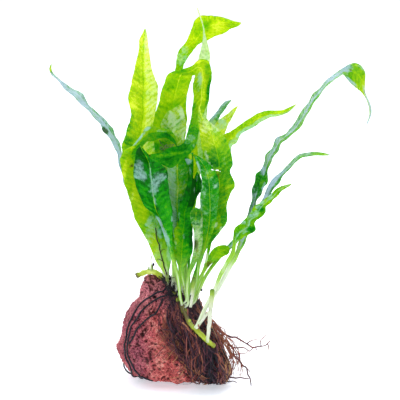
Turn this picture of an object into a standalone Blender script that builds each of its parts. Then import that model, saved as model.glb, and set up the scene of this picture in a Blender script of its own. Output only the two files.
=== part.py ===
# Java fern tied to a piece of lava rock.
# Metres, +Z up. The origin is the middle of the rock's flat resting face, which lies at z = 0.
# The front of the plant faces -Y, its right-hand side is +X.

import math

import bpy
from mathutils import Vector, noise
from mathutils.bvhtree import BVHTree

# ---------------------------------------------------------------- driving dimensions
UNIT = 0.00075            # one unit of the front elevation, in metres
STAND_OFF = 1.10          # the elevation is drawn as seen from this far in front of the rock
LOOK_DOWN = math.radians(8.0)
FOOT_U, FOOT_V = 178.0, 376.5   # where the origin falls on the elevation
BLADE = 0.00070           # thickness of a frond's blade
STALK = 0.00210           # thickness of a frond's stalk
RHIZOME_R = 0.0022        # radius of the creeping stem
THREAD_R = 0.00045        # radius of the binding thread
ROOT_R = 0.00045          # radius of a loose root
SPREAD = 0.8              # how much further apart in depth the fronds lie at the top than at their feet
SPREAD_ABOUT = -24.0      # depth, in mm, that the fronds spread from

for old in list(bpy.data.objects):
    bpy.data.objects.remove(old, do_unlink=True)

# ---------------------------------------------------------------- the front elevation
FWD = Vector((0.0, math.cos(LOOK_DOWN), -math.sin(LOOK_DOWN)))
UPW = Vector((0.0, math.sin(LOOK_DOWN), math.cos(LOOK_DOWN)))
RGT = Vector((1.0, 0.0, 0.0))
CENTRE = RGT * ((200.0 - FOOT_U) * UNIT) + UPW * ((FOOT_V - 200.0) * UNIT)
EYE = CENTRE - FWD * STAND_OFF


def sight(u, v):
    """Direction from the viewpoint to the point u, v of the elevation (v runs down)."""
    return FWD + RGT * ((u - 200.0) * UNIT / STAND_OFF) + UPW * ((200.0 - v) * UNIT / STAND_OFF)


def front(u, v, y):
    """The point that appears at u, v of the elevation and lies y millimetres behind the origin."""
    d = sight(u, v)
    t = (y * 0.001 - EYE.y) / d.y
    return EYE + d * t


# ---------------------------------------------------------------- small helpers
def material(name, rgb, rough, metal=0.0):
    mat = bpy.data.materials.new(name)
    mat.use_nodes = True
    shader = mat.node_tree.nodes["Principled BSDF"]
    shader.inputs["Base Color"].default_value = (rgb[0], rgb[1], rgb[2], 1.0)
    shader.inputs["Roughness"].default_value = rough
    shader.inputs["Metallic"].default_value = metal
    return mat


STONE = material("lava", (0.20, 0.055, 0.045), 0.95)
STEM = material("stem", (0.38, 0.45, 0.06), 0.5)
LEAF = material("leaf", (0.10, 0.30, 0.02), 0.4)
LEAF_LIT = material("leaf_young", (0.36, 0.62, 0.03), 0.45)
LEAF_DARK = material("leaf_dark", (0.02, 0.14, 0.02), 0.3)
ROOT = material("root", (0.06, 0.025, 0.015), 0.85)
THREAD = material("thread", (0.012, 0.012, 0.02), 0.6)


def solid(name, points, faces, mat, smooth=True):
    mesh = bpy.data.meshes.new(name)
    mesh.from_pydata([tuple(p) for p in points], [], faces)
    mesh.materials.append(mat)
    mesh.update()
    if smooth:
        mesh.shade_smooth()
    obj = bpy.data.objects.new(name, mesh)
    bpy.context.scene.collection.objects.link(obj)
    return obj


def spline(points, t):
    """Smooth curve through the points (Catmull-Rom), t from 0 to len(points) - 1."""
    n = len(points)
    i = min(int(t), n - 2)
    f = t - i
    p1, p2 = points[i], points[i + 1]
    p0 = points[i - 1] if i > 0 else p1 * 2 - p2
    p3 = points[i + 2] if i + 2 < n else p2 * 2 - p1
    return ((p1 * 2) + (p2 - p0) * f + (p0 * 2 - p1 * 5 + p2 * 4 - p3) * (f * f)
            + (p1 * 3 - p0 - p2 * 3 + p3) * (f * f * f)) * 0.5


def even_curve(points, step, closed=False):
    """Points at an even spacing along the smooth curve through the given ones."""
    if closed:
        ring = [points[-1]] + list(points) + [points[0], points[1]]
        lo, hi = 1.0, float(len(points) + 1)
    else:
        ring = list(points)
        lo, hi = 0.0, float(len(points) - 1)
    dense = [spline(ring, lo + (hi - lo) * k / 600.0) for k in range(601)]
    lengths = [0.0]
    for a, b in zip(dense, dense[1:]):
        lengths.append(lengths[-1] + (b - a).length)
    count = max(3, int(round(lengths[-1] / step)))
    out, j = [], 0
    for k in range(count if closed else count + 1):
        want = lengths[-1] * k / count
        while j < 599 and lengths[j + 1] < want:
            j += 1
        span = max(1e-12, lengths[j + 1] - lengths[j])
        out.append(dense[j].lerp(dense[j + 1], min(1.0, (want - lengths[j]) / span)))
    return out


def tube(name, points, radius, mat, sides=1, closed=False, taper=None):
    """A round strand through the points: a curve with a bevel and filled ends."""
    curve = bpy.data.curves.new(name, 'CURVE')
    curve.dimensions = '3D'
    curve.bevel_depth = radius
    curve.bevel_resolution = sides
    curve.use_fill_caps = not closed
    line = curve.splines.new('POLY')
    line.points.add(len(points) - 1)
    for k, p in enumerate(points):
        line.points[k].co = (p.x, p.y, p.z, 1.0)
        line.points[k].radius = taper(k / (len(points) - 1.0)) if taper else 1.0
    line.use_cyclic_u = closed
    line.use_smooth = True
    curve.materials.append(mat)
    obj = bpy.data.objects.new(name, curve)
    bpy.context.scene.collection.objects.link(obj)
    return obj


# ---------------------------------------------------------------- the rock
# Levels of the stone: elevation v, left and right edge u, front and back depth in mm.
ROCK = [
    (376.5, 157.0, 214.0, -34.0, 25.0),
    (372.5, 141.0, 219.0, -37.0, 30.0),
    (366.0, 130.5, 222.0, -40.0, 34.0),
    (359.0, 125.0, 221.0, -41.5, 36.5),
    (353.0, 120.5, 219.5, -41.5, 37.5),
    (347.0, 117.5, 217.5, -41.0, 37.5),
    (341.0, 120.5, 214.5, -39.5, 36.5),
    (334.0, 122.5, 211.0, -37.5, 35.0),
    (327.0, 123.0, 207.0, -35.5, 33.0),
    (320.0, 124.5, 202.5, -33.0, 31.0),
    (313.0, 127.0, 197.5, -30.5, 28.5),
    (306.0, 131.5, 192.0, -27.5, 25.5),
    (299.0, 139.0, 186.0, -24.0, 22.5),
    (292.0, 141.5, 180.5, -20.5, 19.0),
    (286.0, 143.0, 174.5, -17.0, 15.5),
    (281.0, 143.2, 168.5, -13.0, 12.0),
    (277.0, 145.5, 162.5, -8.5, 8.0),
]
ROCK_SEG = 32


def rock_level(s):
    """Interpolated level, s from 0 (foot) to len(ROCK) - 1 (top)."""
    i = min(int(s), len(ROCK) - 2)
    f = s - i
    return [a + (b - a) * f for a, b in zip(ROCK[i], ROCK[i + 1])]


def rock_point(s, a, off=0.0):
    """A point of the stone's skin at level s and angle a (0 right, 90 back, -90 front)."""
    v, ul, ur, yf, yb = rock_level(s)
    left, right = front(ul, v, 0.0), front(ur, v, 0.0)
    z = max(0.0, left.z)
    mid_x, mid_y = (left.x + right.x) / 2, (yf + yb) / 2 * 0.001
    rx, ry = (right.x - left.x) / 2, (yb - yf) / 2 * 0.001
    c, sn = math.cos(a), math.sin(a)
    e = 2.0 / 2.3
    x = rx * math.copysign(abs(c) ** e, c)
    y = ry * math.copysign(abs(sn) ** e, sn)
    lump = noise.noise(Vector((c * 1.9, sn * 1.9, z * 42.0))) * 0.0022
    lump += noise.noise(Vector((c * 4.7 + 9.0, sn * 4.7, z * 95.0 + 4.0))) * 0.0011
    side = abs(sn) ** 0.5
    r = math.hypot(x, y)
    k = (r + lump * side + off) / r
    return Vector((mid_x + x * k, mid_y + y * k, z))


def build_rock():
    rows = len(ROCK)
    pts = [rock_point(i, math.radians(360.0 * j / ROCK_SEG)) for i in range(rows) for j in range(ROCK_SEG)]
    faces = []
    for i in range(rows - 1):
        for j in range(ROCK_SEG):
            k = (j + 1) % ROCK_SEG
            faces.append((i * ROCK_SEG + j, i * ROCK_SEG + k, (i + 1) * ROCK_SEG + k, (i + 1) * ROCK_SEG + j))
    foot = len(pts)
    pts.append(Vector((0.0, -0.004, 0.0)))
    top = len(pts)
    crown = [pts[(rows - 1) * ROCK_SEG + j] for j in range(ROCK_SEG)]
    mid = sum(crown, Vector()) / ROCK_SEG
    pts.append(mid + Vector((0.0, 0.0, 0.0016)))
    for j in range(ROCK_SEG):
        k = (j + 1) % ROCK_SEG
        faces.append((foot, k, j))
        faces.append((top, (rows - 1) * ROCK_SEG + j, (rows - 1) * ROCK_SEG + k))
    return solid("lava_rock", pts, faces, STONE, smooth=False)


rock = build_rock()

# ---------------------------------------------------------------- the root mass
MAT_FROM, MAT_TO, MAT_SEG = -80.0, 78.0, 12      # degrees round the stone
MAT_LEVELS = [0.0, 1.0, 2.0, 3.0, 4.0, 5.5, 7.0, 8.5, 10.0, 11.0, 11.6]


def mat_thick(s, a):
    """Thickness of the root mass over the stone, in metres."""
    deg = math.degrees(a)
    right = math.exp(-((deg + 22.0) / 42.0) ** 2)
    h = s / 11.6
    swell = 0.0055 + 0.0080 * right * (1.0 - 0.35 * abs(h - 0.35))
    if s < 1.5:
        swell += 0.0035 * right * (1.5 - s)
    edge = min(1.0, (deg - MAT_FROM) / 22.0 + 0.22, (MAT_TO - deg) / 26.0 + 0.22)
    crown = min(1.0, 0.45 + (11.6 - s) / 4.0)
    return swell * edge * crown


def build_root_mat():
    inner, outer = [], []
    for s in MAT_LEVELS:
        start = MAT_FROM
        row_i, row_o = [], []
        for j in range(MAT_SEG + 1):
            a = math.radians(start + (MAT_TO - start) * j / MAT_SEG)
            t = mat_thick(s, math.radians(MAT_FROM + (MAT_TO - MAT_FROM) * j / MAT_SEG))
            row_i.append(rock_point(s, a, 0.0016))
            row_o.append(rock_point(s, a, 0.0016 + max(0.0012, t)))
        inner.append(row_i)
        outer.append(row_o)
    n = MAT_SEG + 1
    pts, faces = [], []
    for row_i, row_o in zip(inner, outer):
        pts += row_o + row_i[::-1]
    ring = 2 * n
    for i in range(len(MAT_LEVELS) - 1):
        for j in range(ring):
            k = (j + 1) % ring
            faces.append((i * ring + j, i * ring + k, (i + 1) * ring + k, (i + 1) * ring + j))
    for j in range(n - 1):
        b, t = 0, (len(MAT_LEVELS) - 1) * ring
        faces.append((b + j + 1, b + j, b + ring - 1 - j, b + ring - 2 - j))
        faces.append((t + j, t + j + 1, t + ring - 2 - j, t + ring - 1 - j))
    return solid("root_mat", pts, faces, ROOT)


mat_obj = build_root_mat()


def skin(*objs):
    """Surface of the given solids, for laying strands on them."""
    verts, polys = [], []
    for obj in objs:
        base = len(verts)
        verts += [v.co.copy() for v in obj.data.vertices]
        polys += [tuple(base + i for i in p.vertices) for p in obj.data.polygons]
    return BVHTree.FromPolygons(verts, polys)


ROCK_SKIN = skin(rock)
BOTH_SKIN = skin(rock, mat_obj)


def lay_front(u, v, lift, tree):
    """The point of the surface that shows at u, v, lifted off it by lift metres."""
    d = sight(u, v).normalized()
    hit, normal, _, _ = tree.ray_cast(EYE, d)
    if hit is None:
        near = front(u, v, 0.0)
        hit, normal, _, _ = tree.find_nearest(near)
        out = (near - hit)
        normal = out.normalized() if out.length > 1e-6 else normal
    if normal.dot(d) > 0:
        normal = -normal
    p = hit + normal * lift
    return Vector((p.x, p.y, max(p.z, 0.0012)))


def lay_back(x, z, lift, tree):
    """The same from behind, x and z in millimetres."""
    hit, normal, _, _ = tree.ray_cast(Vector((x * 0.001, 0.3, z * 0.001)), Vector((0.0, -1.0, 0.0)))
    if hit is None:
        near = Vector((x * 0.001, 0.002, z * 0.001))
        hit, normal, _, _ = tree.find_nearest(near)
        normal = (near - hit).normalized()
    p = hit + normal * lift
    return Vector((p.x, p.y, max(p.z, 0.0012)))


# ---------------------------------------------------------------- the creeping stem
def stem(name, points, r0, r1):
    pts = even_curve(points, 0.0034)
    return tube(name, pts, 1.0, STEM, sides=1, taper=lambda t: (r0 + (r1 - r0) * t) * (1.0 + 0.07 * math.sin(t * 31.0)))


lift = RHIZOME_R + 0.0009
stem("rhizome_left", [front(162.0, 276.6, -9.5), front(158.5, 274.2, -10.2), front(152.0, 271.6, -11.0),
                      front(146.5, 271.9, -11.4), front(140.5, 274.0, -11.8), front(135.9, 275.8, -12.0)],
     RHIZOME_R * 0.95, RHIZOME_R * 0.85)
stem("rhizome_main", [front(165.3, 277.6, -11.5), front(169.0, 283.5, -19.5), front(173.5, 291.0, -26.5),
                      front(179.0, 300.0, -32.5), front(183.3, 308.8, -38.0)],
     RHIZOME_R, RHIZOME_R * 1.05)
stem("rhizome_back", [front(182.6, 295.6, -27.6), front(187.5, 298.0, -24.8), front(192.0, 300.4, -22.6),
                      front(195.8, 303.2, -20.4)], RHIZOME_R * 0.9, RHIZOME_R * 0.8)
stem("rhizome_front", [front(185.2, 314.0, -42.0), front(188.0, 320.5, -46.5), front(192.5, 326.5, -49.5),
                       front(198.0, 331.5, -51.0), front(204.0, 337.5, -51.5), front(210.0, 343.0, -51.0),
                       front(214.6, 346.2, -50.0)], RHIZOME_R, RHIZOME_R * 1.12)

# ---------------------------------------------------------------- the fronds
# Each frond runs from the foot of its stalk to its tip as a list of stations.
#   five numbers  (u, v, y, w, roll): the midrib at u, v and depth y mm; w is the full width
#                 in units; roll turns the blade about its midrib, in degrees.
#   eight numbers (ul, vl, ur, vr, y, tilt, m, cup): left edge, right edge, midrib depth y mm;
#                 tilt is how far the right edge lies behind the left one in mm; m is the
#                 midrib's place between the edges; cup is how far the edges stand in front.
FRONDS = {
    "frond_far_left": (LEAF_DARK, [
        (163.5, 272.5, -15.0, 2.6, 0), (158.0, 258.0, -10.0, 2.8, 0), (148.5, 238.0, -2.0, 4.5, 40),
        (138.0, 213.0, 5.0, 9.0, 60), (129.5, 189.0, 9.0, 15.0, 70), (123.5, 168.0, 11.0, 19.0, 72),
        (118.6, 151.5, 12.0, 21.0, 72), (112.6, 138.0, 12.0, 22.0, 71), (106.0, 128.0, 11.0, 22.0, 71),
        (98.6, 118.4, 10.0, 20.0, 76), (91.0, 111.2, 9.0, 19.0, 77), (84.0, 105.0, 8.0, 19.0, 76),
        (77.0, 97.0, 7.0, 18.0, 72), (67.5, 89.5, 6.0, 14.0, 73), (58.5, 80.5, 5.0, 9.0, 70),
        (52.4, 74.4, 4.0, 5.5, 64), (50.4, 69.0, 3.0, 3.0, 50), (51.2, 64.2, 2.0, 0.9, 0)]),
    "frond_tall_left": (LEAF_LIT, [
        (168.2, 275.6, -16.0, 2.8, 0), (165.0, 262.0, -12.0, 3.4, 0), (159.0, 240.0, -7.0, 6.0, 0),
        (141.5, 213.0, 158.0, 211.0, -4.0, 0.0, 0.5, 1.0),
        (131.5, 188.0, 156.5, 186.0, -1.0, 0.0, 0.5, 1.5),
        (124.5, 166.0, 157.0, 163.0, 0.0, 0.0, 0.5, 2.0),
        (122.0, 147.0, 157.0, 145.0, 0.5, -1.0, 0.5, 2.0),
        (126.2, 131.5, 156.0, 128.0, 0.5, -2.0, 0.5, 2.0),
        (131.0, 115.0, 155.5, 112.0, 0.0, -2.0, 0.5, 2.0),
        (128.3, 98.5, 157.3, 98.0, -1.0, -1.5, 0.5, 1.5),
        (131.2, 82.0, 157.2, 84.0, -2.5, 0.0, 0.47, 1.2),
        (135.2, 65.5, 152.3, 71.0, -4.5, 1.0, 0.45, 1.0),
        (138.8, 50.0, 149.6, 55.0, -6.5, 1.0, 0.45, 0.5),
        (139.2, 40.0, 148.0, 42.0, -8.0, 1.0, 0.5, 0.3),
        (142.9, 32.5, 146.8, 33.0, -9.0, 0.0, 0.5, 0.0),
        (144.4, 29.0, 145.6, 29.0, -9.5, 0.0, 0.5, 0.0)]),
    "frond_low_left_arch": (LEAF_LIT, [
        (167.5, 279.8, -24.0, 2.8, 0), (166.3, 272.0, -22.5, 5.5, 0),
        (157.2, 264.0, 171.0, 260.5, -20.5, 0.0, 0.5, 0.8),
        (152.0, 252.5, 170.5, 249.0, -18.5, 0.0, 0.5, 1.2),
        (147.3, 240.5, 169.5, 237.0, -17.0, 0.0, 0.52, 1.5),
        (140.4, 229.0, 168.0, 224.5, -15.5, 0.0, 0.54, 1.8),
        (133.6, 215.5, 166.0, 210.5, -14.5, 0.0, 0.5, 2.0),
        (130.2, 200.5, 161.5, 195.5, -13.5, 0.0, 0.5, 2.0),
        (124.8, 185.0, 155.5, 180.5, -13.5, 0.0, 0.5, 1.8),
        (121.2, 168.0, 149.5, 164.5, -14.5, 0.0, 0.5, 1.2),
        (120.7, 156.5, 143.5, 155.5, -17.5, 0.5, 0.5, 0.8),
        (126.0, 149.8, 141.0, 150.6, -21.0, 1.0, 0.5, 0.3),
        (133.0, 145.2, 142.5, 147.0, -23.5, 0.5, 0.5, 0.0),
        (140.3, 135.8, 146.8, 142.0, -24.5, -3.0, 0.5, 0.0),
        (147.0, 127.0, 151.6, 141.5, -24.0, -5.0, 0.5, 0.0),
        (155.0, 126.6, 157.0, 139.0, -23.0, -6.0, 0.5, 0.0),
        (163.0, 128.2, 162.5, 137.5, -22.0, -6.0, 0.5, 0.0),
        (170.0, 130.8, 167.5, 138.5, -21.5, -5.0, 0.5, 0.0),
        (175.0, 135.5, 171.3, 141.2, -21.5, -4.0, 0.5, 0.0),
        (177.0, 141.5, 174.5, 144.0, -21.5, -2.0, 0.5, 0.0),
        (177.2, 146.5, 176.5, 147.0, -21.5, 0.0, 0.5, 0.0)]),
    "frond_folded_over": (LEAF_LIT, [
        (172.8, 284.0, -27.0, 2.6, 0), (173.5, 268.0, -17.0, 3.2, 0), (174.0, 248.0, -9.0, 6.0, 0),
        (167.5, 222.0, 181.0, 222.0, -4.0, 0.0, 0.5, 0.8),
        (162.5, 196.0, 183.0, 196.0, -2.5, 0.0, 0.5, 1.0),
        (157.5, 169.0, 183.5, 169.0, -2.0, 0.0, 0.5, 1.4),
        (154.5, 145.0, 184.5, 146.0, -2.5, 0.0, 0.5, 1.6),
        (152.8, 128.0, 186.5, 129.0, -3.0, 0.0, 0.5, 1.8),
        (155.0, 114.5, 186.6, 114.5, -3.5, 0.0, 0.52, 1.8),
        (158.8, 103.5, 186.2, 102.5, -4.0, 0.0, 0.52, 1.8),
        (162.2, 88.5, 188.6, 89.5, -5.0, 0.0, 0.54, 1.5),
        (166.2, 77.5, 191.0, 80.5, -6.5, 0.0, 0.52, 0.8),
        (171.5, 71.0, 192.2, 76.3, -8.5, -1.0, 0.5, 0.0),
        (183.0, 69.0, 193.0, 75.6, -10.5, -1.5, 0.5, 0.0),
        (193.0, 65.2, 193.8, 75.2, -12.2, -2.0, 0.5, 0.0),
        (199.0, 60.2, 194.6, 75.2, -13.8, -2.5, 0.5, 0.0),
        (207.6, 60.2, 195.0, 76.8, -15.3, -2.5, 0.5, 0.0),
        (211.3, 70.0, 194.0, 80.5, -16.6, -2.5, 0.5, 0.0),
        (211.6, 78.5, 192.6, 87.5, -17.6, -2.5, 0.5, 0.0),
        (209.6, 90.0, 193.5, 96.5, -18.8, -2.0, 0.5, 0.3),
        (208.8, 100.5, 192.6, 106.0, -20.4, -1.5, 0.5, 0.5),
        (204.5, 111.5, 191.8, 115.0, -23.0, -1.0, 0.5, 0.5),
        (201.4, 123.0, 189.6, 124.0, -26.0, 0.0, 0.5, 0.5),
        (198.4, 134.0, 187.6, 131.5, -29.5, 1.0, 0.5, 0.5),
        (196.4, 144.5, 185.8, 138.0, -33.0, 2.0, 0.5, 0.5),
        (190.5, 153.0, 183.0, 143.5, -36.0, 3.0, 0.5, 0.5),
        (181.0, 161.0, 177.5, 146.0, -38.0, 3.0, 0.5, 0.6),
        (171.8, 167.8, 169.0, 148.3, -39.0, 3.0, 0.5, 0.8),
        (163.0, 165.0, 162.0, 152.6, -39.0, 2.0, 0.5, 0.6),
        (156.0, 161.8, 156.2, 153.3, -38.5, 1.0, 0.5, 0.3),
        (151.0, 158.6, 150.9, 154.2, -38.0, 0.5, 0.5, 0.0),
        (148.8, 156.6, 148.8, 155.4, -37.8, 0.0, 0.5, 0.0)]),
    "frond_top_right": (LEAF_LIT, [
        (172.2, 278.5, -19.0, 2.6, 0), (173.5, 262.0, -8.0, 2.8, 0), (173.0, 230.0, 4.0, 4.0, 0),
        (172.5, 195.0, 10.0, 7.0, 0), (173.5, 160.0, 13.0, 11.0, 0), (175.0, 122.0, 14.0, 14.0, 0),
        (169.0, 92.0, 184.0, 89.0, 12.5, 0.0, 0.5, 0.5),
        (175.0, 70.0, 183.2, 67.5, 11.5, 0.0, 0.5, 0.3),
        (176.6, 58.5, 186.8, 60.0, 10.5, 2.0, 0.5, 0.0),
        (178.6, 51.5, 191.0, 53.0, 10.0, 3.0, 0.5, 0.0),
        (184.2, 44.0, 197.0, 45.5, 9.0, 3.0, 0.5, 0.3),
        (189.5, 34.5, 205.0, 41.5, 8.0, 2.0, 0.5, 0.6),
        (193.0, 24.0, 212.5, 37.6, 6.5, 0.0, 0.5, 0.8),
        (198.5, 17.0, 220.0, 34.8, 5.0, 0.0, 0.5, 0.8),
        (206.5, 15.4, 226.0, 32.5, 3.5, 0.0, 0.5, 0.6),
        (216.0, 15.8, 230.0, 29.4, 2.0, 0.0, 0.5, 0.4),
        (226.0, 18.5, 235.0, 27.6, 0.5, 0.0, 0.5, 0.2),
        (234.0, 20.8, 238.8, 25.6, -1.0, 0.0, 0.5, 0.0),
        (240.6, 22.4, 241.0, 23.6, -2.0, 0.0, 0.5, 0.0)]),
    "frond_pale_spear": (LEAF_LIT, [
        (182.0, 286.5, -24.5, 2.6, 0), (185.0, 262.0, -13.0, 2.8, 0), (190.0, 228.0, -3.0, 4.5, 0),
        (194.5, 190.0, 2.0, 7.0, 0), (198.5, 150.0, 4.0, 10.0, 0), (201.0, 112.0, 4.0, 12.0, 0),
        (198.0, 82.0, 209.5, 82.0, 3.0, 0.0, 0.5, 0.3),
        (197.6, 67.0, 209.6, 67.0, 2.0, 0.0, 0.5, 0.3),
        (198.5, 57.5, 210.3, 57.5, 1.0, 0.0, 0.5, 0.3),
        (200.8, 49.5, 209.4, 49.5, 0.2, 0.0, 0.5, 0.2),
        (202.4, 42.0, 207.3, 42.0, -0.6, 0.0, 0.5, 0.0),
        (203.2, 35.0, 205.2, 34.5, -1.2, 0.0, 0.5, 0.0),
        (202.9, 28.0, 204.1, 27.7, -2.0, 0.0, 0.5, 0.0),
        (200.9, 20.2, 201.9, 19.8, -3.0, 0.0, 0.5, 0.0),
        (198.6, 13.6, 199.6, 13.2, -4.0, 0.0, 0.5, 0.0),
        (196.8, 8.2, 197.6, 7.8, -5.0, 0.0, 0.5, 0.0)]),
    "frond_right_centre": (LEAF_LIT, [
        (188.6, 294.6, -27.0, 2.8, 0), (194.0, 277.0, -26.0, 3.2, 0), (199.5, 262.0, -26.0, 4.0, 0),
        (200.2, 251.0, 206.0, 250.0, -26.5, 0.0, 0.5, 0.0),
        (201.0, 241.0, 213.0, 240.5, -27.0, 0.0, 0.5, 0.5),
        (202.0, 230.0, 222.2, 229.0, -27.0, 0.0, 0.5, 1.0),
        (202.6, 219.0, 227.3, 219.0, -26.5, 0.0, 0.5, 1.2),
        (202.8, 207.0, 226.6, 206.5, -26.0, 0.0, 0.52, 1.4),
        (203.0, 195.5, 230.6, 194.5, -26.0, 0.0, 0.54, 1.5),
        (203.2, 184.5, 234.8, 184.0, -25.5, 0.5, 0.52, 1.5),
        (203.8, 173.0, 230.3, 172.0, -25.0, 1.0, 0.55, 1.5),
        (204.6, 163.0, 232.4, 164.0, -25.0, 2.0, 0.55, 1.5),
        (203.4, 151.0, 230.0, 150.5, -26.5, 2.0, 0.52, 1.3),
        (200.6, 139.0, 225.4, 138.0, -28.5, 2.0, 0.5, 1.0),
        (199.1, 129.5, 218.3, 129.3, -30.0, 2.0, 0.5, 0.8),
        (198.2, 121.5, 209.8, 121.8, -31.0, 1.5, 0.48, 0.4),
        (198.2, 114.5, 204.0, 114.8, -31.6, 1.0, 0.45, 0.2),
        (198.6, 109.0, 200.6, 109.2, -32.0, 0.5, 0.5, 0.0),
        (198.8, 105.8, 199.4, 105.8, -32.2, 0.0, 0.5, 0.0)]),
    "frond_front_dark": (LEAF_DARK, [
        (192.2, 300.5, -36.0, 2.6, 0), (196.9, 286.0, -34.5, 2.8, 0), (198.2, 271.0, -33.5, 2.8, 0),
        (200.0, 259.0, -33.0, 3.2, 0),
        (201.4, 249.5, 206.3, 249.8, -33.0, 0.0, 0.5, 0.0),
        (202.6, 240.5, 209.4, 241.0, -33.0, 0.0, 0.5, 0.4),
        (202.8, 230.0, 213.2, 231.0, -33.2, 0.0, 0.54, 0.8),
        (202.0, 219.0, 216.0, 220.0, -33.5, 0.0, 0.57, 1.2),
        (201.3, 208.0, 217.4, 208.0, -33.8, 0.0, 0.58, 1.5),
        (201.6, 196.0, 218.8, 195.5, -34.0, 0.0, 0.5, 1.8),
        (202.0, 184.0, 219.0, 184.0, -34.2, 0.0, 0.42, 1.6),
        (200.6, 173.5, 217.2, 175.0, -34.5, 0.0, 0.4, 1.2),
        (198.0, 167.0, 212.8, 167.5, -34.8, 0.0, 0.45, 0.8),
        (195.8, 161.5, 206.6, 161.8, -35.0, 0.0, 0.5, 0.4),
        (194.2, 157.0, 199.8, 157.0, -35.2, 0.0, 0.5, 0.0),
        (193.0, 154.2, 193.8, 154.0, -35.3, 0.0, 0.5, 0.0)]),
    "frond_big_glossy": (LEAF_DARK, [
        (181.6, 303.0, -39.2, 2.5, 0), (180.2, 297.0, -38.5, 3.0, 0),
        (176.4, 279.0, 179.8, 278.0, -37.5, 0.0, 0.5, 0.0),
        (172.9, 266.0, 177.0, 265.0, -36.5, 0.0, 0.4, 0.0),
        (169.2, 252.5, 173.4, 251.5, -35.5, 0.0, 0.4, 0.0),
        (165.4, 240.0, 172.2, 240.0, -34.5, 0.0, 0.3, 0.4),
        (160.8, 226.5, 172.4, 231.0, -34.0, 0.0, 0.25, 0.8),
        (154.0, 214.2, 172.9, 222.0, -33.5, 0.0, 0.25, 1.2),
        (146.2, 208.0, 172.6, 212.0, -33.0, 0.0, 0.36, 1.8),
        (141.8, 201.0, 171.2, 203.0, -32.5, 0.0, 0.42, 2.4),
        (137.2, 190.0, 169.2, 191.0, -32.0, 0.0, 0.48, 2.8),
        (135.0, 181.0, 168.2, 181.0, -32.0, 0.0, 0.5, 3.0),
        (133.4, 172.0, 167.8, 173.5, -32.0, 0.0, 0.5, 2.8),
        (134.0, 163.5, 163.5, 166.5, -32.0, 0.0, 0.52, 2.2),
        (135.4, 155.5, 154.5, 159.5, -31.5, 0.0, 0.6, 1.4),
        (137.0, 149.5, 146.2, 152.0, -31.0, 0.0, 0.6, 0.5),
        (140.2, 145.9, 141.2, 146.1, -30.5, 0.0, 0.5, 0.0)]),
    "frond_centre_back": (LEAF_DARK, [
        (179.4, 291.6, -35.0, 2.5, 0), (180.2, 280.0, -30.0, 2.6, 0), (179.4, 265.0, -26.0, 2.8, 0),
        (178.5, 248.0, -22.0, 5.0, 0),
        (172.0, 226.0, 182.5, 226.0, -20.5, 0.0, 0.5, 0.3),
        (171.5, 213.0, 183.5, 214.0, -20.0, 0.0, 0.5, 0.6),
        (169.5, 203.0, 184.5, 203.5, -19.5, 0.0, 0.5, 0.8),
        (168.2, 192.5, 187.0, 195.0, -19.0, 0.0, 0.5, 1.0),
        (168.5, 183.5, 188.4, 186.0, -18.5, 0.0, 0.48, 1.0),
        (167.6, 174.0, 188.2, 175.5, -18.0, 0.0, 0.48, 1.0),
        (167.8, 165.0, 187.2, 166.0, -17.5, 0.0, 0.5, 0.7),
        (170.5, 157.5, 184.0, 158.0, -17.0, 0.0, 0.5, 0.4),
        (176.2, 150.0, 177.8, 150.0, -16.5, 0.0, 0.5, 0.0)]),
    "frond_front_centre": (LEAF, [
        (186.4, 300.0, -38.0, 2.5, 0), (184.8, 290.0, -36.0, 2.8, 0), (182.6, 279.0, -33.8, 4.0, 0),
        (178.8, 269.0, 184.2, 268.5, -32.5, 0.0, 0.4, 0.3),
        (176.0, 260.0, 188.0, 260.5, -31.0, 0.0, 0.45, 0.8),
        (173.2, 252.0, 192.0, 254.0, -30.0, 0.0, 0.45, 1.2),
        (172.2, 244.5, 193.0, 246.0, -29.5, 0.0, 0.48, 1.4),
        (174.3, 237.0, 192.3, 239.0, -29.0, 0.0, 0.48, 1.2),
        (173.6, 230.5, 192.6, 230.5, -28.5, 0.0, 0.5, 1.0),
        (179.0, 222.0, 191.2, 222.5, -28.0, 0.0, 0.45, 0.8),
        (177.8, 214.0, 190.6, 213.5, -28.0, 0.0, 0.5, 0.8),
        (179.8, 206.0, 194.2, 205.0, -27.5, 0.0, 0.5, 0.8),
        (183.5, 197.5, 195.3, 197.0, -27.5, 0.0, 0.5, 0.5),
        (185.5, 189.5, 196.0, 188.5, -27.5, 0.0, 0.5, 0.3),
        (188.0, 182.0, 195.0, 181.0, -27.5, 0.0, 0.5, 0.0),
        (191.2, 176.0, 192.0, 176.0, -27.5, 0.0, 0.5, 0.0)]),
    "frond_grey_tip": (LEAF_DARK, [
        (185.0, 290.8, -29.5, 2.4, 0), (186.0, 262.0, -21.0, 2.6, 0), (187.0, 228.0, -16.0, 3.5, 0),
        (183.0, 200.0, 191.0, 200.0, -12.5, 0.0, 0.5, 0.3),
        (181.5, 178.0, 193.0, 178.0, -11.0, 0.0, 0.5, 0.3),
        (181.0, 164.0, 193.2, 164.0, -10.5, 0.0, 0.5, 0.3),
        (181.0, 155.0, 193.3, 155.0, -12.0, 0.0, 0.5, 0.3),
        (181.2, 153.5, 193.4, 153.5, -15.0, 0.0, 0.5, 0.3),
        (182.0, 160.0, 193.4, 161.0, -16.3, 0.0, 0.5, 0.3),
        (185.0, 170.0, 193.3, 171.0, -16.6, 0.0, 0.5, 0.2),
        (188.6, 178.0, 192.9, 178.5, -16.7, 0.0, 0.5, 0.0),
        (191.6, 184.2, 192.4, 184.2, -16.7, 0.0, 0.5, 0.0)]),
    "frond_dark_narrow": (LEAF_DARK, [
        (188.2, 298.5, -33.5, 2.4, 0), (189.0, 272.0, -28.0, 2.6, 0), (187.5, 245.0, -25.0, 3.2, 0),
        (183.5, 225.0, 189.0, 225.0, -24.0, 0.0, 0.5, 0.0),
        (184.5, 213.0, 190.5, 212.5, -24.0, 0.0, 0.5, 0.0),
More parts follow.
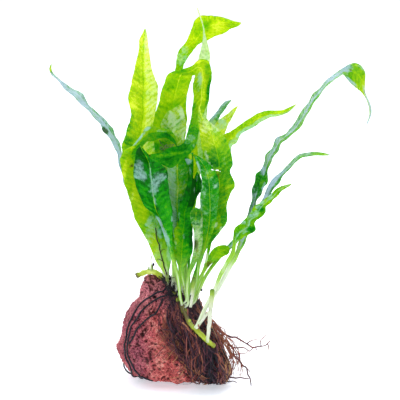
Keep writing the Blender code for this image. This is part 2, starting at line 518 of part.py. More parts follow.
        (186.8, 203.0, 193.6, 202.5, -24.0, 0.0, 0.5, 0.3),
        (189.6, 194.5, 199.8, 193.5, -24.0, 0.0, 0.5, 0.5),
        (191.4, 186.0, 200.4, 186.0, -24.0, 0.0, 0.5, 0.3),
        (193.8, 179.5, 199.4, 179.5, -24.0, 0.0, 0.5, 0.0),
        (197.0, 174.0, 197.8, 174.0, -24.0, 0.0, 0.5, 0.0)]),
    "frond_curled_olive": (LEAF, [
        (188.0, 303.5, -40.8, 2.4, 0), (187.2, 290.0, -39.5, 2.6, 0), (188.6, 276.0, -38.5, 3.0, 0),
        (190.0, 265.0, 195.0, 265.0, -38.0, 0.0, 0.5, 0.0),
        (192.8, 254.0, 200.4, 254.0, -38.0, 0.0, 0.5, 0.4),
        (194.0, 243.5, 202.4, 243.5, -38.0, 0.0, 0.5, 0.5),
        (194.0, 234.0, 202.6, 234.0, -38.0, 0.0, 0.5, 0.5),
        (192.8, 226.0, 202.4, 226.0, -38.0, 0.0, 0.5, 0.5),
        (190.2, 219.0, 202.4, 219.0, -38.0, 0.0, 0.5, 0.5),
        (189.2, 212.5, 202.0, 211.5, -38.6, 0.0, 0.5, 0.3),
        (190.2, 209.2, 200.6, 208.4, -40.5, 0.0, 0.5, 0.0),
        (191.0, 211.5, 199.4, 211.0, -42.4, 0.0, 0.5, 0.0),
        (192.2, 216.0, 197.8, 216.5, -42.8, 0.0, 0.5, 0.0),
        (194.6, 221.5, 195.6, 221.5, -42.6, 0.0, 0.5, 0.0)]),
    "frond_pale_tip": (LEAF_LIT, [
        (176.4, 288.4, -31.0, 2.4, 0), (175.6, 277.0, -27.0, 2.6, 0), (174.5, 262.0, -22.0, 3.0, 0),
        (171.5, 240.0, -14.5, 6.0, 0),
        (162.5, 212.0, 178.5, 212.0, -9.5, 0.0, 0.5, 0.5),
        (160.5, 188.0, 180.5, 188.0, -8.5, 0.0, 0.5, 0.8),
        (159.5, 164.0, 181.5, 164.0, -8.5, 0.0, 0.5, 1.0),
        (159.5, 145.0, 182.5, 145.5, -9.5, 0.0, 0.5, 1.0),
        (160.0, 132.5, 184.5, 134.0, -10.5, 0.0, 0.5, 1.0),
        (161.2, 123.5, 186.6, 126.0, -11.0, 0.0, 0.5, 0.8),
        (166.4, 113.0, 184.8, 115.0, -11.5, 0.0, 0.5, 0.5),
        (173.0, 107.5, 182.8, 108.8, -12.0, 0.0, 0.5, 0.2),
        (179.5, 104.6, 180.8, 104.8, -12.0, 0.0, 0.5, 0.0)]),
    "frond_long_right": (LEAF_DARK, [
        (193.4, 303.0, -34.5, 2.6, 0), (199.6, 289.5, -31.5, 2.8, 0), (204.9, 277.6, -29.5, 3.2, 0),
        (211.0, 268.0, -28.0, 3.4, 0), (219.4, 257.2, -26.0, 3.8, 0), (226.4, 249.6, -24.0, 4.6, 20),
        (229.0, 243.8, 233.4, 247.0, -22.0, 3.0, 0.5, 0.0),
        (235.6, 236.5, 239.6, 239.5, -19.5, 6.0, 0.5, 0.0),
        (240.6, 229.5, 244.8, 232.0, -17.5, 7.0, 0.5, 0.0),
        (245.6, 219.5, 250.0, 221.5, -15.5, 8.0, 0.5, 0.0),
        (249.6, 208.5, 254.4, 210.5, -13.5, 8.0, 0.5, 0.0),
        (251.8, 199.0, 257.0, 201.0, -12.0, 7.0, 0.5, 0.0),
        (252.4, 188.0, 261.4, 193.0, -10.5, 5.0, 0.5, 0.0),
        (255.6, 176.0, 266.6, 183.5, -9.0, 4.0, 0.5, 0.0),
        (260.0, 170.6, 268.0, 173.8, -8.0, 6.0, 0.5, 0.0),
        (264.6, 162.0, 269.4, 164.8, -6.0, 9.0, 0.5, 0.0),
        (265.8, 155.0, 272.6, 159.6, -5.0, 10.0, 0.5, 0.0),
        (271.4, 148.2, 277.4, 151.6, -4.0, 11.0, 0.5, 0.0),
        (276.6, 138.6, 282.0, 143.2, -3.0, 12.0, 0.5, 0.0),
        (284.0, 134.0, 288.6, 137.4, -2.0, 13.0, 0.5, 0.0),
        (291.6, 127.6, 296.4, 131.2, -1.0, 13.0, 0.5, 0.0),
        (296.0, 119.6, 302.6, 123.6, 0.0, 13.0, 0.5, 0.0),
        (303.4, 109.0, 308.8, 112.0, 1.0, 13.0, 0.5, 0.0),
        (309.4, 99.6, 314.4, 102.6, 2.0, 12.0, 0.5, 0.0),
        (317.6, 89.6, 321.6, 92.4, 2.5, 12.0, 0.5, 0.0),
        (327.6, 79.0, 331.0, 82.4, 3.0, 11.0, 0.5, 0.0),
        (336.6, 72.4, 339.4, 76.6, 3.0, 9.0, 0.5, 0.0),
        (343.6, 67.6, 343.0, 74.4, 2.5, 6.0, 0.45, 0.0),
        (349.6, 64.0, 346.8, 78.6, 1.5, 3.0, 0.45, 0.5),
        (355.2, 63.0, 350.8, 83.0, 0.0, 1.0, 0.45, 0.8),
        (361.2, 65.6, 354.6, 86.6, -1.5, 0.0, 0.45, 0.8),
        (365.2, 72.6, 358.6, 89.6, -3.0, -1.0, 0.45, 0.6),
        (365.2, 82.0, 361.4, 92.4, -4.5, -1.0, 0.5, 0.3),
        (364.8, 90.4, 363.4, 94.8, -6.0, -1.0, 0.5, 0.0),
        (367.8, 98.0, 366.2, 99.6, -7.0, 0.0, 0.5, 0.0),
        (371.0, 106.0, 368.8, 107.0, -8.0, 0.0, 0.5, 0.0),
        (371.4, 114.2, 369.2, 114.6, -9.0, 0.0, 0.5, 0.0),
        (367.6, 124.0, 366.8, 123.6, -10.0, 0.0, 0.5, 0.0)]),
    "frond_low_right": (LEAF_LIT, [
        (193.6, 297.6, -26.6, 2.4, 0), (196.8, 287.5, -27.0, 2.4, 0), (199.0, 280.2, -28.3, 3.0, 0),
        (200.6, 273.6, 203.8, 274.6, -30.2, 0.0, 0.5, 0.0),
        (203.8, 266.6, 207.4, 268.6, -31.8, 0.0, 0.5, 0.0),
        (207.0, 261.0, 212.4, 263.0, -31.0, 0.0, 0.5, 0.2),
        (209.2, 254.4, 218.0, 259.6, -31.8, 0.0, 0.5, 0.5),
        (213.4, 248.6, 223.2, 256.6, -32.0, 0.0, 0.5, 0.6),
        (219.8, 245.4, 228.2, 254.4, -31.8, 0.0, 0.5, 0.5),
        (225.4, 245.0, 229.8, 250.6, -31.0, 0.0, 0.5, 0.2),
        (229.0, 246.6, 230.2, 248.0, -30.0, 0.0, 0.5, 0.0)]),
    "frond_second_right": (LEAF_DARK, [
        (199.6, 324.8, -52.5, 2.6, 0), (207.8, 307.0, -44.0, 2.8, 0), (217.6, 291.0, -37.0, 3.6, 0),
        (226.6, 273.0, -30.0, 4.6, 0), (236.8, 254.0, -25.0, 4.8, 0), (243.0, 240.0, -21.5, 6.4, 20),
        (247.6, 230.6, -19.0, 8.0, 50),
        (252.6, 221.6, -17.5, 9.0, 50), (257.6, 213.2, -16.0, 9.5, 50), (262.0, 205.0, -14.5, 10.0, 52),
        (266.0, 197.0, -13.5, 11.0, 48), (270.4, 188.4, -12.5, 12.0, 40), (275.2, 181.2, -12.0, 12.0, 44),
        (281.0, 175.0, -11.0, 11.5, 60), (287.6, 168.2, -10.0, 11.0, 62), (294.2, 161.0, -9.0, 11.0, 62),
        (300.6, 156.0, -8.0, 11.0, 62), (308.0, 154.6, -7.0, 10.0, 60), (315.2, 153.6, -6.0, 8.0, 58),
        (323.0, 154.2, -5.5, 5.0, 50), (330.0, 155.0, -5.0, 1.0, 0)]),
    "frond_third_right": (LEAF, [
        (195.8, 322.4, -53.4, 2.4, 0), (204.4, 304.6, -47.0, 2.6, 0), (213.4, 289.0, -41.5, 3.2, 0),
        (222.4, 271.0, -36.0, 4.0, 0), (232.4, 253.5, -32.5, 4.2, 0),
        (233.0, 239.0, 236.8, 243.0, -30.0, 0.0, 0.5, 0.0),
        (234.2, 230.0, 243.0, 238.0, -29.0, 0.0, 0.5, 0.4),
        (236.4, 225.4, 250.0, 234.6, -28.5, 0.0, 0.5, 0.5),
        (241.6, 222.6, 255.2, 230.0, -28.0, 0.0, 0.5, 0.5),
        (245.6, 218.6, 254.6, 222.6, -27.5, 0.0, 0.5, 0.3),
        (249.6, 213.8, 260.6, 217.8, -27.0, 0.0, 0.5, 0.3),
        (254.0, 206.2, 265.4, 212.2, -26.5, 0.0, 0.5, 0.3),
        (259.4, 203.4, 266.2, 206.6, -26.0, 0.0, 0.5, 0.2),
        (262.6, 200.4, 270.4, 203.4, -25.5, 0.0, 0.5, 0.2),
        (267.0, 197.4, 273.2, 199.8, -25.0, 0.0, 0.5, 0.0),
        (271.6, 193.4, 277.6, 196.2, -24.5, 0.0, 0.5, 0.0),
        (275.6, 189.2, 281.0, 191.8, -24.0, 0.0, 0.5, 0.0),
        (280.6, 186.4, 285.2, 188.8, -23.5, 0.0, 0.5, 0.0),
        (286.4, 184.6, 289.2, 186.4, -23.0, 0.0, 0.5, 0.0),
        (291.4, 183.6, 291.8, 184.6, -22.5, 0.0, 0.5, 0.0)]),
    "frond_right_mid": (LEAF_LIT, [
        (192.2, 296.2, -24.2, 2.4, 0), (200.0, 272.0, -19.5, 2.6, 0), (209.0, 240.0, -15.5, 4.5, 0),
        (214.0, 206.0, -13.5, 9.0, 0),
        (211.0, 176.0, 227.0, 178.0, -12.5, 0.0, 0.5, 0.5),
        (215.5, 152.0, 229.5, 159.0, -12.0, 0.0, 0.5, 0.6),
        (222.4, 136.8, 231.4, 147.4, -12.0, 0.0, 0.5, 0.6),
        (228.6, 131.8, 236.6, 142.6, -11.5, 0.0, 0.5, 0.5),
        (235.0, 128.6, 240.6, 134.4, -11.0, 2.0, 0.5, 0.2),
        (242.0, 123.0, 247.6, 130.2, -10.0, 3.0, 0.5, 0.2),
        (249.2, 118.6, 255.2, 126.2, -9.0, 3.0, 0.5, 0.2),
        (257.2, 113.6, 262.2, 121.2, -8.0, 3.0, 0.5, 0.2),
        (266.0, 110.8, 269.6, 117.8, -7.0, 4.0, 0.5, 0.0),
        (275.2, 110.4, 277.6, 116.0, -6.0, 5.0, 0.5, 0.0),
        (284.0, 109.6, 286.6, 113.4, -5.0, 4.0, 0.5, 0.0),
        (291.0, 106.4, 292.4, 108.6, -4.0, 2.0, 0.5, 0.0),
        (296.0, 104.2, 296.4, 104.8, -3.0, 0.0, 0.5, 0.0)]),
    "frond_small_dark": (LEAF_DARK, [
        (190.0, 291.5, -19.0, 2.3, 0), (198.0, 262.0, -10.0, 2.5, 0), (205.0, 225.0, -2.0, 3.6, 0),
        (208.0, 185.0, 3.0, 6.0, 0), (209.0, 150.0, 5.0, 10.0, 0),
        (206.0, 129.0, 217.0, 131.0, 6.0, 0.0, 0.5, 0.3),
        (209.6, 120.0, 218.0, 121.6, 6.0, 1.0, 0.5, 0.2),
        (214.0, 115.0, 219.8, 116.2, 5.5, 2.0, 0.5, 0.0),
        (218.0, 110.0, 223.2, 111.6, 5.0, 3.0, 0.5, 0.0),
        (221.6, 105.0, 226.4, 107.0, 4.0, 3.0, 0.5, 0.0),
        (225.6, 101.2, 228.8, 103.6, 3.0, 2.0, 0.5, 0.0),
        (230.8, 100.0, 231.2, 101.0, 2.0, 0.0, 0.5, 0.0)]),
    "frond_light_spear": (LEAF_LIT, [
        (195.6, 298.6, -21.2, 2.4, 0), (206.0, 262.0, -13.5, 2.6, 0), (213.0, 222.0, -8.0, 4.5, 0),
        (215.0, 182.0, -4.5, 9.0, 0),
        (209.5, 150.0, 223.5, 152.0, -2.5, 0.0, 0.5, 0.4),
        (211.5, 133.0, 224.5, 136.0, -1.5, 0.0, 0.5, 0.5),
        (216.5, 122.0, 227.6, 126.0, -1.0, 0.0, 0.5, 0.4),
        (222.0, 117.6, 231.2, 119.6, -1.0, 0.0, 0.5, 0.2),
        (228.4, 113.0, 233.8, 114.6, -1.0, 0.0, 0.5, 0.0),
        (232.6, 109.0, 236.0, 110.4, -1.0, 0.0, 0.5, 0.0),
        (237.4, 105.8, 238.0, 106.2, -1.0, 0.0, 0.5, 0.0)]),
    "frond_yellow_back": (LEAF_LIT, [
        (186.2, 287.5, -22.5, 2.4, 0), (189.0, 262.0, -14.5, 2.6, 0), (190.0, 235.0, -9.0, 4.5, 0),
        (184.2, 212.0, 194.0, 212.0, -7.0, 0.0, 0.5, 0.3),
        (183.0, 195.0, 194.0, 195.0, -6.0, 0.0, 0.5, 0.4),
        (183.6, 180.0, 195.4, 180.0, -5.5, 0.0, 0.5, 0.4),
        (185.6, 168.0, 197.4, 168.0, -5.0, 0.0, 0.5, 0.4),
        (186.6, 156.0, 198.0, 156.0, -5.0, 0.0, 0.5, 0.3),
        (188.6, 145.0, 197.0, 145.0, -5.0, 0.0, 0.5, 0.2),
        (192.6, 135.5, 193.6, 135.5, -5.0, 0.0, 0.5, 0.0)]),
}


def fan(v, y):
    """Depth of a frond's midrib at height v: the crown opens out in depth as it rises."""
    h = max(0.0, min(1.0, (285.0 - v) / 135.0))
    return SPREAD_ABOUT + (y - SPREAD_ABOUT) * (1.0 + SPREAD * h * h * (3.0 - 2.0 * h))


def stations(rows):
    """Left edge, midrib and right edge of each station, in metres."""
    mids = [((r[0] + r[2]) / 2, (r[1] + r[3]) / 2) if len(r) == 8 else (r[0], r[1]) for r in rows]
    out = []
    for k, r in enumerate(rows):
        if len(r) == 8:
            ul, vl, ur, vr, y, tilt, m, cup = r
            y = fan((vl + vr) / 2, y)
            mid = front(ul + (ur - ul) * m, vl + (vr - vl) * m, y)
            out.append((front(ul, vl, y - tilt * m - cup), mid, front(ur, vr, y + tilt * (1 - m) - cup)))
        else:
            u, v, y, w, roll = r
            y = fan(v, y)
            a, b = mids[max(0, k - 1)], mids[min(len(rows) - 1, k + 1)]
            du, dv = b[0] - a[0], b[1] - a[1]
            n = math.hypot(du, dv)
            side = Vector((-dv / n * math.cos(math.radians(roll)), math.sin(math.radians(roll)),
                           -du / n * math.cos(math.radians(roll))))
            mid = front(u, v, y)
            half = side * (w * UNIT / 2)
            out.append((mid - half, mid, mid + half))
    return out


def frond(name, mat, rows):
    raw = stations(rows)
    left = [s[0] for s in raw]
    mid = [s[1] for s in raw]
    right = [s[2] for s in raw]
    last = len(raw) - 1
    count = last + (last // 4)
    pts, faces = [], []
    for k in range(count + 1):
        t = last * k / count
        l, m, r = spline(left, t), spline(mid, t), spline(right, t)
        ahead, behind = spline(mid, min(last, t + 0.05)), spline(mid, max(0.0, t - 0.05))
        across = r - l
        width = across.length
        along = ahead - behind
        n = across.cross(along)
        if n.length < 1e-12:
            n = Vector((0.0, -1.0, 0.0))
        n.normalize()
        stalk = max(0.0, min(1.0, (0.0052 - width) / 0.0026)) * (1.0 if t < last * 0.5 else 0.0)
        tm = BLADE + (STALK - BLADE) * stalk
        te = tm * (0.55 if stalk > 0 else 0.75)
        if k == count:
            tm, te = tm * 0.5, te * 0.5
        pts += [l + n * te / 2, m + n * tm / 2, r + n * te / 2, r - n * te / 2, m - n * tm / 2, l - n * te / 2]
    for k in range(count):
        for j in range(6):
            i = (j + 1) % 6
            faces.append((k * 6 + j, k * 6 + i, k * 6 + 6 + i, k * 6 + 6 + j))
    faces.append((0, 5, 4, 1))
    faces.append((1, 4, 3, 2))
    e = count * 6
    faces.append((e + 0, e + 1, e + 4, e + 5))
    faces.append((e + 1, e + 2, e + 3, e + 4))
    return solid(name, pts, faces, mat)


for frond_name, (frond_mat, frond_rows) in FRONDS.items():
    frond(frond_name, frond_mat, frond_rows)

# ---------------------------------------------------------------- cut stalks
def stub(name, points, r0, r1, mat):
    pts = even_curve([front(*p) for p in points], 0.0045)
    tube(name, pts, 1.0, mat, sides=1, taper=lambda t: r0 + (r1 - r0) * t)


stub("stub_inner", [(191.5, 305.8, -42.4), (192.0, 297.0, -41.0), (193.2, 288.0, -40.0), (194.2, 280.5, -40.0)],
     0.0011, 0.0014, STEM)
stub("stub_front", [(207.8, 337.6, -55.4), (209.2, 325.0, -54.4), (211.0, 307.0, -53.0), (212.3, 290.5, -52.0)],
     0.0013, 0.0017, STEM)
stub("stub_left", [(152.2, 267.8, -10.8), (152.8, 265.2, -10.6)], 0.0009, 0.0009, STEM)
stub("stub_left_small", [(148.8, 268.2, -12.2), (148.6, 266.2, -12.2)], 0.0007, 0.0004, STEM)

# ---------------------------------------------------------------- loose roots
def loose_root(name, points, r0, r1):
    pts = even_curve([front(*p) for p in points], 0.0042)
    pts = [Vector((p.x, p.y, max(p.z, ROOT_R * 1.6))) for p in pts]
    tube(name, pts, ROOT_R, ROOT, sides=0, taper=lambda t: r0 + (r1 - r0) * t)


loose_root("root_branch_right", [(224.0, 333.5, -31.0), (231.0, 337.6, -32.5), (236.0, 338.0, -33.5), (241.0, 340.4, -34.5),
                                 (247.6, 344.0, -35.5), (254.0, 346.0, -36.5), (262.0, 345.2, -37.5),
                                 (268.0, 342.8, -38.0), (271.0, 340.5, -38.5)], 1.3, 0.7)
loose_root("root_loop_right", [(229.0, 344.5, -28.5), (239.0, 348.6, -29.5), (246.0, 349.6, -30.5), (250.0, 352.4, -31.5),
                               (252.4, 349.0, -33.0)], 1.1, 0.8)
loose_root("root_low_right", [(231.5, 352.5, -26.5), (238.0, 359.0, -29.0), (242.5, 366.0, -33.0), (246.0, 368.4, -38.0),
                              (247.6, 373.4, -43.0), (250.0, 378.0, -48.0), (251.2, 385.0, -52.5)], 1.3, 0.8)
loose_root("root_floor", [(241.5, 378.2, -12.0), (245.5, 378.6, -13.5), (250.0, 378.8, -15.0)], 1.1, 0.7)
loose_root("root_outer_right", [(216.5, 322.0, -40.0), (223.0, 329.5, -40.0), (229.5, 339.5, -39.5), (235.0, 350.5, -38.5),
                                (239.4, 361.0, -37.0)], 1.2, 0.9)
loose_root("root_upper_thin", [(215.5, 317.0, -29.0), (219.5, 323.5, -29.0), (226.0, 327.0, -29.5), (231.5, 328.4, -30.0),
                               (237.5, 330.6, -31.0)], 1.0, 0.7)

# ---------------------------------------------------------------- the binding thread
# Each turn lies on the stone's front, passes under its raised left foot, climbs its back
# and closes over the top beneath the stalks.
TURNS = {
    "thread_outer": ([(165.0, 290.0), (157.0, 293.4), (149.4, 298.4), (141.6, 305.4), (136.6, 312.0), (133.2, 318.6),
                      (130.4, 326.0), (128.6, 333.0), (127.0, 341.0), (125.4, 348.0), (126.0, 356.0),
                      (130.0, 365.0), (132.8, 371.0)],
                     [(-30.0, -8.0, 2.2), (-30.0, 6.0, 2.2)],
                     [(-30.5, 6.0), (-30.0, 16.0), (-30.0, 32.0), (-27.0, 46.0), (-21.5, 57.5), (-14.5, 67.0)],
                     [(-8.2, 3.0, 75.0)]),
    "thread_inner": ([(167.6, 294.4), (160.0, 297.8), (152.6, 302.4), (145.0, 309.0), (140.4, 315.0), (137.4, 320.4),
                      (134.6, 326.0), (133.4, 333.0), (131.6, 339.0), (130.2, 346.0), (130.8, 356.0),
                      (134.8, 364.6), (138.0, 370.6), (142.4, 375.0)],
                     [(-26.0, -8.0, 1.3), (-26.0, 6.0, 1.3)],
                     [(-25.5, 5.0), (-25.0, 14.0), (-25.5, 30.0), (-22.5, 44.0), (-16.5, 55.0), (-9.5, 63.5)],
                     [(-5.0, 4.0, 72.0)]),
    "thread_third": ([(163.2, 299.6), (157.0, 313.0), (151.0, 316.4), (144.0, 322.4), (138.4, 328.4), (136.4, 334.0)], None, None, None),
    "thread_loose": ([(122.6, 358.4), (121.6, 363.4), (122.8, 368.4), (126.4, 372.6), (130.6, 375.0)], None, None, None),
}
for turn_name, (face, under, back, over) in TURNS.items():
    rise = THREAD_R + 0.0009
    if turn_name == "thread_loose":
        path = [front(u, v, -6.0 - k) for k, (u, v) in enumerate(face)]
        path = [Vector((p.x, p.y, max(p.z, 0.0012))) for p in path]
    else:
        path = [lay_front(u, v, rise, ROCK_SKIN) for u, v in face]
        if back:
            path += [Vector((x, y, z)) * 0.001 for x, y, z in under]
            path += [lay_back(x, z, rise, ROCK_SKIN) for x, z in back]
            path += [Vector((x, y, z)) * 0.001 for x, y, z in over]
    closed = back is not None
    first = even_curve(path, 0.0034, closed)
    laid = []
    for p in first:
        hit, normal, _, dist = ROCK_SKIN.find_nearest(p)
        inside = (p - hit).dot(normal) < 0
        if inside or dist < rise:
            p = hit + normal * rise
        laid.append(Vector((p.x, p.y, max(p.z, 0.0009))))
    tube(turn_name, laid, THREAD_R, THREAD, sides=0 if not closed else 0, closed=closed)
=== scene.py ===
import math

import bpy
import numpy as np
from mathutils import Matrix, Vector, noise
from mathutils.bvhtree import BVHTree
from mathutils.kdtree import KDTree


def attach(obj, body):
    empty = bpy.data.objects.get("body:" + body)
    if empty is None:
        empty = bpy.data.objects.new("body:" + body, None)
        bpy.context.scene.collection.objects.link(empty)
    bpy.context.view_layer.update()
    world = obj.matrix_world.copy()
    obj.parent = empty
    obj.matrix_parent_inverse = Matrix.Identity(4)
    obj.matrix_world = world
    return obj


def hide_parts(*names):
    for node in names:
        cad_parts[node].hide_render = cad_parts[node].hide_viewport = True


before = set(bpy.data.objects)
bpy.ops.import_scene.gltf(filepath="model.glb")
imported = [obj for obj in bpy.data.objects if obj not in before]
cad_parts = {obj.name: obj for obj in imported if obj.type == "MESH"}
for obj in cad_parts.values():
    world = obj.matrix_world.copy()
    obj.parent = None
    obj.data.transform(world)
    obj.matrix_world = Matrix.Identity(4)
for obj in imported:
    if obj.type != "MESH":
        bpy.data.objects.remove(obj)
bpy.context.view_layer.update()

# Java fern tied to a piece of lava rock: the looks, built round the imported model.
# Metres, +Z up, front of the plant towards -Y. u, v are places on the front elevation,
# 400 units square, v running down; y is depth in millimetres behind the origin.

ROOT = "root"

# ---------------------------------------------------------------- the front elevation
UNIT = 0.00075
STAND_OFF = 1.10
LOOK_DOWN = math.radians(8.0)
FOOT_U, FOOT_V = 178.0, 376.5
SPREAD = 0.8
SPREAD_ABOUT = -24.0

FWD = np.array((0.0, math.cos(LOOK_DOWN), -math.sin(LOOK_DOWN)))
UPW = np.array((0.0, math.sin(LOOK_DOWN), math.cos(LOOK_DOWN)))
RGT = np.array((1.0, 0.0, 0.0))
CENTRE = RGT * ((200.0 - FOOT_U) * UNIT) + UPW * ((FOOT_V - 200.0) * UNIT)
EYE = CENTRE - FWD * STAND_OFF


def sight(u, v):
    return FWD + RGT * ((u - 200.0) * UNIT / STAND_OFF) + UPW * ((200.0 - v) * UNIT / STAND_OFF)


def front(u, v, y):
    """The point that appears at u, v of the elevation and lies y millimetres behind the origin."""
    d = sight(u, v)
    return EYE + d * ((y * 0.001 - EYE[1]) / d[1])


def elevation(p):
    """u, v of points p (n, 3)."""
    q = p - EYE
    depth = q @ FWD
    return 200.0 + (q @ RGT) / depth * STAND_OFF / UNIT, 200.0 - (q @ UPW) / depth * STAND_OFF / UNIT


# ---------------------------------------------------------------- the camera
def make_camera():
    data = bpy.data.cameras.new("camera")
    data.sensor_width = 36.0
    data.lens = 18.0 / (200.0 * UNIT / STAND_OFF)
    data.clip_start, data.clip_end = 0.05, 60.0
    cam = bpy.data.objects.new("camera", data)
    bpy.context.scene.collection.objects.link(cam)
    back = -FWD
    cam.matrix_world = Matrix(((RGT[0], UPW[0], back[0], EYE[0]), (RGT[1], UPW[1], back[1], EYE[1]),
                               (RGT[2], UPW[2], back[2], EYE[2]), (0, 0, 0, 1)))
    bpy.context.scene.camera = cam


make_camera()

# ---------------------------------------------------------------- numbers
RNG = np.random.default_rng(7)


def hash3(i, j, k, seed):
    h = (i * 73856093) ^ (j * 19349663) ^ (k * 83492791) ^ (seed * 40503 + 977)
    h &= 0xFFFFFFFF
    h = ((h ^ (h >> 15)) * 73244475) & 0xFFFFFFFF
    h = ((h ^ (h >> 13)) * 73244475) & 0xFFFFFFFF
    return (h ^ (h >> 16)) / 4294967295.0 * 2.0 - 1.0


def vnoise(p, seed=0):
    """Smooth noise from -1 to 1 at points p (n, 3)."""
    p = np.asarray(p, float)
    i = np.floor(p).astype(np.int64)
    f = p - i
    f = f * f * f * (f * (f * 6 - 15) + 10)
    out = np.zeros(p.shape[:-1])
    for dx in (0, 1):
        wx = f[..., 0] if dx else 1 - f[..., 0]
        for dy in (0, 1):
            wy = f[..., 1] if dy else 1 - f[..., 1]
            for dz in (0, 1):
                wz = f[..., 2] if dz else 1 - f[..., 2]
                out += wx * wy * wz * hash3(i[..., 0] + dx, i[..., 1] + dy, i[..., 2] + dz, seed)
    return out


def fbm(p, octaves=3, seed=0, gain=0.5):
    p = np.asarray(p, float)
    out, amp, total = 0.0, 1.0, 0.0
    for k in range(octaves):
        out = out + amp * vnoise(p, seed + 31 * k)
        total += amp
        amp *= gain
        p = p * 2.03 + 17.1
    return out / total


def noise1(x, seed=0):
    x = np.asarray(x, float)
    return vnoise(np.stack([x, x * 0 + seed * 3.7 + 0.5, x * 0 + 0.5], -1), seed)


def smooth(a, b, x):
    h = np.clip((np.asarray(x, float) - a) / (b - a), 0.0, 1.0)
    return h * h * (3 - 2 * h)


def unit(v):
    n = np.linalg.norm(v, axis=-1, keepdims=True)
    return v / np.maximum(n, 1e-12)


def crom(points, t):
    """Smooth curve through points (n, d) at parameters t, from 0 to n - 1 (Catmull-Rom)."""
    points, t = np.asarray(points, float), np.asarray(t, float)
    n = len(points)
    i = np.clip(np.floor(t).astype(int), 0, n - 2)
    f = (t - i)[:, None]
    p1, p2 = points[i], points[i + 1]
    p0 = np.where((i > 0)[:, None], points[np.maximum(i - 1, 0)], 2 * p1 - p2)
    p3 = np.where((i + 2 < n)[:, None], points[np.minimum(i + 2, n - 1)], 2 * p2 - p1)
    return 0.5 * (2 * p1 + (p2 - p0) * f + (2 * p0 - 5 * p1 + 4 * p2 - p3) * f ** 2
                  + (3 * p1 - p0 - 3 * p2 + p3) * f ** 3)


def even_path(points, step=None, count=None, closed=False):
    """Points at an even spacing on the smooth curve through the given ones."""
    pts = np.asarray(points, float)
    if closed:
        pts = np.vstack([pts[-1:], pts, pts[:2]])
        t = np.linspace(1, len(pts) - 2, 40 * len(pts) + 1)
    else:
        t = np.linspace(0, len(pts) - 1, 40 * len(pts) + 1)
    dense = crom(pts, t)
    run = np.concatenate([[0], np.cumsum(np.linalg.norm(np.diff(dense, axis=0), axis=1))])
    if count is None:
        count = max(4, int(round(run[-1] / step)))
    want = np.linspace(0, run[-1], count + 1)
    if closed:
        want = want[:-1]
    return np.stack([np.interp(want, run, dense[:, k]) for k in range(3)], -1)


# ---------------------------------------------------------------- meshes
def make_mesh(name, verts, quads=None, tris=None, attrs=None, mat=None, flat=False):
    quads = np.zeros((0, 4), int) if quads is None else np.asarray(quads, int).reshape(-1, 4)
    tris = np.zeros((0, 3), int) if tris is None else np.asarray(tris, int).reshape(-1, 3)
    me = bpy.data.meshes.new(name)
    me.vertices.add(len(verts))
    me.vertices.foreach_set("co", np.asarray(verts, np.float32).ravel())
    loops = np.concatenate([quads.ravel(), tris.ravel()]).astype(np.int32)
    me.loops.add(len(loops))
    me.loops.foreach_set("vertex_index", loops)
    starts = np.concatenate([np.arange(len(quads)) * 4, len(quads) * 4 + np.arange(len(tris)) * 3]).astype(np.int32)
    me.polygons.add(len(starts))
    me.polygons.foreach_set("loop_start", starts)
    me.update(calc_edges=True)
    me.polygons.foreach_set("use_smooth", np.full(len(starts), not flat))
    for key, value in (attrs or {}).items():
        layer = me.attributes.new(key, "FLOAT", "POINT")
        layer.data.foreach_set("value", np.asarray(value, np.float32).ravel())
    if mat is not None:
        me.materials.append(mat)
    me.update()
    obj = bpy.data.objects.new(name, me)
    bpy.context.scene.collection.objects.link(obj)
    return obj


def place(obj, slot_name, *nodes):
    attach(obj, ROOT)
    if nodes:
        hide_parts(*nodes)
    return obj


def tubes(paths, radii, sides=3, ref=(1.0, 0.25, 0.1), roll=None):
    """Round strands round many paths of one length: paths (f, n, 3), radii (f, n).
    Gives vertices, quads, triangles, the strand and the place along it for each vertex."""
    f, n = paths.shape[:2]
    tan = np.empty_like(paths)
    tan[:, 1:-1] = paths[:, 2:] - paths[:, :-2]
    tan[:, 0] = paths[:, 1] - paths[:, 0]
    tan[:, -1] = paths[:, -1] - paths[:, -2]
    tan = unit(tan)
    ref = np.asarray(ref, float)
    ref = np.broadcast_to(ref, paths.shape)
    side = unit(np.cross(tan, ref))
    up = np.cross(side, tan)
    ang = np.arange(sides) / sides * 2 * math.pi
    if roll is not None:
        ang = ang[None, None, :] + roll[..., None]
    else:
        ang = np.broadcast_to(ang, (f, n, sides))
    ring = side[:, :, None, :] * np.cos(ang)[..., None] + up[:, :, None, :] * np.sin(ang)[..., None]
    verts = paths[:, :, None, :] + ring * radii[:, :, None, None]
    idx = np.arange(f * n * sides).reshape(f, n, sides)
    nxt = np.roll(idx, -1, axis=2)
    quads = np.stack([idx[:, :-1], idx[:, 1:], nxt[:, 1:], nxt[:, :-1]], -1).reshape(-1, 4)
    if sides == 3:
        caps = np.concatenate([idx[:, 0], idx[:, -1][:, ::-1]]).reshape(-1, 3)
        tris = caps
    else:
        fan = [[idx[:, 0, 0], idx[:, 0, k], idx[:, 0, k + 1]] for k in range(1, sides - 1)]
        fan += [[idx[:, -1, 0], idx[:, -1, k + 1], idx[:, -1, k]] for k in range(1, sides - 1)]
        tris = np.concatenate([np.stack(t, -1) for t in fan])
    strand = np.broadcast_to(np.arange(f)[:, None, None], (f, n, sides)).ravel()
    along = np.broadcast_to(np.linspace(0, 1, n)[None, :, None], (f, n, sides)).ravel()
    return verts.reshape(-1, 3), quads, tris, strand, along


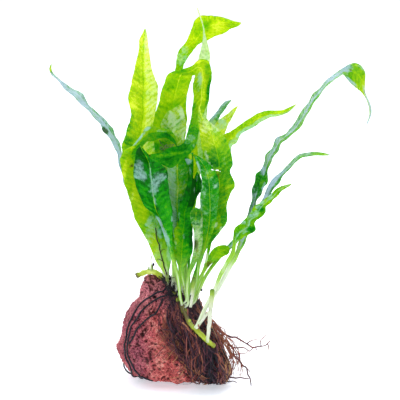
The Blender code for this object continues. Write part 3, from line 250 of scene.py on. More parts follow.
def join_parts(parts):
    """Joins (verts, quads, tris, attrs) parts into one."""
    vs, qs, ts, at, base = [], [], [], {}, 0
    for v, q, t, a in parts:
        vs.append(v)
        qs.append(np.asarray(q, int).reshape(-1, 4) + base)
        ts.append(np.asarray(t, int).reshape(-1, 3) + base)
        for key in a:
            at.setdefault(key, []).append(np.asarray(a[key], float))
        base += len(v)
    return np.vstack(vs), np.vstack(qs), np.vstack(ts), {k: np.concatenate(x) for k, x in at.items()}


# ---------------------------------------------------------------- material nodes
class Tree:
    """Short-hand for building a node tree."""

    def __init__(self, name):
        self.mat = bpy.data.materials.new(name)
        self.mat.use_nodes = True
        self.nt = self.mat.node_tree
        self.nt.nodes.clear()
        self.out = self.nt.nodes.new("ShaderNodeOutputMaterial")
        self.where = None

    def put(self, socket, value):
        if value is None:
            return
        if isinstance(value, bpy.types.NodeSocket):
            self.nt.links.new(value, socket)
        elif hasattr(socket.default_value, "__len__"):
            socket.default_value = tuple(value) + ((1.0,) if len(value) == 3 and len(socket.default_value) == 4 else ())
        else:
            socket.default_value = value

    def attr(self, name):
        n = self.nt.nodes.new("ShaderNodeAttribute")
        n.attribute_type = "GEOMETRY"
        n.attribute_name = name
        return n.outputs["Fac"]

    def spot(self):
        if self.where is None:
            self.where = self.nt.nodes.new("ShaderNodeTexCoord").outputs["Object"]
        return self.where

    def maths(self, op, a, b=None, c=None, clamp=False):
        n = self.nt.nodes.new("ShaderNodeMath")
        n.operation = op
        n.use_clamp = clamp
        for k, x in enumerate((a, b, c)):
            if x is not None:
                self.put(n.inputs[k], x)
        return n.outputs[0]

    def xyz(self, x, y, z=0.0):
        n = self.nt.nodes.new("ShaderNodeCombineXYZ")
        for k, value in enumerate((x, y, z)):
            self.put(n.inputs[k], value)
        return n.outputs[0]

    def noise(self, vec, scale, detail=2.0, rough=0.5, distort=0.0):
        n = self.nt.nodes.new("ShaderNodeTexNoise")
        self.nt.links.new(vec, n.inputs["Vector"])
        n.inputs["Scale"].default_value = scale
        n.inputs["Detail"].default_value = detail
        n.inputs["Roughness"].default_value = rough
        n.inputs["Distortion"].default_value = distort
        return n.outputs["Fac"]

    def cells(self, vec, scale, feature="F1", randomness=1.0):
        n = self.nt.nodes.new("ShaderNodeTexVoronoi")
        n.feature = feature
        self.nt.links.new(vec, n.inputs["Vector"])
        n.inputs["Scale"].default_value = scale
        n.inputs["Randomness"].default_value = randomness
        return n.outputs["Distance"]

    def fit(self, x, a, b, lo=0.0, hi=1.0, kind="SMOOTHSTEP"):
        n = self.nt.nodes.new("ShaderNodeMapRange")
        n.interpolation_type = kind
        self.put(n.inputs["Value"], x)
        for key, value in (("From Min", a), ("From Max", b), ("To Min", lo), ("To Max", hi)):
            n.inputs[key].default_value = value
        return n.outputs["Result"]

    def mix(self, fac, a, b, mode="MIX"):
        n = self.nt.nodes.new("ShaderNodeMix")
        n.data_type = "RGBA"
        n.blend_type = mode
        n.clamp_factor = True
        self.put(n.inputs[0], fac)
        self.put(n.inputs[6], a)
        self.put(n.inputs[7], b)
        return n.outputs[2]

    def ramp(self, fac, stops):
        n = self.nt.nodes.new("ShaderNodeValToRGB")
        r = n.color_ramp
        while len(r.elements) > 1:
            r.elements.remove(r.elements[-1])
        r.elements[0].position = stops[0][0]
        r.elements[0].color = tuple(stops[0][1]) + (1.0,)
        for pos, col in stops[1:]:
            e = r.elements.new(pos)
            e.color = tuple(col) + (1.0,)
        self.put(n.inputs[0], fac)
        return n.outputs[0]

    def bump(self, height, strength, distance, normal=None):
        n = self.nt.nodes.new("ShaderNodeBump")
        n.inputs["Strength"].default_value = strength
        n.inputs["Distance"].default_value = distance
        self.nt.links.new(height, n.inputs["Height"])
        if normal is not None:
            self.nt.links.new(normal, n.inputs["Normal"])
        return n.outputs[0]

    def principled(self, **values):
        n = self.nt.nodes.new("ShaderNodeBsdfPrincipled")
        for key, value in values.items():
            self.put(n.inputs[key.replace("_", " ")], value)
        return n

    def finish(self, shader):
        self.nt.links.new(shader, self.out.inputs["Surface"])
        return self.mat


def srgb(r, g, b):
    """Linear colour from 0-255 values."""
    return tuple(((c / 255.0 + 0.055) / 1.055) ** 2.4 if c > 10.3 else c / 255.0 / 12.92 for c in (r, g, b))


# ---------------------------------------------------------------- the stone
ROCK = [
    (376.5, 157.0, 214.0, -34.0, 25.0),
    (372.5, 141.0, 219.0, -37.0, 30.0),
    (366.0, 130.5, 222.0, -40.0, 34.0),
    (359.0, 125.0, 221.0, -41.5, 36.5),
    (353.0, 120.5, 219.5, -41.5, 37.5),
    (347.0, 117.5, 217.5, -41.0, 37.5),
    (341.0, 120.5, 214.5, -39.5, 36.5),
    (334.0, 122.5, 211.0, -37.5, 35.0),
    (327.0, 123.0, 207.0, -35.5, 33.0),
    (320.0, 124.5, 202.5, -33.0, 31.0),
    (313.0, 127.0, 197.5, -30.5, 28.5),
    (306.0, 131.5, 192.0, -27.5, 25.5),
    (299.0, 139.0, 186.0, -24.0, 22.5),
    (292.0, 141.5, 180.5, -20.5, 19.0),
    (286.0, 143.0, 174.5, -17.0, 15.5),
    (281.0, 143.2, 168.5, -13.0, 12.0),
    (277.0, 145.5, 162.5, -8.5, 8.0),
]
TOP = len(ROCK) - 1


def rock_point(s, a, off=0.0):
    """A point of the stone's skin at level s and angle a (0 right, 90 back, -90 front)."""
    i = min(int(s), TOP - 1)
    f = s - i
    v, ul, ur, yf, yb = [p + (q - p) * f for p, q in zip(ROCK[i], ROCK[i + 1])]
    left, right = front(ul, v, 0.0), front(ur, v, 0.0)
    z = max(0.0, left[2])
    mid_x, mid_y = (left[0] + right[0]) / 2, (yf + yb) / 2 * 0.001
    rx, ry = (right[0] - left[0]) / 2, (yb - yf) / 2 * 0.001
    c, sn = math.cos(a), math.sin(a)
    e = 2.0 / 2.3
    x = rx * math.copysign(abs(c) ** e, c)
    y = ry * math.copysign(abs(sn) ** e, sn)
    lump = noise.noise(Vector((c * 1.9, sn * 1.9, z * 42.0))) * 0.0022
    lump += noise.noise(Vector((c * 4.7 + 9.0, sn * 4.7, z * 95.0 + 4.0))) * 0.0011
    r = math.hypot(x, y)
    k = (r + lump * abs(sn) ** 0.5 + off) / r
    return (mid_x + x * k, mid_y + y * k, z)


# A table of the smooth skin and of its outward direction, for laying roots round it.
TS, TA = 97, 361
_grid = np.array([[rock_point(TOP * i / (TS - 1), 2 * math.pi * j / (TA - 1)) for j in range(TA)] for i in range(TS)])
_out = np.array([[rock_point(TOP * i / (TS - 1), 2 * math.pi * j / (TA - 1), 0.001) for j in range(TA)] for i in range(TS)])
_dir = unit(_out - _grid)


def on_table(table, s, a):
    x = np.clip(np.asarray(s, float) / TOP * (TS - 1), 0, TS - 1.001)
    y = (np.asarray(a, float) / (2 * math.pi) % 1.0) * (TA - 1)
    i, j = np.floor(x).astype(int), np.floor(y).astype(int)
    j = np.minimum(j, TA - 2)
    fx, fy = (x - i)[..., None], (y - j)[..., None]
    return ((table[i, j] * (1 - fx) + table[i + 1, j] * fx) * (1 - fy)
            + (table[i, j + 1] * (1 - fx) + table[i + 1, j + 1] * fx) * fy)


def round_stone(s, a, off=0.0):
    """Points off metres outside the smooth stone, at levels s and angles a."""
    return on_table(_grid, s, a) + on_table(_dir, s, a) * np.asarray(off, float)[..., None]


def build_stone():
    around, up = 470, 176
    a = np.arange(around) / around * 2 * math.pi
    # closer together on the front, which shows, than behind
    a = a + 0.32 * np.sin(a + math.pi / 2 + 0.25) * 0.55
    s = TOP * (np.linspace(0, 1, up) ** 0.96)
    S, A = np.meshgrid(s, a, indexing="ij")
    skin = on_table(_grid, S, A)
    out = on_table(_dir, S, A)
    # the crown and the sole close the skin with rings that shrink to a middle point
    crown_mid = skin[-1].mean(0) + np.array((0.0, 0.0, 0.0022))
    rings, dirs = [], []
    for k in range(1, 19):
        f = 1 - k / 18.5
        ring = crown_mid + (skin[-1] - crown_mid) * f
        ring[:, 2] = skin[-1][:, 2] + 0.0022 * (1 - f * f)
        rings.append(ring)
        dirs.append(unit(out[-1] * (f * 0.8) + np.array((0, 0, 1.0)) * (1.15 - f)))
    sole_mid = np.array((skin[0][:, 0].mean(), skin[0][:, 1].mean(), 0.0))
    sole = []
    for k in range(10, 0, -1):
        f = 1 - k / 10.6
        sole.append(sole_mid + (skin[0] - sole_mid) * f)
    P = np.concatenate([np.array(sole), skin, np.array(rings)])
    D = np.concatenate([np.repeat(out[:1], 10, 0) * 0, out, np.array(dirs)])
    n_sole = 10
    rows = len(P)
    # true outward direction of the skin
    du = np.roll(P, -1, 1) - np.roll(P, 1, 1)
    dv = np.empty_like(P)
    dv[1:-1] = P[2:] - P[:-2]
    dv[0], dv[-1] = P[1] - P[0], P[-1] - P[-2]
    N = unit(np.cross(du, dv))
    N = np.where((np.abs(N).sum(-1, keepdims=True) > 0.5), N, D)
    N[:n_sole] = np.array((0, 0, -1.0))
    flat = P.reshape(-1, 3)
    d = 0.0011 * fbm(flat * 95, 2, 3) + 0.0009 * fbm(flat * 260, 3, 11, 0.6)
    ridge = 1 - np.abs(vnoise(flat * 560, 5)) * 2
    ridge2 = 1 - np.abs(vnoise(flat * 1050, 9)) * 2
    d += 0.00050 * ridge + 0.00048 * ridge2 + 0.00030 * vnoise(flat * 1900, 8)
    d -= 0.0001
    # bubbles burst in the lava: pits of many sizes
    kd = KDTree(len(flat))
    for k, p in enumerate(flat):
        kd.insert(p, k)
    kd.balance()
    rng = np.random.default_rng(21)
    pit = np.zeros(len(flat))
    spots = []
    for _ in range(9000):
        i, j = int(rng.uniform(0, rows)), int(rng.uniform(0, around))
        r = 0.00045 + 0.0009 * rng.random() ** 3.2
        spots.append((P[i, j], r, r * rng.uniform(0.5, 1.1)))
    for u, v, r in ((149, 309.5, 0.0016), (141.5, 335, 0.0018), (151.5, 354.5, 0.0016), (155, 300, 0.0011),
                    (132, 345, 0.0012), (146, 366, 0.0012), (176, 362, 0.0012)):
        q = front(u, v, -34.0)
        spots.append((q, r * 1.15, r * 1.2))
    for c, r, depth in spots:
        centre, _, far = kd.find(c)
        for _, k, dist in kd.find_range(centre, r * 1.45):
            x = dist / r * (1 + 0.25 * ridge[k])
            pit[k] += depth * (max(0.0, 1 - x * x) ** 0.8) - 0.10 * depth * math.exp(-((x - 1.18) / 0.16) ** 2)
    pit = np.minimum(pit, 0.0030)
    keep = np.ones(rows)
    keep[:n_sole] = 0.0
    for k in range(6):
        keep[n_sole + k] = min(1.0, 0.25 + k / 5.0)
    keep = np.repeat(keep, around)
    side = N.reshape(-1, 3)
    d = (d - pit) * keep
    # the outline seen from the front keeps its measured place
    Q = flat + side * d[:, None]
    Q[:, 2] = np.maximum(Q[:, 2], 0.0)
    sole_rows = np.arange(n_sole * around)
    Q[sole_rows, 2] = np.maximum(0.0, 0.0011 * np.maximum(0, fbm(flat[sole_rows] * 170, 2, 15) - 0.12) * 2.2
                                 + np.minimum(pit[sole_rows], 0.0016) * 0.8) * np.repeat(
        np.clip((np.arange(n_sole) + 1) / 3.0, 0, 1) * np.clip((n_sole - np.arange(n_sole)) / 3.0, 0, 1), around)
    # the foot stands on a few places only: between them its rim hangs a little clear of the ground
    fu, fv = elevation(Q)
    rim = np.interp(fu, [112, 121, 130, 138, 142, 150, 156, 162, 170, 177, 184, 190, 197, 205, 213, 222, 230, 240],
                    [366, 372, 376, 376, 377.5, 381, 382, 380, 381.6, 384.6, 382.4, 379.4, 379, 382, 385, 382, 377, 372])
    Q[:, 2] += np.clip(fv - rim, 0.0, 6.0) * UNIT * (Q[:, 1] < skin[0][:, 1].mean())
    idx = np.arange(rows * around).reshape(rows, around)
    nxt = np.roll(idx, -1, 1)
    quads = np.stack([idx[:-1], nxt[:-1], nxt[1:], idx[1:]], -1).reshape(-1, 4)
    low, high = len(Q), len(Q) + 1
    Q = np.vstack([Q, sole_mid, Q[idx[-1]].mean(0)])
    tris = np.concatenate([np.stack([np.full(around, low), nxt[0], idx[0]], -1),
                           np.stack([np.full(around, high), idx[-1], nxt[-1]], -1)])
    # painted shade: how much the pits and the low places of the skin are darkened
    pit_shade = np.clip(pit / 0.0008, 0, 1) * 0.85 + np.clip(-ridge2, 0, 1) * 0.50 + np.clip(-ridge, 0, 1) * 0.25
    pit_shade = np.append(pit_shade, [0, 0])
    return Q, quads, tris, pit_shade


def stone_material():
    t = Tree("lava_stone")
    p = t.spot()
    broad = t.noise(p, 26.0, 3.0, 0.6)
    mid = t.noise(p, 120.0, 3.0, 0.65)
    fine = t.noise(p, 620.0, 2.0, 0.7)
    grain = t.noise(p, 1700.0, 1.0, 0.5)
    base = t.ramp(t.maths("ADD", t.maths("MULTIPLY", mid, 0.55), t.maths("MULTIPLY", fine, 0.45)),
                  [(0.34, srgb(138, 46, 52)), (0.44, srgb(200, 84, 84)), (0.54, srgb(226, 116, 108)),
                   (0.66, srgb(246, 174, 158))])
    # painted shade: a cooler, purplish cast on the left flank and towards the top; warmer, paler patches here and there
    sep = t.nt.nodes.new("ShaderNodeSeparateXYZ")
    t.nt.links.new(p, sep.inputs[0])
    left = t.fit(sep.outputs[0], -0.030, -0.006, 1.0, 0.0)
    high = t.fit(sep.outputs[2], 0.040, 0.074, 0.0, 1.0)
    painted_shade_cast = t.maths("MAXIMUM", left, high)
    painted_shade_cast = t.maths("MULTIPLY", painted_shade_cast, t.fit(broad, 0.32, 0.62, 0.35, 1.0))
    base = t.mix(t.maths("MULTIPLY", painted_shade_cast, 0.62), base, srgb(158, 86, 116))
    base = t.mix(t.maths("MULTIPLY", t.fit(broad, 0.56, 0.72), 0.45), base, srgb(178, 98, 88))
    # painted light: the narrow top, half in the shade of the plant, is painted the palest and pinkest part, lighter
    # than that shade leaves it
    base = t.mix(t.fit(sep.outputs[2], 0.050, 0.066, 0.0, 0.55), base, srgb(244, 148, 158))
    pit_shade_mask = t.attr("pit_shade")
    # painted shade: darker and purpler towards the foot, where the stone meets the ground
    base = t.mix(t.fit(sep.outputs[2], 0.0, 0.006, 0.35, 0.0), base, srgb(96, 50, 66))
    # painted shade in the pits and hollows
    base = t.mix(t.maths("MULTIPLY", pit_shade_mask, 0.90), base, srgb(44, 16, 24))
    base = t.mix(t.fit(grain, 0.60, 0.72, 0.0, 0.6), base, srgb(226, 168, 150))
    height = t.maths("ADD", t.maths("MULTIPLY", fine, 0.7), t.maths("MULTIPLY", grain, 0.35))
    holes = t.fit(t.maths("ADD", t.cells(p, 1050.0), t.maths("MULTIPLY", mid, 0.35)), 0.34, 0.62)
    height = t.maths("ADD", height, t.maths("MULTIPLY", holes, 0.7))
    # painted shade: the small holes are darkened as well as sunk by the bump
    base = t.mix(t.fit(holes, 0.0, 0.7, 0.85, 0.0), base, srgb(46, 18, 24))
    normal = t.bump(height, 1.0, 0.0009)
    sh = t.principled(Base_Color=base, Roughness=t.fit(fine, 0.3, 0.7, 0.8, 0.98), Normal=normal)
    sh.inputs["Specular IOR Level"].default_value = 0.3
    return t.finish(sh.outputs[0])


# the painted shade of the pits goes with the stone's mesh
STONE_V, STONE_Q, STONE_T, _pit_shade = build_stone()
stone = place(make_mesh("lava_stone", STONE_V, STONE_Q, STONE_T, {"pit_shade": _pit_shade}, stone_material()),
              "lava", "lava_rock")
STONE_SKIN = BVHTree.FromPolygons([tuple(p) for p in STONE_V],
                                  [tuple(q) for q in STONE_Q] + [tuple(q) for q in STONE_T])
SMOOTH_SKIN = BVHTree.FromPolygons([tuple(p) for p in _grid[::2, ::4].reshape(-1, 3)],
                                   [(i * 91 + j, i * 91 + j + 1, (i + 1) * 91 + j + 1, (i + 1) * 91 + j)
                                    for i in range(48) for j in range(90)])


# ---------------------------------------------------------------- the root mass
MAT_FROM, MAT_TO = -80.0, 78.0


def left_limit(s):
    """Angle of the left edge of the roots: more of the stone is bare towards its foot."""
    return np.interp(s, LEFT_S, LEFT_D)


def measure_left():
    """The angle, at each level of the stone, where the elevation shows the roots' left edge."""
    levels, degs = np.linspace(0.0, 11.6, 30), np.linspace(-100.0, 20.0, 241)
    out = []
    for s in levels:
        uu, vv = elevation(round_stone(np.full(241, s), np.radians(degs), np.full(241, 0.003)))
        want = np.interp(vv, [286, 305, 321, 336, 344, 355, 363, 373, 383], [168, 170, 169, 175, 182, 189, 196, 201, 207])
        out.append(degs[np.argmax(uu >= want)] if (uu >= want).any() else -79.0)
    out = np.convolve(np.pad(out, 2, mode="edge"), np.ones(5) / 5, mode="valid")
    return levels, out


LEFT_S, LEFT_D = measure_left()


def mat_thick(s, deg):
    """Thickness of the root mass over the stone at level s and angle deg, in metres."""
    s, deg = np.asarray(s, float), np.asarray(deg, float)
    right = np.exp(-((deg + 22.0) / 42.0) ** 2)
    h = s / 11.6
    swell = 0.0050 + 0.0072 * right * (1.0 - 0.35 * np.abs(h - 0.35))
    swell = swell + np.where(s < 1.5, 0.0035 * right * (1.5 - s), 0.0)
    edge = np.minimum(np.minimum(1.0, (deg - left_limit(s)) / 30.0 + 0.14), (MAT_TO - deg) / 26.0 + 0.22)
    edge = edge * (1 - 0.42 * np.exp(-((deg - 4.0) / 30.0) ** 2) * smooth(-0.5, 3.0, s))
    crown = np.minimum(1.0, 0.45 + (11.6 - s) / 4.0)
    return swell * np.maximum(edge, 0.06) * crown


def round_mat(s, deg, share, lift=0.0):
    """Points at a share of the root mass's depth."""
    return round_stone(s, np.radians(deg), 0.0016 + mat_thick(s, deg) * share + lift)


def root_material(name, stops, rough=0.62):
    t = Tree(name)
    p = t.spot()
    tone = t.attr("tone")
    speck = t.noise(p, 420.0, 2.0, 0.6)
    value = t.maths("ADD", tone, t.maths("MULTIPLY", t.maths("SUBTRACT", speck, 0.5), 0.22))
    base = t.ramp(value, stops)
    normal = t.bump(t.noise(p, 1500.0, 2.0, 0.6), 0.5, 0.0003)
    sh = t.principled(Base_Color=base, Roughness=rough, Normal=normal)
    sh.inputs["Specular IOR Level"].default_value = 0.45
    return t.finish(sh.outputs[0])


FIBRE = root_material("root_fibre", [(0.0, srgb(10, 8, 18)), (0.16, srgb(30, 20, 38)), (0.30, srgb(62, 30, 46)),
                                     (0.46, srgb(104, 50, 60)), (0.62, srgb(152, 84, 66)), (0.80, srgb(192, 134, 88)),
                                     (1.0, srgb(226, 180, 126))])
# near-black: painted shade inside the root mass, and the colour of the dark crumbs
CORE = root_material("root_core", [(0.0, srgb(8, 6, 12)), (0.5, srgb(22, 14, 20)), (1.0, srgb(48, 28, 28))], 0.85)

# the creeping stem's centre line, which the roots grow from
STEM_LINE = np.array([front(*q) for q in (
    (162.0, 276.6, -9.5), (165.3, 277.6, -11.5), (169.0, 283.5, -19.5), (173.5, 291.0, -26.5), (179.0, 300.0, -32.5),
    (183.3, 308.8, -38.0), (185.2, 314.0, -42.0), (188.0, 320.5, -46.5), (192.5, 326.5, -49.5), (198.0, 331.5, -51.0),
    (204.0, 337.5, -51.5), (210.0, 343.0, -51.0), (214.6, 346.2, -50.0))])
BACK_LINE = np.array([front(*q) for q in ((182.6, 295.6, -27.6), (187.5, 298.0, -24.8), (192.0, 300.4, -22.6),
                                          (195.8, 303.2, -20.4))])


_su, _sv = elevation(STONE_V)
RIGHT_V = np.arange(290.0, 386.0, 4.0)
RIGHT_U = np.array([_su[np.abs(_sv - v) < 3.0].max() if (np.abs(_sv - v) < 3.0).any() else 0.0 for v in RIGHT_V])


def stem_gap(uu, vv):
    """Distance in the elevation from the front stem's centre line, and the stem's depth there."""
    best, lie = np.full(len(uu), 1e9), np.zeros(len(uu))
    a_u, a_v = elevation(STEM_LINE[5:])
    for k in range(len(a_u) - 1):
        du, dv = a_u[k + 1] - a_u[k], a_v[k + 1] - a_v[k]
        f = np.clip(((uu - a_u[k]) * du + (vv - a_v[k]) * dv) / (du * du + dv * dv), 0, 1)
        d = np.hypot(uu - a_u[k] - f * du, vv - a_v[k] - f * dv)
        near = d < best
        best = np.where(near, d, best)
        y = STEM_LINE[5 + k, 1] * (1 - f) + STEM_LINE[6 + k, 1] * f
        lie = np.where(near, y, lie)
    return best, lie


def draw_in(P, rng, inset=0.0):
    """Keeps the hanging roots to the measured outline on the right of the mass."""
    uu, vv = elevation(P.reshape(-1, 3))
    edge = np.interp(vv, [275, 285, 300, 312, 324, 333, 344, 355, 365, 374, 380, 388],
                     [188, 194, 200, 203, 210, 215.5, 220.5, 225, 230, 231, 227, 223])
    edge = np.maximum(edge - inset, np.interp(vv, RIGHT_V, RIGHT_U) + 1.5)
    far = (rng.random(P.shape[0]) < 0.05) * rng.uniform(2.0, 6.0, P.shape[0])
    slack = np.repeat(rng.uniform(-7.0, 0.6, P.shape[0]) + far, P.shape[1])
    over = np.maximum(uu - edge - slack, 0.0)
    Q = P.reshape(-1, 3).copy()
    Q[:, 0] -= over * 0.9 * UNIT
    uu, vv = elevation(Q)
    # the creeping stem lies on top of the roots
    gap, lie = stem_gap(uu, vv)
    Q[:, 1] = np.where(gap < 3.0, np.maximum(Q[:, 1], lie + 0.0026), Q[:, 1])
    low = np.maximum(vv - np.repeat(rng.uniform(375.5, 385.0, P.shape[0]), P.shape[1]), 0.0)
    Q[:, 1] += low * UNIT / 0.17
    return Q.reshape(P.shape)


def build_core():
    """The dark inside of the root mass, a closed crust of matted roots; its near-black colour is painted shade for the
    depth between the fibres.
    """
    ns, na = 70, 110
    s = np.linspace(0.0, 11.55, ns)
    S, X = np.meshgrid(s, np.linspace(0, 1, na), indexing="ij")
    D = left_limit(S) + 11 + (MAT_TO - 13 - left_limit(S)) * X
    strand = noise1(D.ravel() * 0.55 + 2.0 * noise1(S.ravel() * 0.5, 3), 4).reshape(S.shape)
    strand2 = noise1(D.ravel() * 1.6 + 3.0 * noise1(S.ravel() * 0.7, 7), 8).reshape(S.shape)
    share = 0.62 + 0.16 * strand + 0.08 * strand2
    edge = np.minimum(np.minimum(smooth(0, 0.22, X + 0.04 * strand), smooth(0, 0.06, 1 - X)), smooth(0, 0.05, (S.max() - S) / S.max()))
    outer = draw_in(round_mat(S, D, share * edge), np.random.default_rng(3), 5.0)
    outer[..., 2] = np.maximum(outer[..., 2], 0.0002)
    inner = round_stone(S, np.radians(D), 0.0004)
    inner[..., 2] = np.maximum(inner[..., 2], 0.0002)
    v = np.concatenate([outer.reshape(-1, 3), inner.reshape(-1, 3)])
    idx = np.arange(ns * na).reshape(ns, na)
    o = idx
    b = idx + ns * na
    q = [np.stack([o[:-1, :-1], o[:-1, 1:], o[1:, 1:], o[1:, :-1]], -1).reshape(-1, 4),
         np.stack([b[:-1, :-1], b[1:, :-1], b[1:, 1:], b[:-1, 1:]], -1).reshape(-1, 4),
         np.stack([o[:-1, 0], o[1:, 0], b[1:, 0], b[:-1, 0]], -1),
         np.stack([o[:-1, -1], b[:-1, -1], b[1:, -1], o[1:, -1]], -1),
         np.stack([o[0, :-1], b[0, :-1], b[0, 1:], o[0, 1:]], -1),
         np.stack([o[-1, :-1], o[-1, 1:], b[-1, 1:], b[-1, :-1]], -1)]
    tone = np.tile((0.35 + 0.35 * strand + 0.2 * strand2).ravel(), 2)
    return v, np.vstack(q), tone


core_v, core_q, core_tone = build_core()
root_core = place(make_mesh("root_core", core_v, core_q, None, {"tone": core_tone}, CORE), "root", "root_mat")


def tone_at(u, v, rim=0.22):
    """How light the roots are at a place of the elevation: dark at the crown and in the low
    blue-black bundle, browner over the middle, orange at the right-hand edge."""
    t = 0.34 + 0.05 * np.sin(u * 0.21) * np.cos(v * 0.13)
    t = t - 0.20 * smooth(304, 284, v) * smooth(194, 178, u)
    t = t + 0.17 * np.exp(-((u - 177.0) / 13.0) ** 2 - ((v - 320.0) / 24.0) ** 2)
    t = t - 0.10 * smooth(312, 296, v)
    t = t - 0.24 * np.exp(-((u - 209.5 - (v - 366) * 0.15) / 6.0) ** 2) * smooth(342, 356, v)
    t = t - 0.12 * np.exp(-((u - 188.0) / 5.0) ** 2) * smooth(318, 330, v) * smooth(352, 340, v)
    t = t + 0.16 * np.exp(-((u - 200.0) / 9.0) ** 2 - ((v - 312) / 9.0) ** 2)
    edge = 205 + (v - 300) * 0.48
    t = t + rim * smooth(-9, 1, u - edge) * smooth(306, 322, v)
    t = t + 0.08 * smooth(352, 366, v) * smooth(216, 224, u)
    return t


def wander(n, length, step, rng, reach):
    """n smooth random wanderings of length points, about reach in size."""
    knots = max(3, int(length / step) + 2)
    k = rng.normal(0, 1, (n, knots, 3))
    t = np.linspace(0, knots - 1.001, length)
    i = np.floor(t).astype(int)
    f = (t - i)
    f = (f * f * (3 - 2 * f))[None, :, None]
    return (k[:, i] * (1 - f) + k[:, i + 1] * f) * reach


def flow_fibres(count, rng, share_lo, share_hi, radius, clumps, points=15, s_top=(8.6, 11.4), deg_range=(-78, 74),
                wob=0.0014, from_stem=0.55, low=(0.0, 3.2)):
    """Roots that leave the stem or the top of the mass and run down over the stone."""
    centre_deg = rng.uniform(deg_range[0], deg_range[1], clumps)
    centre_top = rng.uniform(s_top[0], s_top[1], clumps)
    centre_low = rng.uniform(low[0], low[1], clumps) * (rng.random(clumps) < 0.55)
    centre_drift = rng.normal(2.0, 9.0, clumps)
    centre_share = rng.uniform(share_lo, share_hi, clumps)
    centre_wob = wander(clumps, points, 4.0, rng, wob * 1.6)
    tone_c = rng.normal(0, 0.13, clumps)
    pick = rng.integers(0, clumps, count)
    u = np.linspace(0, 1, points)[None, :]
    deg0 = centre_deg[pick] + rng.normal(0, 2.6, count)
    s0 = centre_top[pick] + rng.normal(0, 0.5, count)
    s1 = np.maximum(-0.6, centre_low[pick] + rng.normal(0, 0.9, count))
    short = rng.random(count) < 0.22
    s1 = np.where(short, s0 - rng.uniform(2.0, 5.0, count), s1)
    s0, s1 = np.minimum(s0, 11.5), np.minimum(s1, s0 - 1.2)
    drift = centre_drift[pick] + rng.normal(0, 6.0, count)
    S = s0[:, None] + (s1 - s0)[:, None] * u
    D = deg0[:, None] + drift[:, None] * u ** 1.4
    lim = left_limit(S)
    D = np.clip(np.where(D < lim, lim + (lim - D) * 0.7, D), lim, MAT_TO - 1)
    share = np.clip(centre_share[pick] + rng.normal(0, 0.07, count), share_lo, share_hi)[:, None]
    P = round_mat(np.maximum(S, 0.0), D, share * (0.9 + 0.1 * np.sin(u * math.pi)))
    # below the foot level the root turns outwards along the ground
    below = np.minimum(S, 0.0)
    P += on_table(_dir, np.maximum(S, 0.0), np.radians(D)) * (-below * 0.0030)[..., None]
    P += centre_wob[pick] + wander(count, points, 3.0, rng, wob * 0.55)
    # the upper end is drawn in to the stem
    joined = rng.random(count) < from_stem
    line = np.vstack([STEM_LINE[1:7], BACK_LINE])
    dist = np.linalg.norm(P[:, :1, :2] - line[None, :, :2], axis=-1) + rng.normal(0, 0.006, (count, len(line)))
    start = line[np.argmin(np.abs(dist), 1)] + rng.normal(0, 0.0011, (count, 3))
    pull = (1 - smooth(0.0, 0.42, u)) * joined[:, None]
    P = P * (1 - pull[..., None]) + start[:, None, :] * pull[..., None]
    P[..., 2] = np.maximum(P[..., 2], radius[0] * 1.1 + 0.0001)
    R = rng.uniform(radius[0], radius[1], count)[:, None] * (1 - 0.55 * u ** 1.6)
    return P, R, tone_c[pick] + rng.normal(0, 0.13, count)


def fibre_part(P, R, tone, sides=4, ref=(1.0, 0.25, 0.1), rim=0.0):
    P = np.array(P)
    P[..., 2] = np.maximum(P[..., 2], np.broadcast_to(R, P[..., 2].shape))
    P = draw_in(P, np.random.default_rng(len(P)))
    v, q, t, strand, along = tubes(P, R, sides, ref)
    uu, vv = elevation(v)
    tones = tone_at(uu, vv, rim) + tone[strand] + 0.06 * np.sin(along * 9.0 + strand * 1.7)
    return v, q, t, {"tone": np.clip(tones, 0.0, 1.0)}


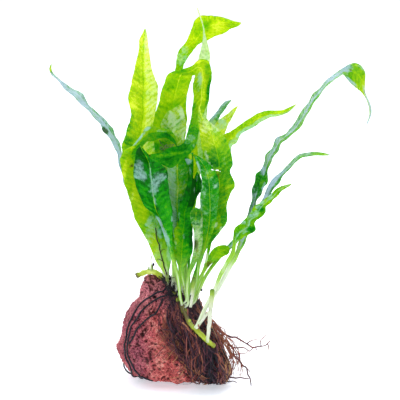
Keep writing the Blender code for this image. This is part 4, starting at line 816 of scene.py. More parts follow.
def build_fibres():
    rng = np.random.default_rng(5)
    many = 1.0
    inner, outer, top = [], [], []
    P, R, tone = flow_fibres(int(420 * many), rng, 0.42, 0.74, (0.00040, 0.00062), 54, points=15, wob=0.0016)
    inner.append(fibre_part(P, R, tone * 0.8 - 0.15))
    P, R, tone = flow_fibres(int(360 * many), rng, 0.62, 0.94, (0.00032, 0.00056), 46, points=19, wob=0.0024)
    inner.append(fibre_part(P, R, tone * 1.2 - 0.02))
    P, R, tone = flow_fibres(int(250 * many), rng, 0.86, 1.14, (0.00026, 0.00046), 40, points=22, wob=0.0032)
    outer.append(fibre_part(P, R, tone * 1.25 + 0.10, rim=0.18))
    # loose ones that cross the others at every angle
    n = int(400 * many)
    S0 = rng.uniform(0.5, 11.0, n)
    D0 = rng.uniform(-84, 60, n)
    u = np.linspace(0, 1, 18)[None, :]
    S = np.clip(S0[:, None] + rng.normal(-1.5, 3.2, n)[:, None] * u, 0.0, 11.6)
    D = np.clip(D0[:, None] + rng.normal(4, 24, n)[:, None] * u, left_limit(S) - 3, MAT_TO - 1)
    P = round_mat(S, np.maximum(D, MAT_FROM + 1), rng.uniform(0.85, 1.15, n)[:, None] + 0 * u, 0.0003)
    P = np.where((D < MAT_FROM + 1)[..., None], round_stone(S, np.radians(D), 0.0006 + 0 * D), P)
    P += wander(n, 18, 3.0, rng, 0.0016)
    P[..., 2] = np.maximum(P[..., 2], 0.0004)
    R = rng.uniform(0.00020, 0.00038, n)[:, None] * (1 - 0.5 * u)
    outer.append(fibre_part(P, R, rng.normal(0.34, 0.20, n), rim=0.12))
    # a few strands that wander left over the bare stone
    n = 96
    S0, S1 = rng.uniform(4.0, 11.6, n), rng.uniform(0.6, 6.0, n)
    S = S0[:, None] + (S1 - S0)[:, None] * u
    D = left_limit(S) - rng.uniform(-6, 16, n)[:, None] * np.interp(S, [0, 4, 7], [0.3, 0.6, 1.0]) + rng.normal(0, 6, n)[:, None] * u
    P = round_stone(S, np.radians(D), 0.0011 + 0 * D) + wander(n, 18, 3.5, rng, 0.0007)
    R = rng.uniform(0.00018, 0.00030, n)[:, None] * (1 - 0.5 * u)
    outer.append(fibre_part(P, R, rng.normal(0.16, 0.12, n)))
    # and a thinning fringe of them from the crown down the left side of the mass
    n = int(170 * many)
    S0, S1 = rng.uniform(6.5, 10.8, n), rng.uniform(2.0, 6.6, n)
    S = S0[:, None] + (S1 - S0)[:, None] * u
    D = left_limit(S) + rng.normal(4, 3.5, n)[:, None] - np.abs(rng.normal(5, 4, n))[:, None] * np.sin(u * math.pi * 0.62)
    P = round_stone(S, np.radians(D), 0.0008 + 0.0016 * rng.random(n)[:, None] + 0 * D) + wander(n, 18, 3.5, rng, 0.0010)
    R = rng.uniform(0.00018, 0.00036, n)[:, None] * (1 - 0.6 * u)
    outer.append(fibre_part(P, R, rng.normal(0.06, 0.15, n)))
    # loose curling ends that leave the left edge and cross the bare stone
    n = int(110 * many)
    S0 = rng.uniform(1.6, 9.4, n)
    fall = rng.normal(-1.2, 1.3, n)
    reach = np.abs(rng.normal(0, 16, n)) + 5
    S = np.clip(S0[:, None] + fall[:, None] * u + 0.5 * np.sin(u * rng.uniform(2, 7, n)[:, None]), 0.2, 11.4)
    D = left_limit(S0)[:, None] + 7 - reach[:, None] * u
    P = round_stone(S, np.radians(D), 0.0012 + 0.0012 * (1 - u) + 0 * D) + wander(n, 18, 3.5, rng, 0.0011)
    R = rng.uniform(0.00018, 0.00032, n)[:, None] * (1 - 0.5 * u)
    outer.append(fibre_part(P, R, np.where(rng.random(n) < 0.6, rng.normal(-0.14, 0.06, n), rng.normal(0.36, 0.10, n))))
    # tufts at the crown, round the feet of the stalks
    n = int(300 * many)
    base = np.vstack([even_path(STEM_LINE[:7], count=60), even_path(BACK_LINE, count=24)])
    k = rng.integers(0, len(base), n)
    start = base[k] + rng.normal(0, 0.0016, (n, 3))
    across = rng.normal(0.1, 1.0, n)
    across = np.where(k < 34, 0.15 + np.abs(across) * 0.7, across)
    head = unit(np.stack([across, rng.normal(-0.2, 0.9, n), rng.normal(-0.15, 0.5, n)], -1))
    length = rng.uniform(0.005, 0.014, n)
    u = np.linspace(0, 1, 11)[None, :, None]
    P = start[:, None] + head[:, None] * length[:, None, None] * u
    P[..., 2] -= (length[:, None] * 0.75 * u[..., 0] ** 2)
    P += wander(n, 11, 3.0, rng, 0.0010)
    R = rng.uniform(0.00018, 0.00034, n)[:, None] * (1 - 0.6 * u[..., 0])
    top.append(fibre_part(P, R, rng.normal(-0.09, 0.10, n)))
    # a dark mat in front of the stalks' feet at the left of the crown
    n = int(150 * many)
    base = even_path(STEM_LINE[1:5], count=60)
    k = rng.integers(0, 60, n)
    start = base[k] + rng.normal(0, 0.0012, (n, 3)) + np.array((0.0, -0.0030, 0.0006))
    across = rng.normal(0.0, 1.0, n)
    across = np.where(k < 30, 0.2 + np.abs(across) * 0.6, across)
    head = unit(np.stack([across, rng.normal(-0.25, 0.35, n), rng.normal(-0.1, 0.55, n)], -1))
    length = rng.uniform(0.004, 0.010, n)
    u = np.linspace(0, 1, 11)[None, :, None]
    P = start[:, None] + head[:, None] * length[:, None, None] * u
    P[..., 2] -= (length[:, None] * 0.5 * u[..., 0] ** 2)
    P += wander(n, 11, 3.0, rng, 0.0010)
    R = rng.uniform(0.00020, 0.00036, n)[:, None] * (1 - 0.6 * u[..., 0])
    top.append(fibre_part(P, R, rng.normal(-0.06, 0.11, n)))
    # roots under the front of the stem, hanging to the ground in bundles
    n = int(270 * many)
    line = even_path(STEM_LINE[5:], count=60)
    k = np.clip((rng.beta(1.3, 1.1, n) * 60).astype(int), 0, 59)
    start = line[k] + rng.normal(0, 0.0009, (n, 3))
    start[:, 2] -= 0.0024
    start[:, 1] += 0.0010
    bundle = rng.integers(0, 26, n)
    bu = rng.uniform(190, 234, 26)
    end = np.array([front(bu[b], 381.0, -40.0) for b in bundle])
    end[:, 0] += rng.normal(0, 0.0018, n)
    end[:, 1] = np.maximum(-0.0365 - 0.003 * np.sin((end[:, 0] - 0.0) / 0.045 * 2.0) + rng.normal(0, 0.0025, n), -0.0405)
    end[:, 2] = rng.uniform(0.0003, 0.007, n)
    u = np.linspace(0, 1, 16)[None, :, None]
    w = u ** 0.8
    P = start[:, None] * (1 - w) + end[:, None] * w
    P[..., 1] += -0.0045 * np.sin(u[..., 0] * math.pi) + 0.004 * u[..., 0] ** 3
    P[..., 0] += 0.0025 * np.sin(u[..., 0] * math.pi) * rng.normal(0, 1, n)[:, None]
    P += wander(n, 16, 3.5, rng, 0.0021)
    P[..., 2] = np.maximum(P[..., 2], 0.0003)
    R = rng.uniform(0.00026, 0.00052, n)[:, None] * (1 - 0.5 * u[..., 0])
    top.append(fibre_part(P, R, rng.normal(0.06, 0.20, n), rim=0.18))
    for name, parts in (("root_fibres_inner", inner), ("root_fibres_outer", outer), ("root_fibres_stem", top)):
        v, q, t, a = join_parts(parts)
        place(make_mesh(name, v, q, t, a, FIBRE), "root")


build_fibres()


# ---------------------------------------------------------------- loose roots
def strand_part(points, r0, r1, tone0, tone1=None, rng=RNG, step=0.0011, kink=0.00035, sides=6, is_world=False):
    pts = np.array(points if is_world else [front(*p) for p in points])
    path = even_path(pts, step)
    n = len(path)
    path = path + wander(1, n, 5.0, rng, kink)[0] * np.clip(np.minimum(np.arange(n), 3) / 3.0, 0, 1)[:, None]
    path = path + wander(1, n, 2.2, rng, kink * 0.35)[0]
    rad = (r0 + (r1 - r0) * np.linspace(0, 1, n)) * (1 + 0.14 * noise1(np.arange(n) * 0.45, int(abs(pts[0][0]) * 1e5) % 97))
    rad[-1] *= 0.45
    path[:, 2] = np.maximum(path[:, 2], rad * 1.02)
    v, q, t, strand, along = tubes(path[None], rad[None], sides, (0.12, 0.9, 0.4))
    tone1 = tone0 if tone1 is None else tone1
    tone = tone0 + (tone1 - tone0) * along + 0.07 * noise1(along * 23.0, 5)
    return v, q, t, {"tone": tone}


def loose(name, slot_name, nodes, strands, **more):
    parts = [strand_part(p, r0 * 0.001, r1 * 0.001, t0, t1, **more) for p, r0, r1, t0, t1 in strands]
    v, q, t, a = join_parts(parts)
    return place(make_mesh(name, v, q, t, a, FIBRE), slot_name, *nodes)


loose("root_branch", "root", ["root_branch_right"], [
    ([(219.0, 329.0, -29.5), (224.0, 333.0, -31.0), (231.0, 337.0, -32.5), (236.5, 337.7, -33.5), (241.0, 340.2, -34.5),
      (247.6, 344.0, -35.5), (254.0, 346.3, -36.5), (259.6, 346.4, -37.2), (265.0, 344.4, -37.8), (271.0, 340.3, -38.5)], 0.86, 0.42, 0.46, 0.52),
    ([(247.0, 343.6, -35.4), (250.4, 341.2, -35.8), (254.4, 339.2, -36.2), (258.8, 339.4, -36.6)], 0.44, 0.27, 0.48, 0.66),
    ([(260.8, 346.2, -37.3), (261.2, 341.8, -37.6), (264.0, 337.4, -37.8), (268.2, 333.6, -38.2)], 0.41, 0.26, 0.44, 0.70),
    ([(266.6, 343.6, -38.0), (268.6, 345.2, -38.4), (269.2, 348.4, -38.8), (267.6, 351.2, -39.0)], 0.41, 0.26, 0.44, 0.66),
    ([(255.4, 346.4, -36.7), (256.4, 349.4, -37.2), (258.0, 352.0, -37.5)], 0.38, 0.24, 0.44, 0.61),
    ([(236.0, 337.8, -33.4), (239.0, 334.6, -33.8), (242.2, 333.4, -34.4)], 0.29, 0.20, 0.44, 0.71)])
loose("root_loop", "root", ["root_loop_right"], [
    ([(224.5, 341.0, -28.0), (229.0, 344.5, -28.5), (234.0, 347.0, -29.0), (239.0, 347.2, -29.5), (245.0, 348.0, -30.5),
      (249.8, 351.4, -31.5), (252.2, 347.0, -33.0)], 0.64, 0.33, 0.42, 0.56),
    ([(234.0, 354.6, -29.0), (239.2, 353.6, -29.8), (244.8, 353.0, -30.6), (249.5, 350.8, -31.4)], 0.44, 0.27, 0.44, 0.66)])
loose("root_low", "root", ["root_low_right"], [
    ([(226.0, 346.0, -25.5), (231.5, 352.5, -26.5), (238.0, 359.0, -29.0), (242.5, 364.8, -33.0), (246.6, 368.2, -38.0),
      (247.8, 374.0, -43.0), (250.4, 379.0, -48.0), (251.2, 385.6, -52.5)], 0.81, 0.45, 0.40, 0.38),
    ([(246.8, 368.6, -38.4), (249.6, 371.0, -40.4), (250.6, 373.4, -42.6)], 0.35, 0.24, 0.44, 0.56)])
loose("root_ground", "root", ["root_floor"], [
    ([(230.0, 377.2, -9.5), (236.0, 377.6, -10.5), (241.5, 378.0, -12.0), (245.5, 378.2, -13.5), (250.0, 378.6, -15.0)], 0.67, 0.36, 0.39, 0.48),
    ([(226.0, 381.5, -24.0), (232.0, 381.2, -25.0), (238.0, 382.4, -28.5)], 0.49, 0.30, 0.29, 0.46)])
def web(count, seed):
    """Loose roots that leave the stem's right side and sweep outwards to the ground with gaps between."""
    rng = np.random.default_rng(seed)
    out = []
    for k in range(count):
        a = rng.random()
        v0 = 316 + 22 * rng.random()
        u0 = np.interp(v0, [312, 324, 338], [205, 212, 220])
        reach = rng.uniform(1.5, 13.0)
        v1 = rng.uniform(362, 379)
        y0, y1 = -38 + 10 * a, -38 + 16 * rng.random()
        pts = []
        for f in np.linspace(0, 1, 7):
            v = v0 + (v1 - v0) * f
            edge = np.interp(v, [312, 324, 333, 344, 355, 365, 374, 380], [204, 212, 218, 223, 227, 231, 232, 229])
            pts.append((edge + (u0 - 208) * 0 + reach * math.sin(min(1.0, f * 1.25) * math.pi * 0.62) + rng.normal(0, 0.9), v,
                        y0 + (y1 - y0) * f + rng.normal(0, 0.6)))
        out.append((pts, rng.uniform(0.24, 0.44), rng.uniform(0.12, 0.22), 0.52 + 0.26 * rng.random(), 0.42 + 0.24 * rng.random()))
    return out


loose("root_outer", "root", ["root_outer_right"], web(15, 12) + [
    ([(211.0, 317.0, -36.0), (214.5, 322.2, -40.0), (221.0, 329.6, -40.2), (228.2, 337.2, -39.6), (233.4, 343.4, -39.0),
      (238.0, 352.6, -38.0), (239.4, 359.6, -37.0), (236.0, 364.6, -35.5), (233.0, 371.0, -33.0)], 0.46, 0.26, 0.66, 0.5),
    ([(211.0, 322.0, -38.5), (214.0, 328.0, -40.5), (219.4, 337.0, -40.8), (223.8, 346.8, -40.2), (228.6, 356.4, -39.2),
      (231.4, 364.0, -37.8), (231.0, 372.0, -36.0)], 0.36, 0.22, 0.6, 0.45),
    ([(212.6, 319.4, -33.0), (218.2, 324.8, -36.0), (226.0, 334.0, -37.0), (230.6, 343.0, -37.0), (233.6, 351.0, -36.0),
      (236.4, 361.0, -34.0), (237.6, 372.0, -30.0)], 0.34, 0.2, 0.64, 0.55),
    ([(219.0, 334.0, -34.0), (224.6, 341.6, -36.0), (229.0, 349.4, -36.4), (229.8, 357.0, -35.6), (227.0, 366.0, -34.0)], 0.32, 0.2, 0.7, 0.5),
    ([(226.2, 337.0, -37.6), (226.0, 345.0, -37.8), (229.8, 352.8, -37.4), (236.8, 358.8, -36.6)], 0.26, 0.18, 0.72, 0.6),
    ([(240.8, 339.6, -34.2), (239.2, 345.4, -34.6), (238.6, 352.4, -35.6), (240.4, 360.0, -36.0), (243.2, 365.0, -34.5)], 0.26, 0.16, 0.62, 0.62),
    ([(215.8, 326.0, -42.0), (217.2, 335.0, -42.6), (221.4, 345.0, -42.4), (222.0, 356.0, -41.6), (226.4, 368.0, -40.4)], 0.3, 0.18, 0.6, 0.42),
    ([(233.2, 343.6, -38.8), (231.8, 350.0, -38.6), (233.8, 357.6, -38.0), (237.8, 363.2, -36.6), (238.6, 370.2, -34.0)], 0.24, 0.15, 0.66, 0.6),
    ([(226.4, 343.0, -37.0), (230.2, 352.4, -37.4), (232.4, 360.0, -37.2), (232.6, 367.0, -36.4), (230.4, 374.6, -35.6)], 0.34, 0.22, 0.7, 0.5),
    ([(224.0, 344.0, -39.6), (228.8, 353.4, -39.0), (231.0, 361.0, -38.4), (233.6, 368.0, -37.0), (233.8, 376.0, -35.0)], 0.30, 0.2, 0.66, 0.5),
    ([(228.0, 347.0, -34.4), (231.8, 355.4, -34.4), (234.2, 362.6, -34.0), (232.0, 370.4, -33.0), (228.6, 377.6, -32.6)], 0.32, 0.22, 0.6, 0.46),
    ([(231.0, 356.0, -36.0), (235.0, 361.6, -35.0), (240.6, 363.6, -34.6), (244.0, 368.6, -36.0)], 0.22, 0.12, 0.7, 0.7),
    ([(213.4, 321.0, -30.0), (221.0, 330.0, -33.0), (229.6, 338.4, -34.0), (236.4, 347.4, -33.4), (239.6, 357.0, -31.6),
      (241.2, 366.0, -29.0), (240.0, 375.0, -27.0)], 0.28, 0.16, 0.58, 0.5)])
loose("root_thin", "root", ["root_upper_thin"], [
    ([(210.0, 314.0, -28.0), (215.5, 320.0, -29.0), (219.5, 324.4, -29.0), (226.0, 327.4, -29.5), (231.5, 328.6, -30.0),
      (237.5, 330.6, -31.0)], 0.24, 0.12, 0.62, 0.86),
    ([(221.0, 332.6, -29.0), (226.4, 332.0, -29.3), (229.2, 330.2, -29.7), (232.4, 329.4, -30.2)], 0.16, 0.1, 0.7, 0.85),
    ([(203.8, 313.6, -33.0), (202.4, 308.4, -33.4), (201.6, 303.4, -33.4), (199.6, 298.6, -33.0), (197.4, 295.6, -32.6)], 0.26, 0.2, 0.66, 0.6),
    ([(204.4, 313.0, -34.6), (204.8, 308.6, -35.0), (203.4, 304.0, -34.6), (204.4, 300.0, -34.6), (203.4, 296.2, -34.7),
      (202.6, 293.2, -34.6), (201.6, 290.2, -34.6)], 0.16, 0.08, 0.72, 0.8)])


# ---------------------------------------------------------------- the creeping stem
def stem_material():
    t = Tree("creeping_stem")
    p = t.spot()
    tone = t.attr("tone")
    scales = t.attr("scale")
    speck = t.noise(p, 900.0, 2.0, 0.6)
    base = t.ramp(t.maths("ADD", tone, t.maths("MULTIPLY", t.maths("SUBTRACT", speck, 0.5), 0.25)),
                  [(0.0, srgb(40, 28, 14)), (0.25, srgb(92, 80, 22)), (0.5, srgb(150, 164, 16)), (0.75, srgb(184, 204, 40)),
                   (1.0, srgb(222, 232, 120))])
    base = t.mix(t.fit(scales, 0.35, 0.8, 0.0, 0.9), base, srgb(62, 38, 22))
    normal = t.bump(t.noise(p, 700.0, 2.0, 0.6), 0.35, 0.0004)
    sh = t.principled(Base_Color=base, Roughness=0.42, Normal=normal)
    sh.inputs["Coat Weight"].default_value = 0.25
    sh.inputs["Coat Roughness"].default_value = 0.2
    return t.finish(sh.outputs[0])


STEM_MAT = stem_material()


def stem_piece(name, points, r0, r1, tones, node, scales=0.4, seed=1, blunt=(False, True)):
    """A creeping stem: knobbly, with leaf scars, brown scales and a round growing end."""
    path = even_path([front(*q) for q in points], 0.00045)
    n, sides = len(path), 28
    x = np.linspace(0, 1, n)
    run = np.concatenate([[0], np.cumsum(np.linalg.norm(np.diff(path, axis=0), axis=1))])
    rad = r0 + (r1 - r0) * x
    rad = rad * (1 + 0.07 * np.sin(run / 0.0042 * 2 * math.pi + seed) + 0.06 * noise1(run * 380, seed))
    for end, is_round in ((0, blunt[0]), (1, blunt[1])):
        far = run if end == 0 else run[-1] - run
        reach = r0 if end == 0 else r1
        if is_round:
            rad = rad * np.sqrt(np.clip(1 - np.clip(1 - far / reach, 0, 1) ** 2, 0.02, 1))
        else:
            rad = rad * (0.86 + 0.14 * np.clip(far / 0.0008, 0, 1))
    v, q, t, strand, along = tubes(path[None], rad[None], sides, (0.1, 0.35, 1.0))
    ang = np.tile(np.arange(sides) / sides * 2 * math.pi, n)
    mid = np.repeat(path, sides, axis=0)
    out = unit(v - mid)
    bumps = fbm(v * 700, 2, seed) * 0.00022 + fbm(v * 300, 2, seed + 5) * 0.00030
    scale = smooth(0.05, 0.45, fbm(np.stack([ang * 2.6, along * n * 0.024, ang * 0 + seed], -1) + 4, 2, seed + 9)) * scales
    bumps += 0.00022 * scale
    v = v + out * bumps[:, None]
    tone = np.interp(along, np.linspace(0, 1, len(tones)), tones) + 0.08 * fbm(v * 260, 2, seed + 2)
    obj = make_mesh(name, v, q, t, {"tone": tone, "scale": scale}, STEM_MAT)
    return place(obj, "stem", node)


stem_piece("stem_left", [(163.4, 277.6, -10.4), (160.0, 275.4, -9.9), (156.0, 272.6, -10.6), (152.0, 271.6, -11.0), (146.5, 271.9, -11.4),
                         (140.5, 274.0, -11.8), (135.9, 276.0, -12.0)],
           0.0021, 0.0018, [0.55, 0.66, 0.86, 0.95, 0.80, 0.66, 0.10], "rhizome_left", 0.35, 2, (False, False))
stem_piece("stem_main", [(164.3, 276.8, -10.9), (169.0, 283.5, -19.5), (173.5, 291.0, -26.5), (179.0, 300.0, -32.5), (183.3, 308.8, -38.0),
                         (184.6, 312.4, -40.6)],
           0.0021, 0.0022, [0.5, 0.2, 0.1, 0.45, 0.3, 0.35], "rhizome_main", 0.9, 3, (False, False))
stem_piece("stem_back", [(181.0, 294.8, -28.4), (187.5, 298.0, -24.8), (192.0, 300.4, -22.6), (195.8, 303.2, -20.4)],
           0.0019, 0.0017, [0.2, 0.15, 0.2, 0.3], "rhizome_back", 0.9, 4)
stem_piece("stem_front", [(184.2, 311.6, -40.4), (188.0, 320.5, -46.5), (192.5, 326.5, -49.5), (198.0, 331.5, -51.0),
                          (204.0, 337.5, -51.5), (210.0, 343.0, -51.0), (215.2, 346.6, -49.8)],
           0.0014, 0.0019, [0.22, 0.24, 0.42, 0.50, 0.60, 0.72, 0.30], "rhizome_front", 0.75, 5)

# ---------------------------------------------------------------- leaf materials
def leaf_material(name, through, deep, rough, coat, spec, vein=0.35, sheen=(186, 222, 214)):
    """A thin, wet, leathery blade: through is how much of the light passes into the blade,
    deep darkens or lightens the whole colour run."""
    t = Tree(name)
    fresh_and_lit, stalk, painted_sheen, brown = t.attr("fresh_and_lit"), t.attr("stalk"), t.attr("painted_sheen"), t.attr("brown")
    acr, run, rib = t.attr("acr"), t.attr("run"), t.attr("rib")
    p = t.spot()
    # the vein net: side veins that leave the midrib forwards, with a net of small cells between
    away = t.maths("ABSOLUTE", acr)
    net = t.xyz(t.maths("MULTIPLY", acr, 1000.0), t.maths("MULTIPLY", t.maths("SUBTRACT", run, t.maths("MULTIPLY", away, 0.85)), 1000.0), 0.0)
    cells = t.cells(net, 0.42, "DISTANCE_TO_EDGE", 0.9)
    veins = t.fit(cells, 0.0, 0.11, 1.0, 0.0)
    small = t.fit(t.cells(net, 1.15, "DISTANCE_TO_EDGE", 1.0), 0.0, 0.16, 1.0, 0.0)
    broad = t.noise(p, 90.0, 3.0, 0.6)
    fine = t.noise(p, 480.0, 3.0, 0.65)
    # painted shade: light and dark bars that lean forwards from the midrib along the side veins, the shading of the
    # puckers between them
    lean = t.maths("SUBTRACT", run, t.maths("MULTIPLY", away, 0.75))
    lean = t.maths("ADD", t.maths("MULTIPLY", lean, 2 * math.pi / 0.0046), t.maths("MULTIPLY", t.noise(p, 120.0, 2.0, 0.5), 9.0))
    quilt_shade = t.maths("MULTIPLY", t.maths("SINE", lean), t.fit(away, 0.0005, 0.0025))
    level = t.maths("ADD", fresh_and_lit, t.maths("MULTIPLY", t.maths("SUBTRACT", broad, 0.5), 0.62))
    level = t.maths("ADD", level, t.maths("MULTIPLY", t.maths("SUBTRACT", fine, 0.5), 0.50))
    level = t.maths("ADD", level, t.maths("MULTIPLY", quilt_shade, vein * 0.16))
    level = t.maths("SUBTRACT", level, t.maths("MULTIPLY", veins, vein * 0.45))
    level = t.maths("SUBTRACT", level, t.maths("MULTIPLY", small, vein * 0.22))
    level = t.maths("ADD", level, t.maths("MULTIPLY", t.maths("MULTIPLY", rib, t.fit(away, 0.00022, 0.00062, 1.0, 0.0)), 1.0), clamp=True)

    def shade(c):
        return tuple(x * deep for x in srgb(*c))

    base = t.ramp(level, [(0.0, shade((0, 92, 0))), (0.18, shade((4, 150, 0))), (0.36, shade((48, 172, 0))),
                          (0.56, shade((118, 188, 0))), (0.74, shade((162, 204, 2))), (0.88, shade((194, 220, 24))),
                          (1.0, shade((214, 236, 74)))])
    glow = t.ramp(level, [(0.0, srgb(10, 110, 0)), (0.18, srgb(24, 146, 0)), (0.36, srgb(100, 190, 0)),
                          (0.56, srgb(172, 220, 0)), (0.74, srgb(212, 236, 2)), (0.88, srgb(234, 246, 40)),
                          (1.0, srgb(246, 250, 110))])
    # painted sheen: the wet blade's highlights and reflections painted into its colour, nearly whole inside their
    # patches, ragged at their edges, broken by the vein net
    dapple = t.maths("ADD", t.maths("MULTIPLY", t.noise(p, 760.0, 3.0, 0.75), 0.62), t.maths("MULTIPLY", t.noise(p, 210.0, 2.0, 0.5), 0.38))
    dapple = t.maths("ADD", t.maths("MULTIPLY", t.maths("SUBTRACT", dapple, 0.5), 1.7), t.maths("MULTIPLY", quilt_shade, 0.09))
    dapple = t.maths("SUBTRACT", dapple, t.maths("MULTIPLY", veins, 0.12))
    blue = t.maths("MULTIPLY", t.fit(t.maths("ADD", painted_sheen, dapple), 0.10, 1.00, 0.0, 0.92), t.fit(painted_sheen, 0.0, 0.3))
    base = t.mix(blue, base, srgb(*sheen))
    glow = t.mix(t.maths("MULTIPLY", blue, 0.85), glow, srgb(*(min(255, c + 26) for c in sheen)))
    base = t.mix(stalk, base, srgb(206, 238, 132))
    glow = t.mix(stalk, glow, srgb(226, 250, 150))
    white = t.fit(stalk, 0.62, 0.96)
    base = t.mix(white, base, srgb(252, 255, 242))
    glow = t.mix(white, glow, srgb(248, 255, 236))
    dead = t.maths("MULTIPLY", brown, t.fit(t.noise(p, 800.0, 2.0, 0.7), 0.30, 0.56, 0.35, 1.0), clamp=True)
    base = t.mix(dead, base, srgb(74, 38, 24))
    glow = t.mix(dead, glow, srgb(96, 52, 20))
    height = t.maths("SUBTRACT", t.maths("MULTIPLY", t.noise(p, 330.0, 2.0, 0.5), 0.8), t.maths("MULTIPLY", veins, 0.35))
    height = t.maths("SUBTRACT", height, t.maths("MULTIPLY", small, 0.12))
    normal = t.bump(height, 0.60, 0.0008)
    sh = t.principled(Base_Color=base, Roughness=t.fit(t.noise(p, 130.0, 2.0, 0.5), 0.3, 0.7, rough - 0.05, rough + 0.10), Normal=normal)
    sh.inputs["Specular IOR Level"].default_value = spec
    sh.inputs["Coat Weight"].default_value = coat
    sh.inputs["Coat Roughness"].default_value = 0.12
    tr = t.nt.nodes.new("ShaderNodeBsdfTranslucent")
    t.nt.links.new(glow, tr.inputs["Color"])
    m = t.nt.nodes.new("ShaderNodeMixShader")
    m.inputs[0].default_value = through
    t.nt.links.new(sh.outputs[0], m.inputs[1])
    t.nt.links.new(tr.outputs[0], m.inputs[2])
    return t.finish(m.outputs[0])


# lit, mid and dark are lit and shaded copies of one blade, painted light and shade: from lit to dark they pass less
# light into the blade and grow glossier; pale and steel differ from each other mostly in the colour of their painted
# sheen
LEAF_MATS = {
    "lit": leaf_material("frond_blade_lit", 0.56, 1.03, 0.36, 0.06, 0.10, vein=0.24),
    "mid": leaf_material("frond_blade_green", 0.44, 1.12, 0.30, 0.06, 0.08, sheen=(184, 222, 202), vein=0.26),
    "dark": leaf_material("frond_blade_dark", 0.28, 1.10, 0.24, 0.10, 0.08, sheen=(170, 210, 206), vein=0.30),
    "pale": leaf_material("frond_blade_pale", 0.55, 1.0, 0.34, 0.10, 0.2, sheen=(222, 244, 208)),
    "steel": leaf_material("frond_blade_steel", 0.45, 1.0, 0.32, 0.10, 0.2, sheen=(188, 206, 226)),
}


